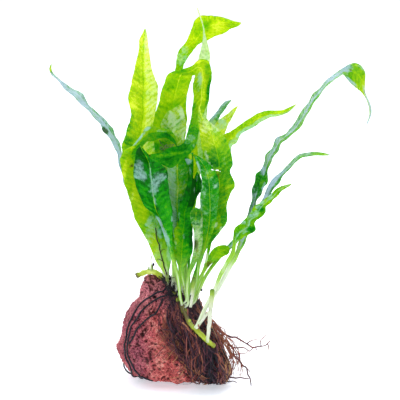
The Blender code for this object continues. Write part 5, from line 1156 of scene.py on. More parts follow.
# ---------------------------------------------------------------- the fronds' outlines
# Each frond runs from the foot of its stalk to its tip as a list of stations.
#   five numbers  (u, v, y, w, roll): the midrib at u, v and depth y; w is the full width in
#                 units; roll turns the blade about its midrib, in degrees.
#   eight numbers (ul, vl, ur, vr, y, tilt, m, cup): left edge, right edge, midrib depth y;
#                 tilt is how far the right edge lies behind the left one; m is the midrib's
#                 place between the edges; cup is how far the edges stand in front.
FRONDS = {
    "frond_far_left": [
        (163.5, 272.5, -15.0, 2.6, 0), (158.0, 258.0, -10.0, 2.8, 0), (148.5, 238.0, -2.0, 4.5, 40),
        (138.0, 213.0, 5.0, 9.0, 60), (129.5, 189.0, 9.0, 15.0, 70), (123.5, 168.0, 11.0, 19.0, 72),
        (118.6, 149.5, 12.0, 21.0, 78), (113.4, 138.0, 12.0, 22.0, 76), (106.6, 127.6, 11.0, 22.0, 74),
        (100.0, 119.0, 10.0, 18.0, 76), (91.0, 110.4, 9.0, 17.0, 80), (85.2, 104.0, 8.0, 18.0, 78),
        (79.2, 96.4, 7.0, 19.0, 71), (72.6, 91.8, 6.5, 15.0, 72), (66.2, 87.2, 6.0, 12.0, 75), (58.5, 79.6, 5.0, 7.0, 78),
        (52.4, 74.0, 4.0, 4.6, 70), (50.4, 69.0, 3.0, 3.0, 50), (51.2, 64.2, 2.0, 0.9, 0)],
    "frond_tall_left": [
        (168.2, 275.6, -16.0, 2.8, 0), (165.0, 262.0, -12.0, 3.4, 0), (159.0, 240.0, -7.0, 6.0, 0),
        (141.5, 213.0, 158.0, 211.0, -4.0, 0.0, 0.5, 1.0),
        (131.5, 188.0, 156.5, 186.0, -1.0, 0.0, 0.5, 1.5),
        (124.5, 166.0, 157.0, 163.0, 0.0, 0.0, 0.5, 2.0),
        (122.0, 147.0, 157.0, 145.0, 0.5, -1.0, 0.5, 2.0),
        (126.2, 131.5, 156.0, 128.0, 0.5, -2.0, 0.5, 2.0),
        (131.0, 115.0, 155.5, 112.0, 0.0, -2.0, 0.5, 2.0),
        (128.3, 98.5, 157.3, 98.0, -1.0, -1.5, 0.5, 1.5),
        (131.2, 82.0, 157.2, 84.0, -2.5, 0.0, 0.47, 1.2),
        (135.2, 65.5, 152.3, 71.0, -4.5, 1.0, 0.45, 1.0),
        (138.8, 50.0, 149.6, 55.0, -6.5, 1.0, 0.45, 0.5),
        (139.2, 40.0, 148.0, 42.0, -8.0, 1.0, 0.5, 0.3),
        (142.9, 32.5, 146.8, 33.0, -9.0, 0.0, 0.5, 0.0),
        (144.4, 29.0, 145.6, 29.0, -9.5, 0.0, 0.5, 0.0)],
    "frond_low_left_arch": [
        (167.5, 279.8, -24.0, 2.8, 0), (166.3, 272.0, -22.5, 5.5, 0),
        (157.2, 264.0, 171.0, 260.5, -20.5, 0.0, 0.5, 0.8),
        (152.0, 252.5, 170.5, 249.0, -18.5, 0.0, 0.5, 1.2),
        (147.3, 240.5, 169.5, 237.0, -17.0, 0.0, 0.52, 1.5),
        (140.4, 229.0, 168.0, 224.5, -15.5, 0.0, 0.54, 1.8),
        (133.6, 215.5, 166.0, 210.5, -14.5, 0.0, 0.5, 2.0),
        (130.2, 200.5, 161.5, 195.5, -13.5, 0.0, 0.5, 2.0),
        (124.8, 185.0, 155.5, 180.5, -13.5, 0.0, 0.5, 1.8),
        (121.2, 168.0, 149.5, 164.5, -14.5, 0.0, 0.5, 1.2),
        (120.7, 156.5, 143.5, 155.5, -17.5, 0.5, 0.5, 0.8),
        (126.0, 149.8, 141.0, 150.6, -21.0, 1.0, 0.5, 0.3),
        (133.0, 145.2, 142.5, 147.0, -23.5, 0.5, 0.5, 0.0),
        (140.3, 135.8, 146.8, 142.0, -24.5, -3.0, 0.5, 0.0),
        (147.0, 127.0, 151.6, 141.5, -24.0, -5.0, 0.5, 0.0),
        (155.0, 126.6, 157.0, 139.0, -23.0, -6.0, 0.5, 0.0),
        (163.0, 128.2, 162.5, 137.5, -22.0, -6.0, 0.5, 0.0),
        (170.0, 130.8, 167.5, 138.5, -21.5, -5.0, 0.5, 0.0),
        (175.0, 135.5, 171.3, 141.2, -21.5, -4.0, 0.5, 0.0),
        (177.0, 141.5, 174.5, 144.0, -21.5, -2.0, 0.5, 0.0),
        (177.2, 146.5, 176.5, 147.0, -21.5, 0.0, 0.5, 0.0)],
    "frond_folded_over": [
        (172.8, 284.0, -27.0, 2.6, 0), (173.5, 268.0, -17.0, 3.2, 0), (174.0, 248.0, -9.0, 6.0, 0),
        (167.5, 222.0, 181.0, 222.0, -4.0, 0.0, 0.5, 0.8),
        (162.5, 196.0, 183.0, 196.0, -2.5, 0.0, 0.5, 1.0),
        (157.5, 169.0, 183.5, 169.0, -2.0, 0.0, 0.5, 1.4),
        (154.5, 145.0, 184.5, 146.0, -2.5, 0.0, 0.5, 1.6),
        (152.8, 128.0, 186.5, 129.0, -3.0, 0.0, 0.5, 1.8),
        (155.0, 114.5, 186.6, 114.5, -3.5, 0.0, 0.52, 1.8),
        (158.8, 103.5, 186.2, 102.5, -4.0, 0.0, 0.52, 1.8),
        (162.2, 88.5, 188.6, 89.5, -5.0, 0.0, 0.54, 1.5),
        (166.2, 77.5, 191.0, 80.5, -6.5, 0.0, 0.52, 0.8),
        (171.5, 71.0, 192.2, 76.3, -8.5, -1.0, 0.5, 0.0),
        (183.0, 69.0, 193.0, 75.6, -10.5, -1.5, 0.5, 0.0),
        (193.0, 65.2, 193.8, 75.2, -12.2, -2.0, 0.5, 0.0),
        (199.0, 60.2, 194.6, 75.2, -13.8, -2.5, 0.5, 0.0),
        (207.6, 60.2, 195.0, 76.8, -15.3, -2.5, 0.5, 0.0),
        (211.3, 70.0, 194.0, 80.5, -16.6, -2.5, 0.5, 0.0),
        (211.6, 78.5, 192.6, 87.5, -17.6, -2.5, 0.5, 0.0),
        (209.6, 90.0, 193.5, 96.5, -18.8, -2.0, 0.5, 0.3),
        (208.8, 100.5, 192.6, 106.0, -20.4, -1.5, 0.5, 0.5),
        (204.5, 111.5, 191.8, 115.0, -23.0, -1.0, 0.5, 0.5),
        (201.4, 123.0, 189.6, 124.0, -26.0, 0.0, 0.5, 0.5),
        (198.4, 134.0, 187.6, 131.5, -29.5, 1.0, 0.5, 0.5),
        (196.4, 144.5, 185.8, 138.0, -33.0, 2.0, 0.5, 0.5),
        (190.5, 153.0, 183.0, 143.5, -36.0, 3.0, 0.5, 0.5),
        (181.0, 161.0, 177.5, 146.0, -38.0, 3.0, 0.5, 0.6),
        (171.8, 167.8, 169.0, 148.3, -39.0, 3.0, 0.5, 0.8),
        (163.0, 165.0, 162.0, 152.6, -39.0, 2.0, 0.5, 0.6),
        (156.0, 161.8, 156.2, 153.3, -38.5, 1.0, 0.5, 0.3),
        (151.0, 158.6, 150.9, 154.2, -38.0, 0.5, 0.5, 0.0),
        (148.8, 156.6, 148.8, 155.4, -37.8, 0.0, 0.5, 0.0)],
    "frond_top_right": [
        (172.2, 278.5, -19.0, 2.6, 0), (173.5, 262.0, -8.0, 2.8, 0), (173.0, 230.0, 4.0, 4.0, 0),
        (172.5, 195.0, 10.0, 7.0, 0), (173.5, 160.0, 13.0, 11.0, 0), (175.0, 122.0, 14.0, 14.0, 0),
        (169.0, 92.0, 184.0, 89.0, 12.5, 0.0, 0.5, 0.5),
        (175.0, 70.0, 183.2, 67.5, 11.5, 0.0, 0.5, 0.3),
        (176.6, 58.5, 186.8, 60.0, 10.5, 2.0, 0.5, 0.0),
        (178.6, 51.5, 191.0, 53.0, 10.0, 3.0, 0.5, 0.0),
        (184.2, 44.0, 197.0, 45.5, 9.0, 3.0, 0.5, 0.3),
        (189.5, 34.5, 205.0, 41.5, 8.0, 2.0, 0.5, 0.6),
        (193.0, 24.0, 212.5, 37.6, 6.5, 0.0, 0.5, 0.8),
        (198.5, 17.0, 220.0, 34.8, 5.0, 0.0, 0.5, 0.8),
        (206.5, 15.4, 226.0, 32.5, 3.5, 0.0, 0.5, 0.6),
        (216.0, 15.8, 230.0, 29.4, 2.0, 0.0, 0.5, 0.4),
        (226.0, 18.5, 235.0, 27.6, 0.5, 0.0, 0.5, 0.2),
        (234.0, 20.8, 238.8, 25.6, -1.0, 0.0, 0.5, 0.0),
        (240.6, 22.4, 241.0, 23.6, -2.0, 0.0, 0.5, 0.0)],
    "frond_pale_spear": [
        (182.0, 286.5, -24.5, 2.6, 0), (185.0, 262.0, -13.0, 2.8, 0), (190.0, 228.0, -3.0, 4.5, 0),
        (194.5, 190.0, 2.0, 7.0, 0), (198.5, 150.0, 4.0, 10.0, 0), (201.0, 112.0, 4.0, 12.0, 0),
        (198.0, 82.0, 209.5, 82.0, 3.0, 0.0, 0.5, 0.3),
        (197.6, 67.0, 209.6, 67.0, 2.0, 0.0, 0.5, 0.3),
        (198.5, 57.5, 210.3, 57.5, 1.0, 0.0, 0.5, 0.3),
        (200.8, 49.5, 209.4, 49.5, 0.2, 0.0, 0.5, 0.2),
        (202.4, 42.0, 207.3, 42.0, -0.6, 0.0, 0.5, 0.0),
        (203.2, 35.0, 205.2, 34.5, -1.2, 0.0, 0.5, 0.0),
        (202.9, 28.0, 204.1, 27.7, -2.0, 0.0, 0.5, 0.0),
        (200.9, 20.2, 201.9, 19.8, -3.0, 0.0, 0.5, 0.0),
        (198.6, 13.6, 199.6, 13.2, -4.0, 0.0, 0.5, 0.0),
        (196.8, 8.2, 197.6, 7.8, -5.0, 0.0, 0.5, 0.0)],
    "frond_right_centre": [
        (188.6, 294.6, -27.0, 2.8, 0), (194.0, 277.0, -26.0, 3.2, 0), (199.5, 262.0, -26.0, 4.0, 0),
        (200.2, 251.0, 206.0, 250.0, -26.5, 0.0, 0.5, 0.0),
        (201.0, 241.0, 213.0, 240.5, -27.0, 0.0, 0.5, 0.5),
        (202.0, 230.0, 222.2, 229.0, -27.0, 0.0, 0.5, 1.0),
        (202.6, 219.0, 227.3, 219.0, -26.5, 0.0, 0.5, 1.2),
        (202.8, 207.0, 226.6, 206.5, -26.0, 0.0, 0.52, 1.4),
        (203.0, 195.5, 230.6, 194.5, -26.0, 0.0, 0.54, 1.5),
        (203.2, 184.5, 234.8, 184.0, -25.5, 0.5, 0.52, 1.5),
        (202.8, 173.0, 230.3, 172.0, -25.0, 1.0, 0.55, 1.5),
        (202.6, 163.0, 232.4, 164.0, -25.0, 2.0, 0.55, 1.5),
        (202.0, 151.0, 230.0, 150.5, -26.5, 2.0, 0.52, 1.3),
        (200.6, 139.0, 225.4, 138.0, -28.5, 2.0, 0.5, 1.0),
        (199.1, 129.5, 218.3, 129.3, -30.0, 2.0, 0.5, 0.8),
        (198.2, 121.5, 209.8, 121.8, -31.0, 1.5, 0.48, 0.4),
        (198.2, 114.5, 204.0, 114.8, -31.6, 1.0, 0.45, 0.2),
        (198.6, 109.0, 200.6, 109.2, -32.0, 0.5, 0.5, 0.0),
        (198.8, 105.8, 199.4, 105.8, -32.2, 0.0, 0.5, 0.0)],
    "frond_front_dark": [
        (192.2, 300.5, -36.0, 2.6, 0), (196.9, 286.0, -34.5, 2.8, 0), (198.2, 271.0, -33.5, 2.8, 0),
        (200.0, 259.0, -33.0, 3.2, 0),
        (201.4, 249.5, 206.3, 249.8, -33.0, 0.0, 0.5, 0.0),
        (202.6, 240.5, 209.4, 241.0, -33.0, 0.0, 0.5, 0.4),
        (202.2, 230.0, 213.2, 231.0, -33.2, 0.0, 0.54, 0.8),
        (201.2, 219.0, 216.0, 220.0, -33.5, 0.0, 0.57, 1.2),
        (200.2, 208.0, 217.4, 208.0, -33.8, 0.0, 0.58, 1.5),
        (200.4, 196.0, 218.8, 195.5, -34.0, 0.0, 0.5, 1.8),
        (202.0, 184.0, 219.0, 184.0, -34.2, 0.0, 0.42, 1.6),
        (200.6, 173.5, 217.2, 175.0, -34.5, 0.0, 0.4, 1.2),
        (198.0, 167.0, 212.8, 167.5, -34.8, 0.0, 0.45, 0.8),
        (195.8, 161.5, 206.6, 161.8, -35.0, 0.0, 0.5, 0.4),
        (194.2, 157.0, 199.8, 157.0, -35.2, 0.0, 0.5, 0.0),
        (193.0, 154.2, 193.8, 154.0, -35.3, 0.0, 0.5, 0.0)],
    "frond_big_glossy": [
        (181.6, 303.0, -39.2, 2.5, 0), (180.2, 297.0, -38.5, 3.0, 0),
        (176.4, 279.0, 179.8, 278.0, -37.5, 0.0, 0.5, 0.0),
        (172.9, 266.0, 177.0, 265.0, -36.5, 0.0, 0.4, 0.0),
        (169.2, 252.5, 173.4, 251.5, -35.5, 0.0, 0.4, 0.0),
        (165.4, 240.0, 172.2, 240.0, -34.5, 0.0, 0.3, 0.4),
        (160.8, 226.5, 172.4, 231.0, -34.0, 0.0, 0.25, 0.8),
        (154.0, 214.2, 172.9, 222.0, -33.5, 0.0, 0.25, 1.2),
        (146.2, 208.0, 172.6, 212.0, -33.0, 0.0, 0.36, 1.8),
        (141.8, 201.0, 171.2, 203.0, -32.5, 0.0, 0.42, 2.4),
        (137.2, 190.0, 169.2, 191.0, -32.0, 0.0, 0.48, 2.8),
        (135.0, 181.0, 168.2, 181.0, -32.0, 0.0, 0.5, 3.0),
        (133.4, 172.0, 167.8, 173.5, -32.0, 0.0, 0.5, 2.8),
        (134.0, 163.5, 163.5, 166.5, -32.0, 0.0, 0.52, 2.2),
        (135.4, 155.5, 154.5, 159.5, -31.5, 0.0, 0.6, 1.4),
        (137.0, 149.5, 146.2, 152.0, -31.0, 0.0, 0.6, 0.5),
        (140.2, 145.9, 141.2, 146.1, -30.5, 0.0, 0.5, 0.0)],
    "frond_centre_back": [
        (179.4, 291.6, -35.0, 2.5, 0), (180.2, 280.0, -30.0, 2.6, 0), (179.4, 265.0, -26.0, 2.8, 0),
        (178.5, 248.0, -22.0, 5.0, 0),
        (172.0, 226.0, 182.5, 226.0, -20.5, 0.0, 0.5, 0.3),
        (171.5, 213.0, 183.5, 214.0, -20.0, 0.0, 0.5, 0.6),
        (169.5, 203.0, 184.5, 203.5, -19.5, 0.0, 0.5, 0.8),
        (168.2, 192.5, 187.0, 195.0, -19.0, 0.0, 0.5, 1.0),
        (168.5, 183.5, 188.4, 186.0, -18.5, 0.0, 0.48, 1.0),
        (167.6, 174.0, 188.2, 175.5, -18.0, 0.0, 0.48, 1.0),
        (167.8, 165.0, 187.2, 166.0, -17.5, 0.0, 0.5, 0.7),
        (170.5, 157.5, 184.0, 158.0, -17.0, 0.0, 0.5, 0.4),
        (176.2, 150.0, 177.8, 150.0, -16.5, 0.0, 0.5, 0.0)],
    "frond_front_centre": [
        (186.4, 300.0, -38.0, 2.5, 0), (184.8, 290.0, -36.0, 2.8, 0), (182.6, 279.0, -33.8, 4.0, 0),
        (178.8, 269.0, 184.2, 268.5, -32.5, 0.0, 0.4, 0.3),
        (176.0, 260.0, 188.0, 260.5, -31.0, 0.0, 0.45, 0.8),
        (173.2, 252.0, 192.0, 254.0, -30.0, 0.0, 0.45, 1.2),
        (172.2, 244.5, 193.0, 246.0, -29.5, 0.0, 0.48, 1.4),
        (174.3, 237.0, 192.3, 239.0, -29.0, 0.0, 0.48, 1.2),
        (173.6, 230.5, 192.6, 230.5, -28.5, 0.0, 0.5, 1.0),
        (179.0, 222.0, 191.2, 222.5, -28.0, 0.0, 0.45, 0.8),
        (177.8, 214.0, 190.6, 213.5, -28.0, 0.0, 0.5, 0.8),
        (179.8, 206.0, 194.2, 205.0, -27.5, 0.0, 0.5, 0.8),
        (183.5, 197.5, 195.3, 197.0, -27.5, 0.0, 0.5, 0.5),
        (185.5, 189.5, 196.0, 188.5, -27.5, 0.0, 0.5, 0.3),
        (188.0, 182.0, 195.0, 181.0, -27.5, 0.0, 0.5, 0.0),
        (191.2, 176.0, 192.0, 176.0, -27.5, 0.0, 0.5, 0.0)],
    "frond_grey_tip": [
        (185.0, 290.8, -29.5, 2.4, 0), (186.0, 262.0, -21.0, 2.6, 0), (187.0, 228.0, -16.0, 3.5, 0),
        (183.0, 200.0, 191.0, 200.0, -12.5, 0.0, 0.5, 0.3),
        (181.5, 178.0, 193.0, 178.0, -11.0, 0.0, 0.5, 0.3),
        (181.0, 164.0, 193.2, 164.0, -10.5, 0.0, 0.5, 0.3),
        (181.0, 155.0, 193.3, 155.0, -12.0, 0.0, 0.5, 0.3),
        (181.2, 153.5, 193.4, 153.5, -15.0, 0.0, 0.5, 0.3),
        (182.0, 160.0, 193.4, 161.0, -16.3, 0.0, 0.5, 0.3),
        (185.0, 170.0, 193.3, 171.0, -16.6, 0.0, 0.5, 0.2),
        (188.6, 178.0, 192.9, 178.5, -16.7, 0.0, 0.5, 0.0),
        (191.6, 184.2, 192.4, 184.2, -16.7, 0.0, 0.5, 0.0)],
    "frond_dark_narrow": [
        (188.2, 298.5, -33.5, 2.4, 0), (189.0, 272.0, -28.0, 2.6, 0), (187.5, 245.0, -25.0, 3.2, 0),
        (183.5, 225.0, 189.0, 225.0, -24.0, 0.0, 0.5, 0.0),
        (184.5, 213.0, 190.5, 212.5, -24.0, 0.0, 0.5, 0.0),
        (186.8, 203.0, 194.4, 202.5, -24.0, 0.0, 0.5, 0.3),
        (187.6, 198.6, 197.0, 197.2, -24.0, 0.0, 0.5, 0.3), (189.4, 194.6, 199.6, 193.2, -24.0, 0.0, 0.5, 0.5),
        (190.6, 190.6, 203.0, 189.4, -24.0, 0.0, 0.5, 0.4),
        (191.4, 186.0, 202.8, 186.0, -24.0, 0.0, 0.5, 0.3),
        (193.8, 179.5, 201.6, 179.5, -24.0, 0.0, 0.5, 0.0),
        (196.6, 172.0, 197.6, 172.0, -24.0, 0.0, 0.5, 0.0)],
    "frond_curled_olive": [
        (188.0, 303.5, -40.8, 2.4, 0), (187.2, 290.0, -39.5, 2.6, 0), (188.6, 276.0, -38.5, 3.0, 0),
        (190.0, 265.0, 195.0, 265.0, -38.0, 0.0, 0.5, 0.0),
        (192.8, 254.0, 200.4, 254.0, -38.0, 0.0, 0.5, 0.4),
        (194.0, 243.5, 202.4, 243.5, -38.0, 0.0, 0.5, 0.5),
        (194.0, 234.0, 202.6, 234.0, -38.0, 0.0, 0.5, 0.5),
        (192.8, 226.0, 202.4, 226.0, -38.0, 0.0, 0.5, 0.5),
        (190.6, 219.0, 202.8, 219.0, -38.0, 0.0, 0.5, 0.4),
        (190.4, 212.6, 202.2, 211.8, -38.8, 0.0, 0.5, 0.2),
        (193.0, 208.8, 199.8, 208.2, -40.6, 0.0, 0.5, 0.0),
        (191.2, 212.2, 201.0, 211.4, -42.8, 0.0, 0.5, 0.0),
        (190.8, 218.6, 200.8, 218.2, -43.4, 0.0, 0.5, 0.0),
        (191.6, 223.4, 200.2, 223.4, -42.4, 0.0, 0.5, 0.0),
        (192.6, 223.6, 199.4, 223.8, -40.8, 0.0, 0.5, 0.0),
        (193.2, 218.4, 198.8, 218.4, -40.2, 0.0, 0.5, 0.0),
        (194.0, 214.8, 197.8, 214.8, -41.0, 0.0, 0.5, 0.0),
        (195.4, 216.2, 196.4, 216.2, -41.8, 0.0, 0.5, 0.0)],
    "frond_pale_tip": [
        (176.4, 288.4, -31.0, 2.4, 0), (175.6, 277.0, -27.0, 2.6, 0), (174.5, 262.0, -22.0, 3.0, 0),
        (171.5, 240.0, -14.5, 6.0, 0),
        (162.5, 212.0, 178.5, 212.0, -9.5, 0.0, 0.5, 0.5),
        (160.5, 188.0, 180.5, 188.0, -8.5, 0.0, 0.5, 0.8),
        (159.5, 164.0, 181.5, 164.0, -8.5, 0.0, 0.5, 1.0),
        (159.5, 145.0, 182.5, 145.5, -9.5, 0.0, 0.5, 1.0),
        (160.0, 132.5, 184.5, 134.0, -10.5, 0.0, 0.5, 1.0),
        (161.2, 123.5, 186.6, 126.0, -11.0, 0.0, 0.5, 0.8),
        (166.4, 113.0, 184.8, 115.0, -11.5, 0.0, 0.5, 0.5),
        (175.0, 107.6, 182.6, 108.6, -12.0, 0.0, 0.5, 0.2),
        (179.5, 104.6, 180.8, 104.8, -12.0, 0.0, 0.5, 0.0)],
    "frond_long_right": [
        (193.4, 303.0, -34.5, 2.6, 0), (199.6, 289.5, -31.5, 2.8, 0), (204.9, 277.6, -29.5, 3.2, 0),
        (211.0, 268.0, -28.0, 3.4, 0), (219.4, 257.2, -26.0, 3.8, 0), (226.4, 249.6, -24.0, 4.6, 20),
        (229.0, 243.8, 233.4, 247.0, -22.0, 3.0, 0.5, 0.0),
        (235.6, 236.5, 239.6, 239.5, -19.5, 6.0, 0.5, 0.0),
        (240.6, 229.5, 244.8, 232.0, -17.5, 7.0, 0.5, 0.0),
        (245.6, 219.5, 250.0, 221.5, -15.5, 8.0, 0.5, 0.0),
        (249.6, 208.5, 254.4, 210.5, -13.5, 8.0, 0.5, 0.0),
        (251.8, 199.0, 257.0, 201.0, -12.0, 7.0, 0.5, 0.0),
        (252.4, 188.0, 261.4, 193.0, -10.5, 5.0, 0.5, 0.0),
        (255.6, 176.0, 266.6, 183.5, -9.0, 4.0, 0.5, 0.0),
        (260.0, 170.6, 268.0, 173.8, -8.0, 6.0, 0.5, 0.0),
        (264.6, 162.0, 269.4, 164.8, -6.0, 9.0, 0.5, 0.0),
        (265.8, 155.0, 272.6, 159.6, -5.0, 10.0, 0.5, 0.0),
        (271.4, 148.2, 277.4, 151.6, -4.0, 11.0, 0.5, 0.0),
        (276.6, 138.6, 282.0, 143.2, -3.0, 12.0, 0.5, 0.0),
        (284.0, 134.0, 288.6, 137.4, -2.0, 13.0, 0.5, 0.0),
        (291.6, 127.6, 296.4, 131.2, -1.0, 13.0, 0.5, 0.0),
        (296.0, 119.6, 302.6, 123.6, 0.0, 13.0, 0.5, 0.0),
        (303.4, 109.0, 308.8, 112.0, 1.0, 13.0, 0.5, 0.0),
        (309.4, 99.6, 314.4, 102.6, 2.0, 12.0, 0.5, 0.0),
        (317.6, 89.6, 321.6, 92.4, 2.5, 12.0, 0.5, 0.0),
        (327.6, 79.0, 331.0, 82.4, 3.0, 11.0, 0.5, 0.0),
        (336.6, 72.4, 339.4, 76.6, 3.0, 9.0, 0.5, 0.0),
        (343.6, 67.6, 343.0, 74.4, 2.5, 6.0, 0.45, 0.0),
        (349.6, 64.0, 346.8, 78.6, 1.5, 3.0, 0.45, 0.5),
        (355.2, 63.0, 350.8, 83.0, 0.0, 1.0, 0.45, 0.8),
        (361.2, 65.6, 354.6, 86.6, -1.5, 0.0, 0.45, 0.8),
        (365.2, 72.6, 358.6, 89.6, -3.0, -1.0, 0.45, 0.6),
        (365.2, 82.0, 361.4, 92.4, -4.5, -1.0, 0.5, 0.3),
        (364.8, 90.4, 363.4, 94.8, -6.0, -1.0, 0.5, 0.0),
        (367.8, 98.0, 366.2, 99.6, -7.0, 0.0, 0.5, 0.0),
        (371.0, 106.0, 368.8, 107.0, -8.0, 0.0, 0.5, 0.0),
        (371.4, 114.2, 369.2, 114.6, -9.0, 0.0, 0.5, 0.0),
        (367.6, 124.0, 366.8, 123.6, -10.0, 0.0, 0.5, 0.0)],
    "frond_low_right": [
        (193.6, 297.6, -26.6, 2.4, 0), (196.8, 287.5, -27.0, 2.4, 0), (199.0, 280.2, -28.3, 3.0, 0),
        (200.6, 273.6, 203.8, 274.6, -30.2, 0.0, 0.5, 0.0),
        (203.8, 266.6, 207.4, 268.6, -31.8, 0.0, 0.5, 0.0),
        (207.0, 261.0, 212.4, 263.0, -31.0, 0.0, 0.5, 0.2),
        (209.2, 254.4, 218.0, 259.6, -31.8, 0.0, 0.5, 0.5),
        (213.4, 248.6, 223.2, 256.6, -32.0, 0.0, 0.5, 0.6),
        (219.8, 245.4, 228.2, 254.4, -31.8, 0.0, 0.5, 0.5),
        (225.4, 245.0, 229.8, 250.6, -31.0, 0.0, 0.5, 0.2),
        (229.0, 246.6, 230.2, 248.0, -30.0, 0.0, 0.5, 0.0)],
    "frond_second_right": [
        (198.6, 325.0, -52.5, 2.5, 0), (206.8, 307.4, -44.0, 2.7, 0), (217.0, 291.2, -37.0, 3.6, 0),
        (226.6, 273.0, -30.0, 4.6, 0), (236.8, 254.0, -25.0, 4.8, 0), (243.0, 240.0, -21.5, 6.4, 20),
        (247.6, 230.6, -19.0, 8.0, 50),
        (252.6, 221.6, -17.5, 9.0, 50), (257.6, 213.2, -16.0, 9.5, 50), (262.0, 205.0, -14.5, 10.0, 52),
        (266.0, 197.0, -13.5, 11.0, 58), (270.8, 188.4, -12.5, 12.0, 52), (275.2, 181.2, -12.0, 12.0, 44),
        (281.0, 175.0, -11.0, 11.5, 60), (287.6, 168.2, -10.0, 11.0, 62), (294.2, 161.0, -9.0, 11.0, 62),
        (300.6, 156.0, -8.0, 11.0, 62), (308.0, 154.6, -7.0, 10.0, 60), (315.2, 153.6, -6.0, 8.0, 58),
        (323.0, 154.2, -5.5, 5.0, 50), (330.0, 155.0, -5.0, 1.0, 0)],
    "frond_third_right": [
        (197.4, 323.8, -53.0, 2.4, 0), (205.4, 306.2, -46.5, 2.6, 0), (214.2, 289.6, -41.0, 3.2, 0),
        (222.4, 271.0, -36.0, 4.0, 0), (232.4, 253.5, -32.5, 4.2, 0),
        (233.0, 239.0, 236.8, 243.0, -30.0, 0.0, 0.5, 0.0),
        (234.2, 230.0, 243.0, 238.0, -29.0, 0.0, 0.5, 0.4),
        (236.4, 225.4, 250.0, 234.6, -28.5, 0.0, 0.5, 0.5),
        (241.6, 222.6, 255.2, 230.0, -28.0, 0.0, 0.5, 0.5),
        (245.6, 218.6, 254.6, 222.6, -27.5, 0.0, 0.5, 0.3),
        (249.6, 213.8, 260.6, 217.8, -27.0, 0.0, 0.5, 0.3),
        (254.0, 206.2, 265.4, 212.2, -26.5, 0.0, 0.5, 0.3),
        (259.4, 203.4, 266.2, 206.6, -26.0, 0.0, 0.5, 0.2),
        (262.6, 200.4, 270.4, 203.4, -25.5, 0.0, 0.5, 0.2),
        (267.0, 197.4, 273.2, 199.8, -25.0, 0.0, 0.5, 0.0),
        (271.6, 193.4, 277.6, 196.2, -24.5, 0.0, 0.5, 0.0),
        (275.6, 189.2, 281.0, 191.8, -24.0, 0.0, 0.5, 0.0),
        (280.6, 186.4, 285.2, 188.8, -23.5, 0.0, 0.5, 0.0),
        (286.4, 184.6, 289.2, 186.4, -23.0, 0.0, 0.5, 0.0),
        (291.4, 183.6, 291.8, 184.6, -22.5, 0.0, 0.5, 0.0)],
    "frond_right_mid": [
        (192.2, 296.2, -24.2, 2.4, 0), (197.8, 272.0, -19.5, 2.4, 0), (205.4, 240.0, -15.5, 3.4, 0),
        (214.0, 206.0, -13.5, 9.0, 0),
        (211.0, 176.0, 227.0, 178.0, -12.5, 0.0, 0.5, 0.5),
        (215.5, 152.0, 229.5, 159.0, -12.0, 0.0, 0.5, 0.6),
        (222.4, 136.8, 231.4, 147.4, -12.0, 0.0, 0.5, 0.6),
        (228.6, 131.8, 236.6, 142.6, -11.5, 0.0, 0.5, 0.5),
        (235.0, 128.6, 240.6, 134.4, -11.0, 2.0, 0.5, 0.2),
        (242.0, 123.0, 247.6, 130.2, -10.0, 3.0, 0.5, 0.2),
        (249.2, 118.6, 255.2, 126.2, -9.0, 3.0, 0.5, 0.2),
        (257.2, 113.6, 262.2, 121.2, -8.0, 3.0, 0.5, 0.2),
        (266.0, 110.8, 269.6, 117.8, -7.0, 4.0, 0.5, 0.0),
        (275.2, 110.4, 277.6, 116.0, -6.0, 5.0, 0.5, 0.0),
        (284.0, 109.6, 286.6, 113.4, -5.0, 4.0, 0.5, 0.0),
        (291.0, 106.4, 292.4, 108.6, -4.0, 2.0, 0.5, 0.0),
        (296.0, 104.2, 296.4, 104.8, -3.0, 0.0, 0.5, 0.0)],
    "frond_small_dark": [
        (190.0, 291.5, -19.0, 2.3, 0), (198.0, 262.0, -10.0, 2.5, 0), (205.0, 225.0, -2.0, 3.6, 0),
        (208.0, 185.0, 3.0, 6.0, 0), (209.0, 150.0, 5.0, 10.0, 0),
        (206.0, 129.0, 217.0, 131.0, 6.0, 0.0, 0.5, 0.3),
        (209.6, 120.0, 218.0, 121.6, 6.0, 1.0, 0.5, 0.2),
        (214.0, 115.0, 219.8, 116.2, 5.5, 2.0, 0.5, 0.0),
        (218.0, 110.0, 223.2, 111.6, 5.0, 3.0, 0.5, 0.0),
        (221.6, 105.0, 226.4, 107.0, 4.0, 3.0, 0.5, 0.0),
        (225.6, 101.2, 228.8, 103.6, 3.0, 2.0, 0.5, 0.0),
        (230.8, 100.0, 231.2, 101.0, 2.0, 0.0, 0.5, 0.0)],
    "frond_light_spear": [
        (195.6, 298.6, -21.2, 2.4, 0), (206.0, 262.0, -13.5, 2.6, 0), (213.0, 222.0, -8.0, 4.5, 0),
        (215.0, 182.0, -4.5, 9.0, 0),
        (209.5, 150.0, 223.5, 152.0, -2.5, 0.0, 0.5, 0.4),
        (211.5, 133.0, 224.5, 136.0, -1.5, 0.0, 0.5, 0.5),
        (216.5, 122.0, 227.6, 126.0, -1.0, 0.0, 0.5, 0.4),
        (222.0, 117.6, 231.2, 119.6, -1.0, 0.0, 0.5, 0.2),
        (228.4, 113.0, 233.8, 114.6, -1.0, 0.0, 0.5, 0.0),
        (232.6, 109.0, 236.0, 110.4, -1.0, 0.0, 0.5, 0.0),
        (237.4, 105.8, 238.0, 106.2, -1.0, 0.0, 0.5, 0.0)],
    "frond_yellow_back": [
        (186.2, 287.5, -22.5, 2.4, 0), (189.0, 262.0, -14.5, 2.6, 0), (190.0, 235.0, -9.0, 4.5, 0),
        (184.2, 212.0, 194.0, 212.0, -7.0, 0.0, 0.5, 0.3),
        (183.0, 195.0, 194.0, 195.0, -6.0, 0.0, 0.5, 0.4),
        (183.6, 180.0, 195.4, 180.0, -5.5, 0.0, 0.5, 0.4),
        (185.6, 168.0, 197.4, 168.0, -5.0, 0.0, 0.5, 0.4),
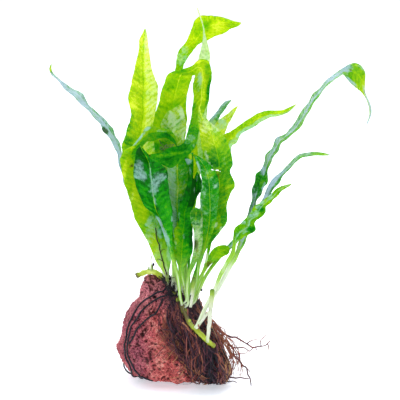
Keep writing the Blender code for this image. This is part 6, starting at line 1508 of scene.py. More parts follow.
        (186.6, 156.0, 198.0, 156.0, -5.0, 0.0, 0.5, 0.3),
        (188.6, 145.0, 197.0, 145.0, -5.0, 0.0, 0.5, 0.2),
        (192.6, 135.5, 193.6, 135.5, -5.0, 0.0, 0.5, 0.0)],
}


def fan(v, y):
    """Depth of a frond's midrib at height v: the crown opens out in depth as it rises."""
    h = max(0.0, min(1.0, (285.0 - v) / 135.0))
    return SPREAD_ABOUT + (y - SPREAD_ABOUT) * (1.0 + SPREAD * h * h * (3.0 - 2.0 * h))


def stations(rows):
    """Left edge, midrib and right edge of each station, in metres."""
    mids = [((r[0] + r[2]) / 2, (r[1] + r[3]) / 2) if len(r) == 8 else (r[0], r[1]) for r in rows]
    out = []
    for k, r in enumerate(rows):
        if len(r) == 8:
            ul, vl, ur, vr, y, tilt, m, cup = r
            y = fan((vl + vr) / 2, y)
            mid = front(ul + (ur - ul) * m, vl + (vr - vl) * m, y)
            out.append((front(ul, vl, y - tilt * m - cup), mid, front(ur, vr, y + tilt * (1 - m) - cup)))
        else:
            u, v, y, w, roll = r
            y = fan(v, y)
            a, b = mids[max(0, k - 1)], mids[min(len(rows) - 1, k + 1)]
            du, dv = b[0] - a[0], b[1] - a[1]
            n = math.hypot(du, dv)
            side = np.array((-dv / n * math.cos(math.radians(roll)), math.sin(math.radians(roll)),
                             -du / n * math.cos(math.radians(roll))))
            mid = front(u, v, y)
            half = side * (w * UNIT / 2)
            out.append((mid - half, mid, mid + half))
    return out


STEMS = np.vstack([even_path(STEM_LINE, count=120), even_path(BACK_LINE, count=30)])

# How each frond looks. Every list is spread evenly from the foot of the blade to its tip.
#   mat     which blade it has: lit, mid and dark are painted lit and shaded copies            slot    its colour name
#   fresh_and_lit   how light and yellow it is: partly the blade's own colour, partly painted light and shade
#   left, right   what each half adds to that, partly painted light and shade as a half faces towards or away from the light
#   blade   share of the length where the stalk has turned into blade
#   ruffle  height and length of the waves in the edge, mm        arch  bulge of each half
#   rib     how light the midrib is (below 0 it is darker than the blade)
#   painted_sheen   painted sheen: highlights and reflections of the wet blade painted into its colour
#   marks   (kind, u, v, radius across, radius down, turn in degrees, strength)
LOOKS = {
    "frond_far_left": dict(lobes=0.22, ribw=0.4, calm=0.30, bl=0.15, br=-0.15, streaks=0.4, mat="steel", slot="leaf_dark", blade=0.16, fresh_and_lit=[0.6, 0.6, 0.6, 0.5, 0.42, 0.38, 0.4, 0.46, 0.5, 0.6], ruffle=(1.1, 15), rib=0.2,
        painted_sheen=[0.25, 0.45, 0.7, 0.8, 0.8, 0.7, 0.6, 0.6, 0.8, 0.4],
        marks=[("dark", 105, 131, 4.6, 2.6, 45, 0.40), ("wane", 105, 131, 5.2, 3.0, 45, 1.0), ("wane", 51, 68, 2.5, 4.6, 0, 1.0), ("fresh_and_lit", 50.4, 69, 2.0, 3, 0, 0.3)]),
    "frond_tall_left": dict(br=0.36, mat="pale", slot="leaf_young", blade=0.20, fresh_and_lit=[0.52, 0.56, 0.64, 0.72, 0.8, 0.86, 0.9, 0.93, 0.97], left=0.0, right=0.14,
        ruffle=(0.7, 17), rib=-0.12, painted_sheen=[0.01, 0.02, 0.03, 0.03, 0.05, 0.08, 0.16, 0.26],
        marks=[("dark", 129, 122, 5, 16, 6, 0.20), ("dark", 156, 147, 4.5, 8, 0, 0.34), ("painted_sheen", 150, 96, 4.5, 34, 4, 0.30), ("dark", 129, 142, 5, 9, 10, 0.22), ("dark", 150, 140, 4, 22, 5, 0.14), ("painted_sheen", 136, 152, 6, 3, -30, 0.3),
               ("fresh_and_lit", 133, 101, 5, 10, 0, 0.10)]),
    "frond_low_left_arch": dict(white=236, mat="lit", slot="leaf_young", blade=0.06, fresh_and_lit=[0.64, 0.62, 0.58, 0.56, 0.58, 0.62, 0.64, 0.6, 0.56, 0.56, 0.54, 0.5, 0.46], left=0.18, right=-0.08,
        ruffle=(0.9, 14), rib=-0.1, painted_sheen=[0.04, 0.07, 0.07, 0.06, 0.04, 0.04, 0.03, 0.04, 0.07, 0.07, 0.07, 0.06],
        marks=[("dark", 128, 185, 4, 18, 0, 0.07), ("brown", 167, 277, 3.4, 8, 0, 0.60), ("painted_sheen", 159, 233, 4, 7, -10, 0.6), ("dark", 129, 197, 3, 12, 10, 0.16), ("painted_sheen", 170, 254, 4, 10, -10, 0.8), ("painted_sheen", 145.5, 129.4, 6, 2.4, -22, 1.0), ("painted_sheen", 152, 232, 7, 24, 28, 0.42), ("painted_sheen", 149, 222, 4, 8, 30, 0.62), ("painted_sheen", 146, 246, 2.4, 10, 25, 0.50), ("painted_sheen", 160, 262, 3, 10, 15, 0.55), ("painted_sheen", 138.5, 139, 2.0, 12, 42, 1.0), ("painted_sheen", 160, 131, 8, 1.5, 5, 0.45), ("dark", 168, 134, 5, 4, 0, 0.15), ("painted_sheen", 150, 232, 6, 14, 30, 0.5), ("painted_sheen", 158, 252, 4, 12, 20, 0.45), ("painted_sheen", 130, 200, 4, 10, 20, 0.3), ("brown", 131.8, 165.5, 2.2, 1.8, 0, 0.9),
               ("dark", 163, 228, 4, 14, 20, 0.2), ("fresh_and_lit", 124, 172, 2.6, 14, 8, 0.2)]),
    "frond_folded_over": dict(white=244, mat="lit", slot="leaf_young", blade=0.10, fresh_and_lit=[0.58, 0.6, 0.66, 0.7, 0.72, 0.66, 0.72, 0.74, 0.66, 0.52, 0.44, 0.38, 0.38],
        ruffle=(0.7, 13), rib=[-0.14, -0.14, -0.14, -0.14, -0.14, -0.14, -0.14, 0.3, 0.3, 0.3, 0.3, -0.05, -0.05, -0.05, -0.05], painted_sheen=[0.02, 0.03, 0.03, 0.02, 0.02, 0.02, 0.03, 0.04, 0.06, 0.04, 0.03, 0.02],
        marks=[("dark", 198, 85, 6, 16, 0, 0.12), ("painted_sheen", 198, 85, 6, 14, 0, 0.22), ("dark", 172, 159, 9, 6, 0, 0.12), ("brown", 184, 292, 2.2, 7, 0, 0.45), ("fresh_and_lit", 190, 138, 5, 5, 0, 0.12), ("painted_sheen", 191, 138, 5, 4, 0, 0.55), ("painted_sheen", 198, 145, 3, 5, 0, 0.5), ("fresh_and_lit", 191, 159, 4, 5, 0, 0.3), ("dark", 208, 92, 2.2, 16, 8, 0.34), ("dark", 189, 88, 1.4, 8, 0, 0.1), ("fresh_and_lit", 201, 92, 9, 26, 0, 0.26), ("fresh_and_lit", 196, 120, 6, 14, 0, 0.12), ("dark", 182, 72, 13, 4, 5, 0.20), ("fresh_and_lit", 197, 62, 5, 3, 0, 0.3), ("painted_sheen", 200, 79, 3, 9, 0, 0.7),
               ("fresh_and_lit", 172, 96, 6, 9, 0, 0.14), ("brown", 149.6, 155.6, 1.4, 1.4, 0, 0.9), ("fresh_and_lit", 172, 154, 18, 2.2, -9, 0.22), ("painted_sheen", 193, 146, 3, 3, 0, 0.3), ("dark", 157, 146, 5, 7, 0, 0.30), ("painted_sheen", 188, 140, 5, 6, 30, 0.35)]),
    "frond_top_right": dict(mat="lit", slot="leaf_young", blade=0.12, fresh_and_lit=[0.45, 0.5, 0.55, 0.6, 0.62, 0.66, 0.64, 0.68, 0.78, 0.82, 0.8], ruffle=(0.6, 15), rib=0.1,
        painted_sheen=[0.02, 0.02, 0.02, 0.03, 0.09, 0.09, 0.02, 0.00, 0.00, 0.00],
        marks=[("painted_sheen", 185, 50, 5, 6, 10, 0.6), ("dark", 206, 25, 6, 8, 20, 0.22), ("painted_sheen", 182, 58, 7, 9, 20, 0.55), ("fresh_and_lit", 220, 25, 9, 8, 20, 0.12)]),
    "frond_pale_spear": dict(mat="pale", slot="leaf_young", blade=0.16, fresh_and_lit=[0.5, 0.55, 0.6, 0.7, 0.75, 0.8, 0.8], ruffle=(0.4, 12), rib=0.12,
        painted_sheen=[0.1, 0.2, 0.4, 0.65, 0.75, 0.8, 0.85, 0.85]),
    "frond_right_centre": dict(white=262, mat="pale", slot="leaf_young", blade=0.14, fresh_and_lit=[0.5, 0.44, 0.42, 0.46, 0.52, 0.54, 0.52, 0.52, 0.64, 0.7, 0.74], left=0.08, right=0.06,
        ruffle=(0.8, 13), rib=0.26, painted_sheen=[0.01, 0.01, 0.01, 0.01, 0.02, 0.05, 0.14, 0.26, 0.34],
        marks=[("painted_sheen", 206, 126, 6, 10, 0, 0.62), ("brown", 192, 277, 2.6, 9, 0, 0.34), ("painted_sheen", 216, 124, 9, 8, -20, 0.85), ("painted_sheen", 220, 126, 7, 7, -30, 0.75), ("painted_sheen", 206, 122, 4, 14, -10, 0.55), ("painted_sheen", 213, 126, 6, 8, -20, 0.5), ("fresh_and_lit", 219, 222, 3, 10, 0, 0.16), ("fresh_and_lit", 206, 138, 8, 22, 0, 0.18), ("painted_sheen", 216, 225, 2.2, 3.6, 30, 0.9), ("painted_sheen", 221, 228.5, 1.6, 2.6, 40, 0.8), ("painted_sheen", 224, 160, 1.6, 8, -10, 0.34), ("fresh_and_lit", 219, 228, 6, 6, 0, 0.12), ("painted_sheen", 206.5, 156, 1.8, 7, -15, 0.9), ("painted_sheen", 210, 164.5, 1.3, 4, -38, 0.9), ("dark", 216, 165, 6, 3.5, 10, 0.25), ("brown", 218, 177, 1.6, 3.5, 10, 0.8), ("fresh_and_lit", 215, 141, 8, 8, 0, 0.12), ("dark", 214, 161, 9, 5, 0, 0.12), ("fresh_and_lit", 228, 190, 3, 14, 0, 0.12)]),
    "frond_front_dark": dict(white=238, mat="mid", slot="leaf_dark", blade=0.24, fresh_and_lit=[0.56, 0.5, 0.48, 0.44, 0.4, 0.38, 0.36, 0.36, 0.38], ruffle=(0.5, 12), rib=0.34,
        painted_sheen=[0.1, 0.12, 0.16, 0.2, 0.24, 0.26, 0.26, 0.22, 0.15],
        marks=[("fresh_and_lit", 214, 226, 3.6, 8, 0, 0.20), ("painted_sheen", 205, 254, 3, 9, 0, 0.9), ("painted_sheen", 199, 170, 1.6, 14, -12, 1.0), ("painted_sheen", 202.4, 187, 1.0, 8, -6, 0.8), ("brown", 198.5, 172, 0.9, 12, -14, 0.30), ("fresh_and_lit", 210, 175, 5, 5, 20, 0.20), ("painted_sheen", 207, 172, 2.4, 2.2, 0, 0.5),
               ("painted_sheen", 215.5, 186, 2.0, 4.5, 10, 0.75), ("painted_sheen", 204.6, 195, 1.6, 5, 0, 0.6), ("painted_sheen", 212.5, 199, 1.6, 4, 20, 0.5), ("painted_sheen", 206, 212, 1.8, 4, 0, 0.42),
               ("fresh_and_lit", 213, 192, 3.5, 10, 0, 0.12), ("fresh_and_lit", 205, 205, 3, 14, 0, 0.10), ("dark", 207, 187, 2.2, 7, 0, 0.14), ("dark", 214, 214, 3, 6, 0, 0.10), ("painted_sheen", 201.6, 204, 1.2, 8, 0, 0.65)]),
    "frond_big_glossy": dict(white=244, mat="dark", slot="leaf_dark", blade=0.10, fresh_and_lit=[0.62, 0.58, 0.52, 0.46, 0.36, 0.3, 0.24, 0.2, 0.18, 0.2, 0.24], left=-0.02, right=0.03,
        ruffle=(0.7, 11), rib=0.55, painted_sheen=[0.2, 0.2, 0.12, 0.08, 0.05, 0.04, 0.04, 0.05, 0.05, 0.03],
        marks=[("brown", 184, 292, 2.2, 7, 0, 0.45), ("painted_sheen", 160.5, 232, 3, 7, -20, 0.7), ("painted_sheen", 166, 252, 6.5, 16, -10, 1.0), ("painted_sheen", 138.5, 170, 6.5, 13, 6, 0.62), ("painted_sheen", 142, 175, 5, 8, -20, 0.72), ("painted_sheen", 160, 176, 8, 6, 6, 0.55), ("painted_sheen", 163, 233, 3.0, 10, -18, 1.0), ("painted_sheen", 170, 256, 4, 9, -12, 1.0),
               ("painted_sheen", 155, 184, 6.5, 13, 16, 0.66), ("painted_sheen", 151.4, 182, 1.1, 20, -6, 0.85), ("painted_sheen", 154.5, 200, 1.6, 9, -20, 0.7), ("painted_sheen", 172, 219, 1.6, 5, 0, 0.7),
               ("dark", 139, 151, 6, 6, 0, 0.14), ("fresh_and_lit", 144, 193, 4, 12, -25, 0.10), ("fresh_and_lit", 165, 212, 7, 20, -15, 0.08), ("dark", 173, 212, 2.4, 12, 0, 0.1),
               ("painted_sheen", 158.5, 222, 3.4, 9, -28, 1.0), ("painted_sheen", 166, 244, 5.6, 20, -16, 1.0), ("painted_sheen", 172, 268, 3.4, 14, -8, 0.9)]),
    "frond_centre_back": dict(bl=0.40, br=-0.05, mat="mid", slot="leaf_dark", blade=0.22, fresh_and_lit=[0.5, 0.5, 0.5, 0.48, 0.48, 0.5, 0.5, 0.5], left=0.1, right=-0.08, ruffle=(0.6, 12), rib=0.4,
        painted_sheen=[0.1, 0.15, 0.2, 0.28, 0.3, 0.25, 0.1], marks=[("brown", 184, 292, 2.2, 7, 0, 0.45), ("painted_sheen", 174, 190, 6, 22, 0, 0.42), ("painted_sheen", 172.5, 180, 4.4, 12, 0, 0.80), ("painted_sheen", 173, 198, 3.6, 12, 0, 0.62), ("painted_sheen", 183.5, 186, 1.6, 8, 12, 0.5), ("painted_sheen", 182, 172, 2.6, 4, 20, 0.4),
               ("dark", 184, 200, 4, 12, 0, 0.14), ("dark", 176, 216, 5, 8, 0, 0.34), ("fresh_and_lit", 182, 184, 5, 16, 0, 0.14)]),
    "frond_front_centre": dict(white=250, mat="mid", slot="leaf", blade=0.22, fresh_and_lit=[0.56, 0.54, 0.5, 0.46, 0.42, 0.36, 0.3, 0.2, 0.08, 0.06, 0.08], left=0.10, right=-0.04, ruffle=(0.8, 11), rib=0.2,
        painted_sheen=[0.06, 0.06, 0.04, 0.04, 0.05, 0.04, 0.02, 0.01, 0.02, 0.02],
        marks=[("dark", 182, 235, 5, 17, 0, 0.07), ("brown", 184, 292, 2.2, 7, 0, 0.45), ("dark", 191, 238, 2.4, 14, 0, 0.28), ("wane", 190.5, 238, 3, 16, 0, 1.0), ("painted_sheen", 179, 216, 1.6, 5, 0, 0.5), ("painted_sheen", 184, 236, 2.0, 4, 0, 0.36), ("painted_sheen", 176, 244, 2.0, 8, 0, 0.40), ("dark", 191, 195, 5, 14, 0, 0.12), ("dark", 186, 238, 3.4, 9, 0, 0.16),
              ("dark", 190.5, 240, 2.2, 16, 0, 0.12), ("painted_sheen", 194.4, 190, 0.9, 6, 0, 0.5), ("fresh_and_lit", 176.5, 236, 3.0, 16, 0, 0.14)]),
    "frond_grey_tip": dict(mat="dark", slot="leaf_dark", blade=0.2, fresh_and_lit=[0.5, 0.42, 0.38, 0.34, 0.3, 0.26, 0.24, 0.24], ruffle=(0.4, 11), rib=0.2,
        painted_sheen=[0.04, 0.07, 0.07, 0.09, 0.11, 0.10, 0.07, 0.04], marks=[("wane", 190.5, 157.5, 2.2, 4.6, 0, 1.0), ("fresh_and_lit", 190.5, 157.5, 2.4, 5.0, 0, 0.66), ("painted_sheen", 187.5, 161.5, 6.5, 3.2, 0, 0.95), ("painted_sheen", 184.5, 170, 2.2, 6, 10, 0.62), ("painted_sheen", 190.5, 172, 1.6, 6, -8, 0.55)]),
    "frond_dark_narrow": dict(mat="dark", slot="leaf_dark", blade=0.2, fresh_and_lit=[0.42, 0.34, 0.26, 0.22, 0.2, 0.24], ruffle=(0.4, 9), rib=0.15, painted_sheen=[0.04, 0.04, 0.02, 0.02, 0.03], marks=[("painted_sheen", 202, 184, 0.9, 8, -8, 0.55), ("painted_sheen", 197.0, 178, 0.9, 5, 10, 0.5)]),
    "frond_curled_olive": dict(white=252, mat="pale", slot="leaf", blade=0.20, fresh_and_lit=[0.55, 0.52, 0.55, 0.58, 0.56, 0.52, 0.50, 0.48, 0.44], ruffle=(0.6, 9), rib=0.16,
        painted_sheen=[0.35, 0.45, 0.5, 0.6, 0.6, 0.5, 0.3, 0.1],
        marks=[("wane", 196, 236, 8, 12, 0, 0.6), ("brown", 196.4, 245, 2.8, 8, 0, 0.6), ("wane", 191, 236, 2.4, 14, 0, 1.0), ("dark", 190.5, 236, 2.4, 14, 0, 0.35), ("painted_sheen", 198, 234, 5, 9, 0, 0.7), ("dark", 196, 216, 7, 1.2, 10, 0.14), ("wane", 196, 213, 8, 7, 0, 0.9), ("dark", 196, 223.5, 7, 2.5, 0, 0.22), ("dark", 196, 209, 8, 2.0, 0, 0.12), ("brown", 195, 245, 1.5, 6, 0, 0.85), ("olive", 196, 214, 7, 5, 0, 0.5)]),
    "frond_pale_tip": dict(white=264, mat="pale", slot="leaf_young", blade=0.2, fresh_and_lit=[0.5, 0.48, 0.52, 0.58, 0.66, 0.74, 0.78, 0.8], ruffle=(0.9, 10), rib=0.12,
        painted_sheen=[0.1, 0.12, 0.16, 0.22, 0.3, 0.36, 0.4, 0.4],
        marks=[("brown", 175, 283, 3.0, 9, 0, 0.50), ("painted_sheen", 182, 113, 4, 8, 0, 1.0), ("painted_sheen", 172, 118, 5, 7, 0, 0.9), ("painted_sheen", 184, 136, 3, 7, 10, 1.0), ("painted_sheen", 170, 118, 3.0, 9, 4, 0.95), ("painted_sheen", 177, 122, 2.0, 10, 52, 0.9), ("painted_sheen", 180, 113, 2.0, 7, -35, 0.8), ("painted_sheen", 172, 132, 1.8, 8, 40, 0.8), ("painted_sheen", 181, 132, 2.0, 7, 30, 0.7),
               ("dark", 176, 126, 1.4, 7, 50, 0.16), ("dark", 167, 130, 3, 6, 0, 0.14), ("wane", 166, 146, 12, 11, 0, 1.0), ("dark", 164, 147, 12, 9, 0, 0.22)]),
    "frond_long_right": dict(lobes=0.26, ribw=0.6, calm=0.35, bl=0.12, br=-0.42, streaks=0.42, mat="steel", slot="leaf_dark", blade=0.12, fresh_and_lit=[0.62, 0.55, 0.46, 0.38, 0.28, 0.26, 0.4, 0.5, 0.54, 0.58, 0.56, 0.54, 0.56, 0.62, 0.74, 0.84, 0.8, 0.62],
        ruffle=(0.7, 11), rib=0.1, painted_sheen=[0.3, 0.35, 0.4, 0.4, 0.25, 0.3, 0.4, 0.45, 0.45, 0.4, 0.4, 0.45, 0.6, 0.75, 0.3, 0.12, 0.4, 0.5],
        marks=[("fresh_and_lit", 262, 186, 3, 8, 10, 0.16), ("painted_sheen", 263, 187, 2.6, 6, 10, 0.95), ("painted_sheen", 262.5, 170, 2.4, 5, 10, 0.85), ("painted_sheen", 278, 138, 3, 8, 30, 0.8), ("wane", 315, 152, 4, 14, -40, 0.8), ("fresh_and_lit", 315, 152, 4, 14, -40, 0.1), ("wane", 259, 184, 6, 12, 25, 0.75), ("wane", 358, 76, 9, 12, -30, 1.0), ("brown", 351, 70, 1.3, 1.3, 0, 0.9), ("painted_sheen", 350, 66.5, 5, 1.6, -10, 0.6), ("dark", 348, 67, 5, 2.6, -10, 0.16), ("painted_sheen", 352, 82, 10, 1.6, 43, 0.9)]),
    "frond_low_right": dict(white=252, mat="lit", slot="leaf_young", blade=0.30, fresh_and_lit=[0.56, 0.58, 0.62, 0.66, 0.62, 0.60], ruffle=(0.5, 9), rib=0.1, painted_sheen=[0.04, 0.02, 0.01],
        marks=[("brown", 209.4, 264, 3.0, 4.6, 30, 0.8)]),
    "frond_second_right": dict(lobes=0.24, ribw=0.5, calm=0.35, bl=0.22, br=-0.36, streaks=0.4, white=232, pale=1.0, mat="steel", slot="leaf_dark", blade=0.42, fresh_and_lit=[0.62, 0.55, 0.42, 0.3, 0.32, 0.4, 0.46, 0.54, 0.6, 0.66], ruffle=(0.7, 12), rib=0.12,
        painted_sheen=[0.6, 0.6, 0.7, 0.85, 0.85, 0.65, 0.45, 0.22, 0.06, 0.03], marks=[("wane", 238, 242, 3.0, 4.0, 0, 0.7), ("wane", 318, 154, 9, 3, 0, 0.8), ("fresh_and_lit", 238, 242, 3, 4, 0, 0.1)]),
    "frond_third_right": dict(streaks=0.22, lobes=0.14, ribw=0.7, white=232, pale=0.92, mat="lit", slot="leaf", blade=0.40, fresh_and_lit=[0.6, 0.62, 0.6, 0.56, 0.58, 0.66, 0.7, 0.7], ruffle=(0.9, 9), rib=0.1, painted_sheen=[0.07, 0.04, 0.03, 0.03, 0.02], marks=[("painted_sheen", 270, 194, 4, 3, -30, 0.9), ("painted_sheen", 262, 202, 3, 3, -30, 0.75), ("painted_sheen", 254, 217, 3, 3, -30, 0.6), ("pale", 224, 267, 3, 10, 15, 0.8), ("painted_sheen", 256, 213, 4, 4, -40, 0.7), ("painted_sheen", 249, 210, 4, 4, -40, 0.6), ("dark", 251, 229, 5, 4, -30, 0.30), ("dark", 261, 209, 5, 4, -30, 0.34), ("dark", 238, 236, 3, 4, 0, 0.12), ("painted_sheen", 243.5, 222.6, 3.4, 3.0, -30, 0.75), ("painted_sheen", 250.5, 216, 3.6, 2.6, -45, 0.75), ("painted_sheen", 257.4, 207, 3.0, 2.6, -45, 0.7), ("painted_sheen", 270, 198.6, 5, 2.0, -30, 0.6), ("painted_sheen", 281, 189, 5, 1.6, -30, 0.5), ("painted_sheen", 245, 232, 2.0, 5, 40, 0.7), ("painted_sheen", 235, 244, 2.0, 8, 35, 0.6)]),
    "frond_right_mid": dict(lobes=0.12, br=0.55, bl=-0.05, mat="lit", slot="leaf_young", blade=0.2, fresh_and_lit=[0.56, 0.58, 0.62, 0.66, 0.72, 0.74, 0.74, 0.76, 0.8], ruffle=(0.5, 11), rib=0.1, painted_sheen=[0.05, 0.05, 0.06, 0.08, 0.1, 0.08, 0.05, 0.0]),
    "frond_small_dark": dict(bl=0.25, br=-0.1, calm=0.6, mat="steel", slot="leaf_dark", blade=0.2, fresh_and_lit=[0.5, 0.46, 0.44, 0.42, 0.4, 0.42], ruffle=(0.4, 9), rib=0.1, painted_sheen=[0.1, 0.1, 0.2, 0.35, 0.45, 0.5], marks=[("fresh_and_lit", 213, 124, 5, 7, 0, 0.26), ("painted_sheen", 213, 123, 5, 8, 0, 0.62)]),
    "frond_light_spear": dict(mat="lit", slot="leaf_young", blade=0.2, fresh_and_lit=[0.5, 0.6, 0.78, 0.9, 0.96, 0.98], ruffle=(0.4, 10), rib=0.1, painted_sheen=[0.02, 0.05, 0.15, 0.34, 0.4], marks=[("painted_sheen", 222, 123, 7, 10, -20, 0.70), ("pale", 206, 257, 3.5, 8, 0, 0.95)]),
    "frond_yellow_back": dict(mat="lit", slot="leaf_young", blade=0.2, fresh_and_lit=[0.6, 0.66, 0.74, 0.84, 0.86, 0.86], ruffle=(0.4, 9), rib=0.1, painted_sheen=[0.01, 0.01]),
}
BITES = [(212.6, 169.8, 2.3, 1.1, 20), (217.2, 170.2, 1.7, 1.0, 0), (220.2, 171.6, 1.1, 0.9, 0)]
HOLES = {"frond_right_centre": BITES + [(216.2, 206.0, 1.0, 1.3, 0)], "frond_right_mid": BITES, "frond_light_spear": BITES,
         "frond_small_dark": BITES, "frond_front_dark": [(212.6, 169.8, 2.0, 0.9, 20)]}


def along_run(values, t):
    return np.interp(t, np.linspace(0, 1, len(values)), values)


def spot_in(uu, vv, u, v, ru, rv, turn, seed):
    """How deep the points uu, vv lie in a patch with a ragged edge, from 0 to 1."""
    a = math.radians(turn)
    du, dv = uu - u, vv - v
    x = (du * math.cos(a) + dv * math.sin(a)) / ru
    y = (-du * math.sin(a) + dv * math.cos(a)) / rv
    r = np.sqrt(x * x + y * y) + 0.28 * fbm(np.stack([uu * 0.35, vv * 0.35, uu * 0 + seed], -1), 2, seed)
    return 1 - smooth(0.45, 1.15, r)


SKINS = {}


def blade(name, rows):
    look = LOOKS[name]
    seed = sum(ord(c) for c in name) % 97
    raw = stations(rows)
    foot = raw[0]
    root = STEMS[np.argmin(np.linalg.norm(STEMS - foot[1], axis=1))]
    half = (foot[2] - foot[0]) * 0.46
    raw = [(root - half, root, root + half)] + raw
    L, M, R = (np.array([s[k] for s in raw]) for k in range(3))
    last = len(raw) - 1
    dense_t = np.linspace(0, last, last * 24 + 1)
    dm = crom(M, dense_t)
    run_d = np.concatenate([[0], np.cumsum(np.linalg.norm(np.diff(dm, axis=0), axis=1))])
    length = run_d[-1]
    step = 0.00105
    na = int(np.clip(length / step, 56, 230))
    run = np.linspace(0, length, na)
    # the stations crowd together where the blade turns over: keep them there too
    t_even = np.interp(run, run_d, dense_t)
    t_index = np.linspace(0, last, na)
    t = 0.72 * t_even + 0.28 * t_index
    run = np.interp(t, dense_t, run_d)
    l, m, r = crom(L, t), crom(M, t), crom(R, t)
    x = run / length
    # the edge wanders a little
    wl = 1 + 0.05 * noise1(run / 0.0045, seed) + 0.03 * noise1(run / 0.0016, seed + 3)
    wr = 1 + 0.05 * noise1(run / 0.0045, seed + 11) + 0.03 * noise1(run / 0.0016, seed + 13)
    lobes = look.get("lobes", 0.0) * np.clip(np.minimum(x - 0.25, 0.80 - x) / 0.1, 0, 1)
    wl += 0.6 * lobes * np.sin(2 * math.pi * run / 0.0145 + 2.2 * noise1(run / 0.03, seed + 51)) + 0.3 * lobes * noise1(run / 0.006, seed + 52)
    wr += 0.6 * lobes * np.sin(2 * math.pi * run / 0.0128 + 1.4 + 2.2 * noise1(run / 0.03, seed + 53)) + 0.3 * lobes * noise1(run / 0.006, seed + 54)
    l, r = m + (l - m) * wl[:, None], m + (r - m) * wr[:, None]
    across = r - l
    width = np.linalg.norm(across, axis=1)
    along = np.gradient(m, axis=0)
    normal = unit(np.cross(across, along))
    for k in range(1, na):
        if normal[k] @ normal[k - 1] < -0.2:
            normal[k] = -normal[k] if (normal[k] @ normal[k - 1]) < -0.9 else normal[k]
    for _ in range(3):
        normal[1:-1] = unit(normal[:-2] + 2 * normal[1:-1] + normal[2:])
    wide = width.max()
    cols = int(np.clip(wide / 2 / 0.00125, 4, 11))
    share = np.linspace(0, 1, cols + 1)[1:]
    share = 0.55 * share + 0.45 * np.sin(share * math.pi / 2)
    stalk = np.clip((0.0052 - width) / 0.0026, 0, 1) * (t < last * 0.5)
    stalk = np.convolve(np.pad(stalk, 3, mode="edge"), np.ones(7) / 7, mode="valid")
    halves = []
    for edge, sign in ((l, -1.0), (r, 1.0)):
        reach = np.linalg.norm(edge - m, axis=1)
        near1 = np.clip(0.00032 / reach, 0, 0.10)
        near2 = np.clip(0.00085 / reach, 0, 0.24)
        s = np.stack([near1, near2] + [near2 + (1 - near2) * q for q in share], 1)
        halves.append((edge, sign, reach, s))
    S = np.concatenate([-halves[0][3][:, ::-1], np.zeros((na, 1)), halves[1][3]], 1)
    A = np.abs(S)
    E = np.where((S < 0)[..., None], l[:, None], r[:, None])
    reach = np.where(S < 0, halves[0][2][:, None], halves[1][2][:, None])
    P = m[:, None] + (E - m[:, None]) * A[..., None]
    acr = S * reach
    blade_part = 1 - stalk[:, None]
    runs = run[:, None] + 0 * S
    # waves: the edge ruffles, each half bulges, and the blade puckers between its side veins
    amp, lam = look["ruffle"]
    amp, lam = amp * 0.001, lam * 0.001
    size = np.clip(width / 0.012, 0, 1.25)[:, None]
    side_seed = np.where(S < 0, 0.0, 2.1)
    phase = 2 * math.pi * runs / lam + side_seed + 1.3 * noise1(runs.ravel() / 0.03, seed).reshape(S.shape)
    wave = np.sin(phase) * (0.6 + 0.4 * noise1(runs.ravel() / 0.021, seed + 5).reshape(S.shape))
    wave2 = noise1(runs.ravel() / 0.0062 + side_seed.ravel() * 9, seed + 6).reshape(S.shape)
    off = amp * size * (A ** 2.0) * (wave + 0.40 * wave2)
    arch = look.get("arch", 0.10)
    off += arch * reach * 4 * A * (1 - A) * 0.55
    pucker = np.cos(2 * math.pi * (runs - 0.75 * np.abs(acr)) / 0.0046 + 1.5 * noise1(runs.ravel() / 0.011 + side_seed.ravel(), seed + 8).reshape(S.shape))
    off += 0.00046 * size * pucker * (A * (1 - A) * 4) * blade_part
    off += 0.00065 * size * fbm(np.stack([acr * 200, runs * 200, acr * 0 + seed], -1).reshape(-1, 3), 3, seed, 0.6).reshape(S.shape)
    off += 0.0012 * size * np.minimum(A * 3, 1) * noise1(runs.ravel() / 0.017 + 50, seed + 21).reshape(S.shape) * np.sign(S) * 0.6
    off -= 0.00022 * np.exp(-(acr / 0.00065) ** 2) * blade_part
    P = P + normal[:, None] * (off * blade_part * look.get("calm", 1.0))[..., None]
    # the shell round the blade
    gu = np.gradient(P, axis=1)
    gv = np.gradient(P, axis=0)
    N = unit(np.cross(gu, gv))
    N = np.where((N * normal[:, None]).sum(-1, keepdims=True) < 0.15, normal[:, None] + 0 * N, N)
    mix = stalk[:, None, None]
    N = unit(N * (1 - mix) + normal[:, None] * mix)
    thin = 0.00017 * (1 - 0.55 * A ** 2) + 0.00003
    tip = np.clip((1 - x) / 0.02, 0.25, 1)[:, None]
    round_half = np.maximum(0.42 * width[:, None] * np.sqrt(np.clip(1 - A ** 2, 0, 1)), 0.00006)
    h = (thin * (1 - stalk[:, None]) + round_half * stalk[:, None]) * tip
    rib_front = 0.00010 * np.exp(-(acr / 0.0005) ** 2) * blade_part
    rib_back = 0.00042 * np.exp(-(acr / 0.0006) ** 2) * blade_part * tip
    top = P + N * (h + rib_front)[..., None]
    bot = P - N * (h + rib_back)[..., None]
    nc = S.shape[1]
    idx = np.arange(na * nc).reshape(na, nc)
    T, B = idx, idx + na * nc
    uu, vv = elevation(P.reshape(-1, 3))
    uu, vv = uu.reshape(S.shape), vv.reshape(S.shape)
    keep = np.ones((na - 1, nc - 1), bool)
    for u, v, ru, rv, turn in HOLES.get(name, ()):
        a = math.radians(turn)
        cu = (uu[:-1, :-1] + uu[1:, 1:]) / 2 - u
        cv = (vv[:-1, :-1] + vv[1:, 1:]) / 2 - v
        keep &= ((cu * math.cos(a) + cv * math.sin(a)) / ru) ** 2 + ((-cu * math.sin(a) + cv * math.cos(a)) / rv) ** 2 > 1
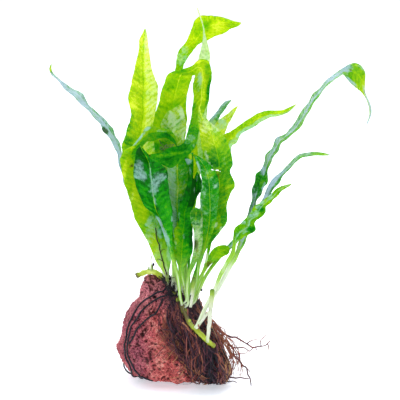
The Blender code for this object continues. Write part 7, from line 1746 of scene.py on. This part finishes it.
    # no two cells at the rim of a hole may meet by a corner alone
    for _ in range(4):
        fall = keep[:-1, :-1] & keep[1:, 1:] & ~keep[:-1, 1:] & ~keep[1:, :-1]
        rise = keep[:-1, 1:] & keep[1:, :-1] & ~keep[:-1, :-1] & ~keep[1:, 1:]
        keep[:-1, :-1] &= ~fall
        keep[:-1, 1:] &= ~rise
    ii, jj = np.nonzero(keep)
    quads = [np.stack([T[ii, jj], T[ii, jj + 1], T[ii + 1, jj + 1], T[ii + 1, jj]], -1),
             np.stack([B[ii, jj], B[ii + 1, jj], B[ii + 1, jj + 1], B[ii, jj + 1]], -1)]
    full = np.zeros((na + 1, nc + 1), bool)
    full[1:na, 1:nc] = keep
    for i in range(na - 1):
        row = full[i + 1]
        for j in np.nonzero(row[1:] != row[:-1])[0]:
            if row[j + 1]:      # a wall on the left of a kept face
                quads.append(np.array([[T[i, j], T[i + 1, j], B[i + 1, j], B[i, j]]]))
            else:
                quads.append(np.array([[T[i, j], B[i, j], B[i + 1, j], T[i + 1, j]]]))
    for j in range(nc - 1):
        col = full[:, j + 1]
        for i in np.nonzero(col[1:] != col[:-1])[0]:
            if col[i + 1]:
                quads.append(np.array([[T[i, j], B[i, j], B[i, j + 1], T[i, j + 1]]]))
            else:
                quads.append(np.array([[T[i, j], T[i, j + 1], B[i, j + 1], B[i, j]]]))
    quads = np.vstack(quads)
    verts = np.concatenate([top.reshape(-1, 3), bot.reshape(-1, 3)])
    # looks
    b0 = look["blade"]
    on_blade = np.clip((x - b0) / (1 - b0), 0, 1)[:, None] + 0 * S
    # painted light and shade as well as the blade's own colour: how light and yellow each place is, with what each half
    # adds
    fresh_and_lit = along_run(look["fresh_and_lit"], on_blade) + np.where(S < 0, look.get("left", 0.0), look.get("right", 0.0)) * np.minimum(A * 4, 1)
    fresh_and_lit = fresh_and_lit + 0.05 * noise1(runs.ravel() / 0.009 + side_seed.ravel() * 4, seed + 31).reshape(S.shape)
    # painted sheen: how much highlight is painted along the blade, on each half, along the midrib and in streaks
    painted_sheen = along_run(look["painted_sheen"], on_blade)
    painted_sheen = painted_sheen + np.where(S < 0, look.get("bl", 0.0), look.get("br", 0.0)) * smooth(0.10, 0.30, A)
    painted_sheen = painted_sheen + look.get("ribw", 0.0) * np.exp(-(acr / 0.0006) ** 2)
    if "streaks" in look:
        painted_sheen = painted_sheen + look["streaks"] * noise1(acr.ravel() * 900 + runs.ravel() * 22, seed + 41).reshape(S.shape)
        painted_sheen = painted_sheen + look["streaks"] * noise1(runs.ravel() / 0.007 + side_seed.ravel() * 7, seed + 43).reshape(S.shape)
    pale = 1 - smooth(b0 * 0.62, b0 * 1.12, x)[:, None] + 0 * S
    pale = pale * (0.66 + 0.34 * smooth(0.55, 0.0, x / max(b0, 0.01)))[:, None] if look.get("pale") is None else pale * look["pale"]
    streak = 0.70 + 0.45 * noise1(acr.ravel() * 2600 + seed * 3.1, seed + 17).reshape(S.shape)
    pale = np.maximum(pale * (0.82 + 0.25 * streak), smooth(look.get("white", 254), look.get("white", 254) + 36, vv) * streak * (1 - 0.3 * smooth(0.5, 1.0, A)))
    brown = 0 * S
    # marks that lighten or darken the blade paint light and shade, such as the shade between overlapping fronds, as
    # well as the blade's own patches; sheen marks paint highlights and wane marks take them away; pale, brown and olive
    # marks are the blade's own colour
    for kind, u, v, ru, rv, turn, strength in look.get("marks", ()):
        f = spot_in(uu, vv, u, v, ru, rv, turn, seed + int(u)) * strength
        if kind == "fresh_and_lit":
            fresh_and_lit = fresh_and_lit + f
        elif kind == "dark":
            fresh_and_lit = fresh_and_lit - f
        elif kind == "painted_sheen":
            painted_sheen = np.maximum(painted_sheen, f)
        elif kind == "wane":
            painted_sheen = painted_sheen * (1 - f)
        elif kind == "pale":
            pale = np.maximum(pale, f)
        elif kind == "olive":
            brown = np.maximum(brown, f * 0.35)
        else:
            brown = np.maximum(brown, f)
    rib = along_run(np.atleast_1d(look["rib"]), on_blade) * blade_part
    attrs = {"fresh_and_lit": fresh_and_lit, "painted_sheen": painted_sheen * blade_part, "stalk": pale, "brown": brown, "acr": acr, "run": runs, "rib": rib}
    attrs = {k: np.tile(np.clip(val, -1, 1).ravel(), 2) for k, val in attrs.items()}
    SKINS[name] = (verts[:na * nc], [tuple(f) for f in quads if f.max() < na * nc])
    obj = make_mesh(name + "_blade", verts, quads, None, attrs, LEAF_MATS[look["mat"]])
    return place(obj, look["slot"], name)


for frond_name, frond_rows in FRONDS.items():
    blade(frond_name, frond_rows)


# ---------------------------------------------------------------- cut stalks
def stub_material():
    t = Tree("cut_stalk")
    p = t.spot()
    tone = t.attr("tone")
    speck = t.noise(p, 500.0, 2.0, 0.6)
    base = t.ramp(t.maths("ADD", tone, t.maths("MULTIPLY", t.maths("SUBTRACT", speck, 0.5), 0.12)),
                  [(0.0, srgb(58, 36, 18)), (0.12, srgb(86, 78, 20)), (0.3, srgb(112, 158, 18)), (0.5, srgb(164, 198, 62)),
                   (0.72, srgb(214, 226, 170)), (1.0, srgb(240, 242, 226))])
    normal = t.bump(t.noise(p, 900.0, 2.0, 0.6), 0.25, 0.0003)
    sh = t.principled(Base_Color=base, Roughness=0.4, Normal=normal)
    sh.inputs["Coat Weight"].default_value = 0.2
    sh.inputs["Coat Roughness"].default_value = 0.2
    tr = t.nt.nodes.new("ShaderNodeBsdfTranslucent")
    t.nt.links.new(base, tr.inputs["Color"])
    m = t.nt.nodes.new("ShaderNodeMixShader")
    m.inputs[0].default_value = 0.3
    t.nt.links.new(sh.outputs[0], m.inputs[1])
    t.nt.links.new(tr.outputs[0], m.inputs[2])
    return t.finish(m.outputs[0])


STUB_MAT = stub_material()


def stub_part(points, r0, r1, tones, seed, sides=18, round_end=True):
    path = even_path([front(*q) for q in points], 0.0005)
    n = len(path)
    x = np.linspace(0, 1, n)
    run = np.concatenate([[0], np.cumsum(np.linalg.norm(np.diff(path, axis=0), axis=1))])
    path = path + (wander(1, n, 6.0, np.random.default_rng(seed), 0.00018)[0] if n > 8 else 0)
    rad = (r0 + (r1 - r0) * x) * (1 + 0.05 * noise1(run * 420, seed))
    far = run[-1] - run
    if round_end:
        rad = rad * np.sqrt(np.clip(1 - np.clip(1 - far / (r1 * 1.1), 0, 1) ** 2, 0.03, 1))
    v, q, t, strand, along = tubes(path[None], rad[None], sides, (0.1, 0.35, 1.0))
    v = v + unit(v - np.repeat(path, sides, axis=0)) * (fbm(v * 520, 2, seed) * 0.00010)[:, None]
    return v, q, t, {"tone": np.interp(along, np.linspace(0, 1, len(tones)), tones)}


def stub(name, node, *parts):
    v, q, t, a = join_parts([stub_part(*p) for p in parts])
    place(make_mesh(name, v, q, t, a, STUB_MAT), "stem", node)


stub("cut_stalk_inner", "stub_inner",
     ([(190.6, 307.2, -42.8), (191.5, 302.0, -42.0), (192.0, 297.0, -41.0), (193.2, 288.0, -40.0), (194.0, 281.5, -40.0), (194.0, 276.6, -40.2)],
      0.0010, 0.0013, [0.9, 1.0, 0.95, 0.75, 0.5, 0.38, 0.2], 5))
stub("cut_stalk_front", "stub_front",
     ([(207.3, 341.4, -53.6), (207.8, 337.0, -55.0), (209.2, 325.0, -54.4), (211.0, 307.0, -53.0), (212.1, 294.5, -52.2), (212.3, 288.8, -52.0)],
      0.0012, 0.0018, [0.7, 0.95, 1.0, 0.95, 0.88, 0.66, 0.22], 6),
     ([(198.3, 325.6, -52.4), (202.0, 320.6, -53.0), (206.2, 315.4, -53.4), (210.0, 310.4, -53.2)], 0.0010, 0.0009, [0.8, 1.0, 0.95, 0.8], 7))
stub("cut_stalk_left", "stub_left",
     ([(151.9, 271.6, -11.0), (152.2, 268.4, -10.8), (152.8, 265.2, -10.6)], 0.0011, 0.0009, [0.6, 0.35, 0.02], 8),
     ([(151.2, 270.0, -12.6), (150.9, 263.0, -13.4), (151.6, 255.6, -14.0)], 0.0007, 0.0004, [0.6, 0.7, 0.75], 9))
stub("cut_stalk_small", "stub_left_small",
     ([(148.4, 271.4, -11.6), (148.8, 268.2, -12.2), (148.6, 266.0, -12.2)], 0.0009, 0.00035, [0.55, 0.4, 0.3], 10))

# ---------------------------------------------------------------- the binding thread
def thread_material():
    t = Tree("binding_thread")
    p = t.spot()
    ply = t.attr("ply")
    fine = t.noise(p, 2600.0, 2.0, 0.6)
    base = t.ramp(t.maths("ADD", t.maths("MULTIPLY", fine, 0.6), t.maths("MULTIPLY", ply, 0.4)),
                  [(0.2, srgb(3, 3, 14)), (0.55, srgb(9, 8, 34)), (0.85, srgb(28, 26, 72))])
    sh = t.principled(Base_Color=base, Roughness=0.6, Normal=t.bump(fine, 0.4, 0.0002))
    sh.inputs["Sheen Weight"].default_value = 0.12
    return t.finish(sh.outputs[0])


THREAD_MAT = thread_material()


def skin_ray(origin, direction, tree):
    hit = tree.ray_cast(Vector(origin), Vector(direction))
    return None if hit[0] is None else (np.array(hit[0]), np.array(hit[1]))


def lay_front(u, v, lift):
    d = unit(sight(u, v))
    got = skin_ray(EYE, d, SMOOTH_SKIN)
    if got is None:
        near = front(u, v, 0.0)
        hit = np.array(SMOOTH_SKIN.find_nearest(Vector(near))[0])
        out = unit(near - hit)
    else:
        hit, out = got
        out = -out if out @ d > 0 else out
    p = hit + out * lift
    p[2] = max(p[2], 0.0012)
    return p


def lay_back(x, z, lift):
    got = skin_ray((x * 0.001, 0.3, z * 0.001), (0.0, -1.0, 0.0), SMOOTH_SKIN)
    if got is None:
        near = np.array((x * 0.001, 0.002, z * 0.001))
        hit = np.array(SMOOTH_SKIN.find_nearest(Vector(near))[0])
        out = unit(near - hit)
    else:
        hit, out = got
        out = -out if out[1] < 0 else out
    p = hit + out * lift
    p[2] = max(p[2], 0.0012)
    return p


TURNS = {
    "thread_outer": ([(165.0, 290.0), (157.0, 293.4), (149.4, 298.4), (141.6, 305.4), (136.6, 312.0), (133.2, 318.6),
                      (130.4, 326.0), (128.6, 333.0), (127.0, 341.0), (125.4, 348.0), (126.0, 356.0),
                      (130.0, 365.0), (132.8, 371.0)],
                     [(-30.0, -8.0, 2.2), (-30.0, 6.0, 2.2)],
                     [(-30.5, 6.0), (-30.0, 16.0), (-30.0, 32.0), (-27.0, 46.0), (-21.5, 57.5), (-14.5, 67.0)],
                     [(-8.2, 3.0, 75.0)]),
    "thread_inner": ([(167.6, 294.4), (160.0, 297.8), (152.6, 302.4), (145.0, 309.0), (140.4, 315.0), (137.4, 320.4),
                      (133.4, 326.0), (131.4, 333.0), (129.6, 339.0), (128.2, 346.0), (128.8, 356.0),
                      (132.8, 364.6), (136.2, 370.6), (140.6, 375.0)],
                     [(-26.0, -8.0, 1.3), (-26.0, 6.0, 1.3)],
                     [(-25.5, 5.0), (-25.0, 14.0), (-25.5, 30.0), (-22.5, 44.0), (-16.5, 55.0), (-9.5, 63.5)],
                     [(-5.0, 4.0, 72.0)]),
    "thread_third": ([(163.2, 299.6), (157.0, 313.0), (151.0, 316.4), (144.0, 322.4), (138.4, 328.4), (135.6, 334.0), (132.6, 339.5), (130.4, 344.0)], None, None, None),
    "thread_loose": ([(125.0, 358.6), (123.8, 363.6), (124.8, 368.2), (128.2, 372.2), (133.0, 374.4), (138.2, 376.2)], None, None, None),
}


def twisted(path, ply_r, twist, closed):
    """Two plies wound round each other along a path."""
    n = len(path)
    run = np.concatenate([[0], np.cumsum(np.linalg.norm(np.diff(path, axis=0), axis=1))])
    total = run[-1]
    turns = max(1, round(total / twist))
    tan = np.gradient(path, axis=0)
    if closed:
        tan = np.roll(path, -1, 0) - np.roll(path, 1, 0)
    tan = unit(tan)
    side = unit(np.cross(tan, (0.23, 0.11, 1.0)))
    up = np.cross(side, tan)
    ang = run / total * turns * 2 * math.pi
    parts = []
    for k in (0, 1):
        a = ang + k * math.pi
        line = path + (side * np.cos(a)[:, None] + up * np.sin(a)[:, None]) * (ply_r * 0.86)
        rad = ply_r * (1 + 0.08 * noise1(run * 900, k + 2))
        v, q, t, strand, along = tubes(line[None], rad[None], 6, (0.23, 0.11, 1.0))
        parts.append((v, q, t, {"ply": np.full(len(v), float(k)) * 0.6 + 0.3 * noise1(along * total * 300, 4)}))
    return join_parts(parts)


def thread(name, node):
    face, under, back, over = TURNS[node]
    rise = 0.0006
    if node == "thread_loose":
        path = [front(u, v, -7.0 - k) for k, (u, v) in enumerate(face)]
        path += [lay_front(u, v, 0.0010) for u, v in ((143.0, 376.2), (148.0, 378.2), (153.0, 379.6))]
    else:
        path = [lay_front(u, v, rise) for u, v in face]
        if back:
            path += [np.array(q) * 0.001 for q in under]
            path += [lay_back(x, z, rise) for x, z in back]
            path += [np.array(q) * 0.001 for q in over]
    closed = back is not None
    line = even_path(path, 0.00042, closed=closed)
    if closed:
        line = np.vstack([line, line[:1]])
    if node != "thread_loose":
        # pulled tight: it bridges the pits and bears on the high places
        need = np.zeros(len(line))
        outs = np.zeros_like(line)
        for k, p in enumerate(line):
            hit, normal, _, dist = SMOOTH_SKIN.find_nearest(Vector(p))
            out = np.array(p) - np.array(hit)
            size = np.linalg.norm(out)
            n = np.array(normal)
            if size > 1e-6 and abs(out @ n) / size > 0.5:
                n = n if n @ out > 0 else -n
            centre = np.array((0.0, -0.004, 0.034))
            if n @ (np.array(hit) - centre) < 0:
                n = -n
            base = np.array(hit)
            got = skin_ray(base + n * 0.006, -n, STONE_SKIN)
            height = 0.0 if got is None else (got[0] - base) @ n
            outs[k] = n
            need[k] = height - (p - base) @ n
        level = need.copy()
        for shift in range(-6, 7):
            level = np.maximum(level, np.roll(need, shift))
        kernel = np.hanning(15)
        kernel /= kernel.sum()
        level = np.convolve(np.pad(level, 7, mode="wrap" if closed else "edge"), kernel, mode="valid")
        line = line + outs * (level + 0.00050)[:, None]
        for _ in range(2):
            line[1:-1] = (line[:-2] + 2 * line[1:-1] + line[2:]) / 4
    line[:, 2] = np.maximum(line[:, 2], 0.00078)
    v, q, t, a = twisted(line, 0.00041, 0.0021, closed)
    return place(make_mesh(name, v, q, t, a, THREAD_MAT), "thread", node)


thread("thread_turn_outer", "thread_outer")
thread("thread_turn_inner", "thread_inner")
thread("thread_turn_third", "thread_third")
thread("thread_end", "thread_loose")

# ---------------------------------------------------------------- rootlets on the fronds
def on_frond(name, spots, lift=0.0003):
    """Points of a frond's surface at places of the elevation."""
    verts, faces = SKINS[name]
    tree = BVHTree.FromPolygons([tuple(p) for p in verts], faces)
    out = []
    for u, v in spots:
        d = unit(sight(u, v))
        got = skin_ray(EYE, d, tree)
        if got is None:
            if out:
                out.append(front(u, v, out[-1][1] * 1000))
            continue
        out.append(got[0] - d * lift)
    return out


ROOTLET = root_material("rootlet", [(0.0, srgb(40, 22, 12)), (0.4, srgb(66, 58, 26)), (0.7, srgb(104, 96, 58)), (1.0, srgb(178, 168, 120))])


def rootlets(name, strands):
    parts = []
    for pts, r0, r1, t0, t1 in strands:
        if len(pts) >= 3:
            parts.append(strand_part(pts, r0 * 0.001, r1 * 0.001, t0, t1, step=0.0007, kink=0.00016, is_world=True))
    v, q, t, a = join_parts(parts)
    return place(make_mesh(name, v, q, t, a, ROOTLET), "root")


def curl(u, v, r, turns, y, start=0.0, squash=0.7, lift=0.0):
    """A little curled rootlet seen at u, v."""
    n = int(10 * turns) + 4
    out = []
    for k in range(n):
        f = k / (n - 1)
        a = start + f * turns * 2 * math.pi
        rr = r * (1 - 0.55 * f)
        out.append(front(u + rr * math.cos(a), v + rr * squash * math.sin(a), y - 1.6 * f + 0.8 * math.sin(a)))
    return out


brown_line = on_frond("frond_low_left_arch", [(155.7, 228), (156.6, 236), (158.6, 244), (160.6, 252), (162.6, 260), (164.8, 268), (167.4, 275)])
brown_side = on_frond("frond_low_left_arch", [(163.0, 261.5), (160.4, 259.6), (158.0, 259.0), (156.6, 260.4)])
rootlets("rootlets_arch", [
    (brown_line, 0.42, 0.50, 0.06, 0.02), (brown_side, 0.30, 0.16, 0.1, 0.25),
    (on_frond("frond_low_left_arch", [(160.5, 252.0), (163.5, 249.5), (165.5, 250.5)]), 0.22, 0.14, 0.1, 0.2)])
base_y = fan(146.0, -12.0)
rootlets("rootlets_curled", [
    (curl(162.5, 148.0, 2.6, 1.2, base_y, 0.4), 0.24, 0.12, 0.7, 0.95), (curl(166.5, 146.5, 2.2, 1.4, base_y, 2.0, 0.9), 0.22, 0.12, 0.75, 0.95),
    (curl(171.5, 146.0, 2.4, 1.1, base_y, 3.4, 0.8), 0.22, 0.12, 0.7, 0.9), (curl(163.0, 153.0, 1.9, 1.0, base_y, 5.0, 0.8), 0.20, 0.11, 0.65, 0.9),
    (curl(168.6, 150.4, 1.7, 1.2, base_y, 1.0, 0.9), 0.20, 0.11, 0.6, 0.85),
    ([front(159.0, 139.5, base_y - 2), front(161.0, 143.0, base_y - 2), front(164.4, 146.0, base_y - 1), front(168.4, 147.6, base_y),
      front(172.0, 146.6, base_y), front(174.6, 143.0, base_y - 1)], 0.26, 0.18, 0.5, 0.75)])

# a green bud on the creeping stem and a dark crumb caught on a stalk
def bead(name, spots, mat, slot):
    parts = []
    for q, r, squash, turn, tone in spots:
        c = front(*q)
        n, m = 9, 12
        th = np.linspace(0.02, math.pi - 0.02, n)[:, None]
        ph = (np.arange(m) / m * 2 * math.pi)[None, :]
        x, y, z = r * np.sin(th) * np.cos(ph), r * np.sin(th) * np.sin(ph), r * squash * np.cos(th) + 0 * ph
        a = math.radians(turn)
        p = np.stack([x * math.cos(a) + z * math.sin(a), y, -x * math.sin(a) + z * math.cos(a)], -1).reshape(-1, 3)
        p = c + p * (1 + 0.16 * fbm(p * 900 + c * 50, 2, 3))[:, None]
        idx = np.arange(n * m).reshape(n, m)
        nxt = np.roll(idx, -1, 1)
        quads = np.stack([idx[:-1], idx[1:], nxt[1:], nxt[:-1]], -1).reshape(-1, 4)
        k = len(p)
        p = np.vstack([p, p[idx[0]].mean(0), p[idx[-1]].mean(0)])
        tris = np.concatenate([np.stack([np.full(m, k), idx[0], nxt[0]], -1), np.stack([np.full(m, k + 1), nxt[-1], idx[-1]], -1)])
        parts.append((p, quads, tris, {"tone": np.full(len(p), tone), "scale": np.zeros(len(p))}))
    v, q, t, a = join_parts(parts)
    return place(make_mesh(name, v, q, t, a, mat), slot)


bead("stem_buds", [((177.8, 299.6, -36.0), 0.0014, 1.3, 30, 0.50), ((174.6, 294.0, -31.5), 0.0012, 1.1, 10, 0.35), ((189.6, 320.8, -48.8), 0.0011, 1.1, 40, 0.6)],
     STEM_MAT, "stem")
bead("crown_crumbs", [((201.6, 290.0, -34.6), 0.0008, 1.1, 20, 0.02), ((153.4, 264.6, -11.6), 0.0009, 1.3, 0, 0.08)], CORE, "root")


# ---------------------------------------------------------------- the white stage and its light
def build_stage():
    n = 96
    a = np.arange(n) / n * 2 * math.pi
    rings = [0.0, 0.3, 1.0, 3.0, 12.0]
    pts = [(0.0, 0.0, -0.0004)]
    for r in rings[1:]:
        pts += [(r * math.cos(x), r * math.sin(x), -0.0004) for x in a]
    tris = [(0, 1 + k, 1 + (k + 1) % n) for k in range(n)]
    quads = []
    for j in range(len(rings) - 2):
        b = 1 + j * n
        quads += [(b + k, b + n + k, b + n + (k + 1) % n, b + (k + 1) % n) for k in range(n)]
    t = Tree("stage_white")
    sh = t.principled(Base_Color=(0.80, 0.82, 0.86), Roughness=0.9)
    sh.inputs["Specular IOR Level"].default_value = 0.1
    sh.inputs["Emission Color"].default_value = (0.88, 0.93, 1.0, 1.0)
    far = t.nt.nodes.new("ShaderNodeVectorMath")
    far.operation = "LENGTH"
    t.nt.links.new(t.spot(), far.inputs[0])
    t.put(sh.inputs["Emission Strength"], t.fit(far.outputs["Value"], 0.35, 1.6, 0.56, 0.82))
    obj = make_mesh("stage_floor", np.array(pts), quads, tris, None, t.finish(sh.outputs[0]))


build_stage()

world = bpy.data.worlds.new("world")
bpy.context.scene.world = world
world.use_nodes = True
nt = world.node_tree
nt.nodes.clear()
# a bright sweep behind the plant, a dimmer room in front of it
sky = nt.nodes.new("ShaderNodeBackground")
way = nt.nodes.new("ShaderNodeTexCoord")
parts = nt.nodes.new("ShaderNodeSeparateXYZ")
nt.links.new(way.outputs["Generated"], parts.inputs[0])
fall = nt.nodes.new("ShaderNodeMapRange")
fall.interpolation_type = "SMOOTHSTEP"
for key, value in (("From Min", -0.45), ("From Max", 0.35), ("To Min", 0.26), ("To Max", 1.10)):
    fall.inputs[key].default_value = value
nt.links.new(parts.outputs["Y"], fall.inputs["Value"])
nt.links.new(fall.outputs[0], sky.inputs["Strength"])
sky.inputs["Color"].default_value = (0.97, 0.99, 1.0, 1.0)
nt.links.new(sky.outputs[0], nt.nodes.new("ShaderNodeOutputWorld").inputs[0])


def lamp(name, energy, size, where, aim, colour=(1, 1, 1), size_y=None):
    data = bpy.data.lights.new(name, "AREA")
    data.energy = energy
    data.color = colour
    data.shape = "RECTANGLE" if size_y else "SQUARE"
    data.size = size
    if size_y:
        data.size_y = size_y
    obj = bpy.data.objects.new(name, data)
    bpy.context.scene.collection.objects.link(obj)
    obj.location = where
    obj.rotation_euler = (Vector(aim) - Vector(where)).to_track_quat("-Z", "Y").to_euler()


lamp("lamp_top", 24.0, 2.2, (0.1, 0.25, 1.9), (0.0, 0.0, 0.1), (1.0, 1.0, 1.0))
lamp("lamp_back", 6.0, 0.9, (0.25, 0.95, 0.95), (0.0, 0.0, 0.15), (1.0, 0.99, 0.95))
lamp("lamp_front", 8.0, 0.7, (-0.45, -1.05, 0.95), (0.0, 0.0, 0.15), (0.93, 0.97, 1.0))

scene = bpy.context.scene
scene.view_settings.view_transform = "Standard"
scene.view_settings.look = "None"
scene.view_settings.exposure = 0.0
scene.view_settings.gamma = 1.0
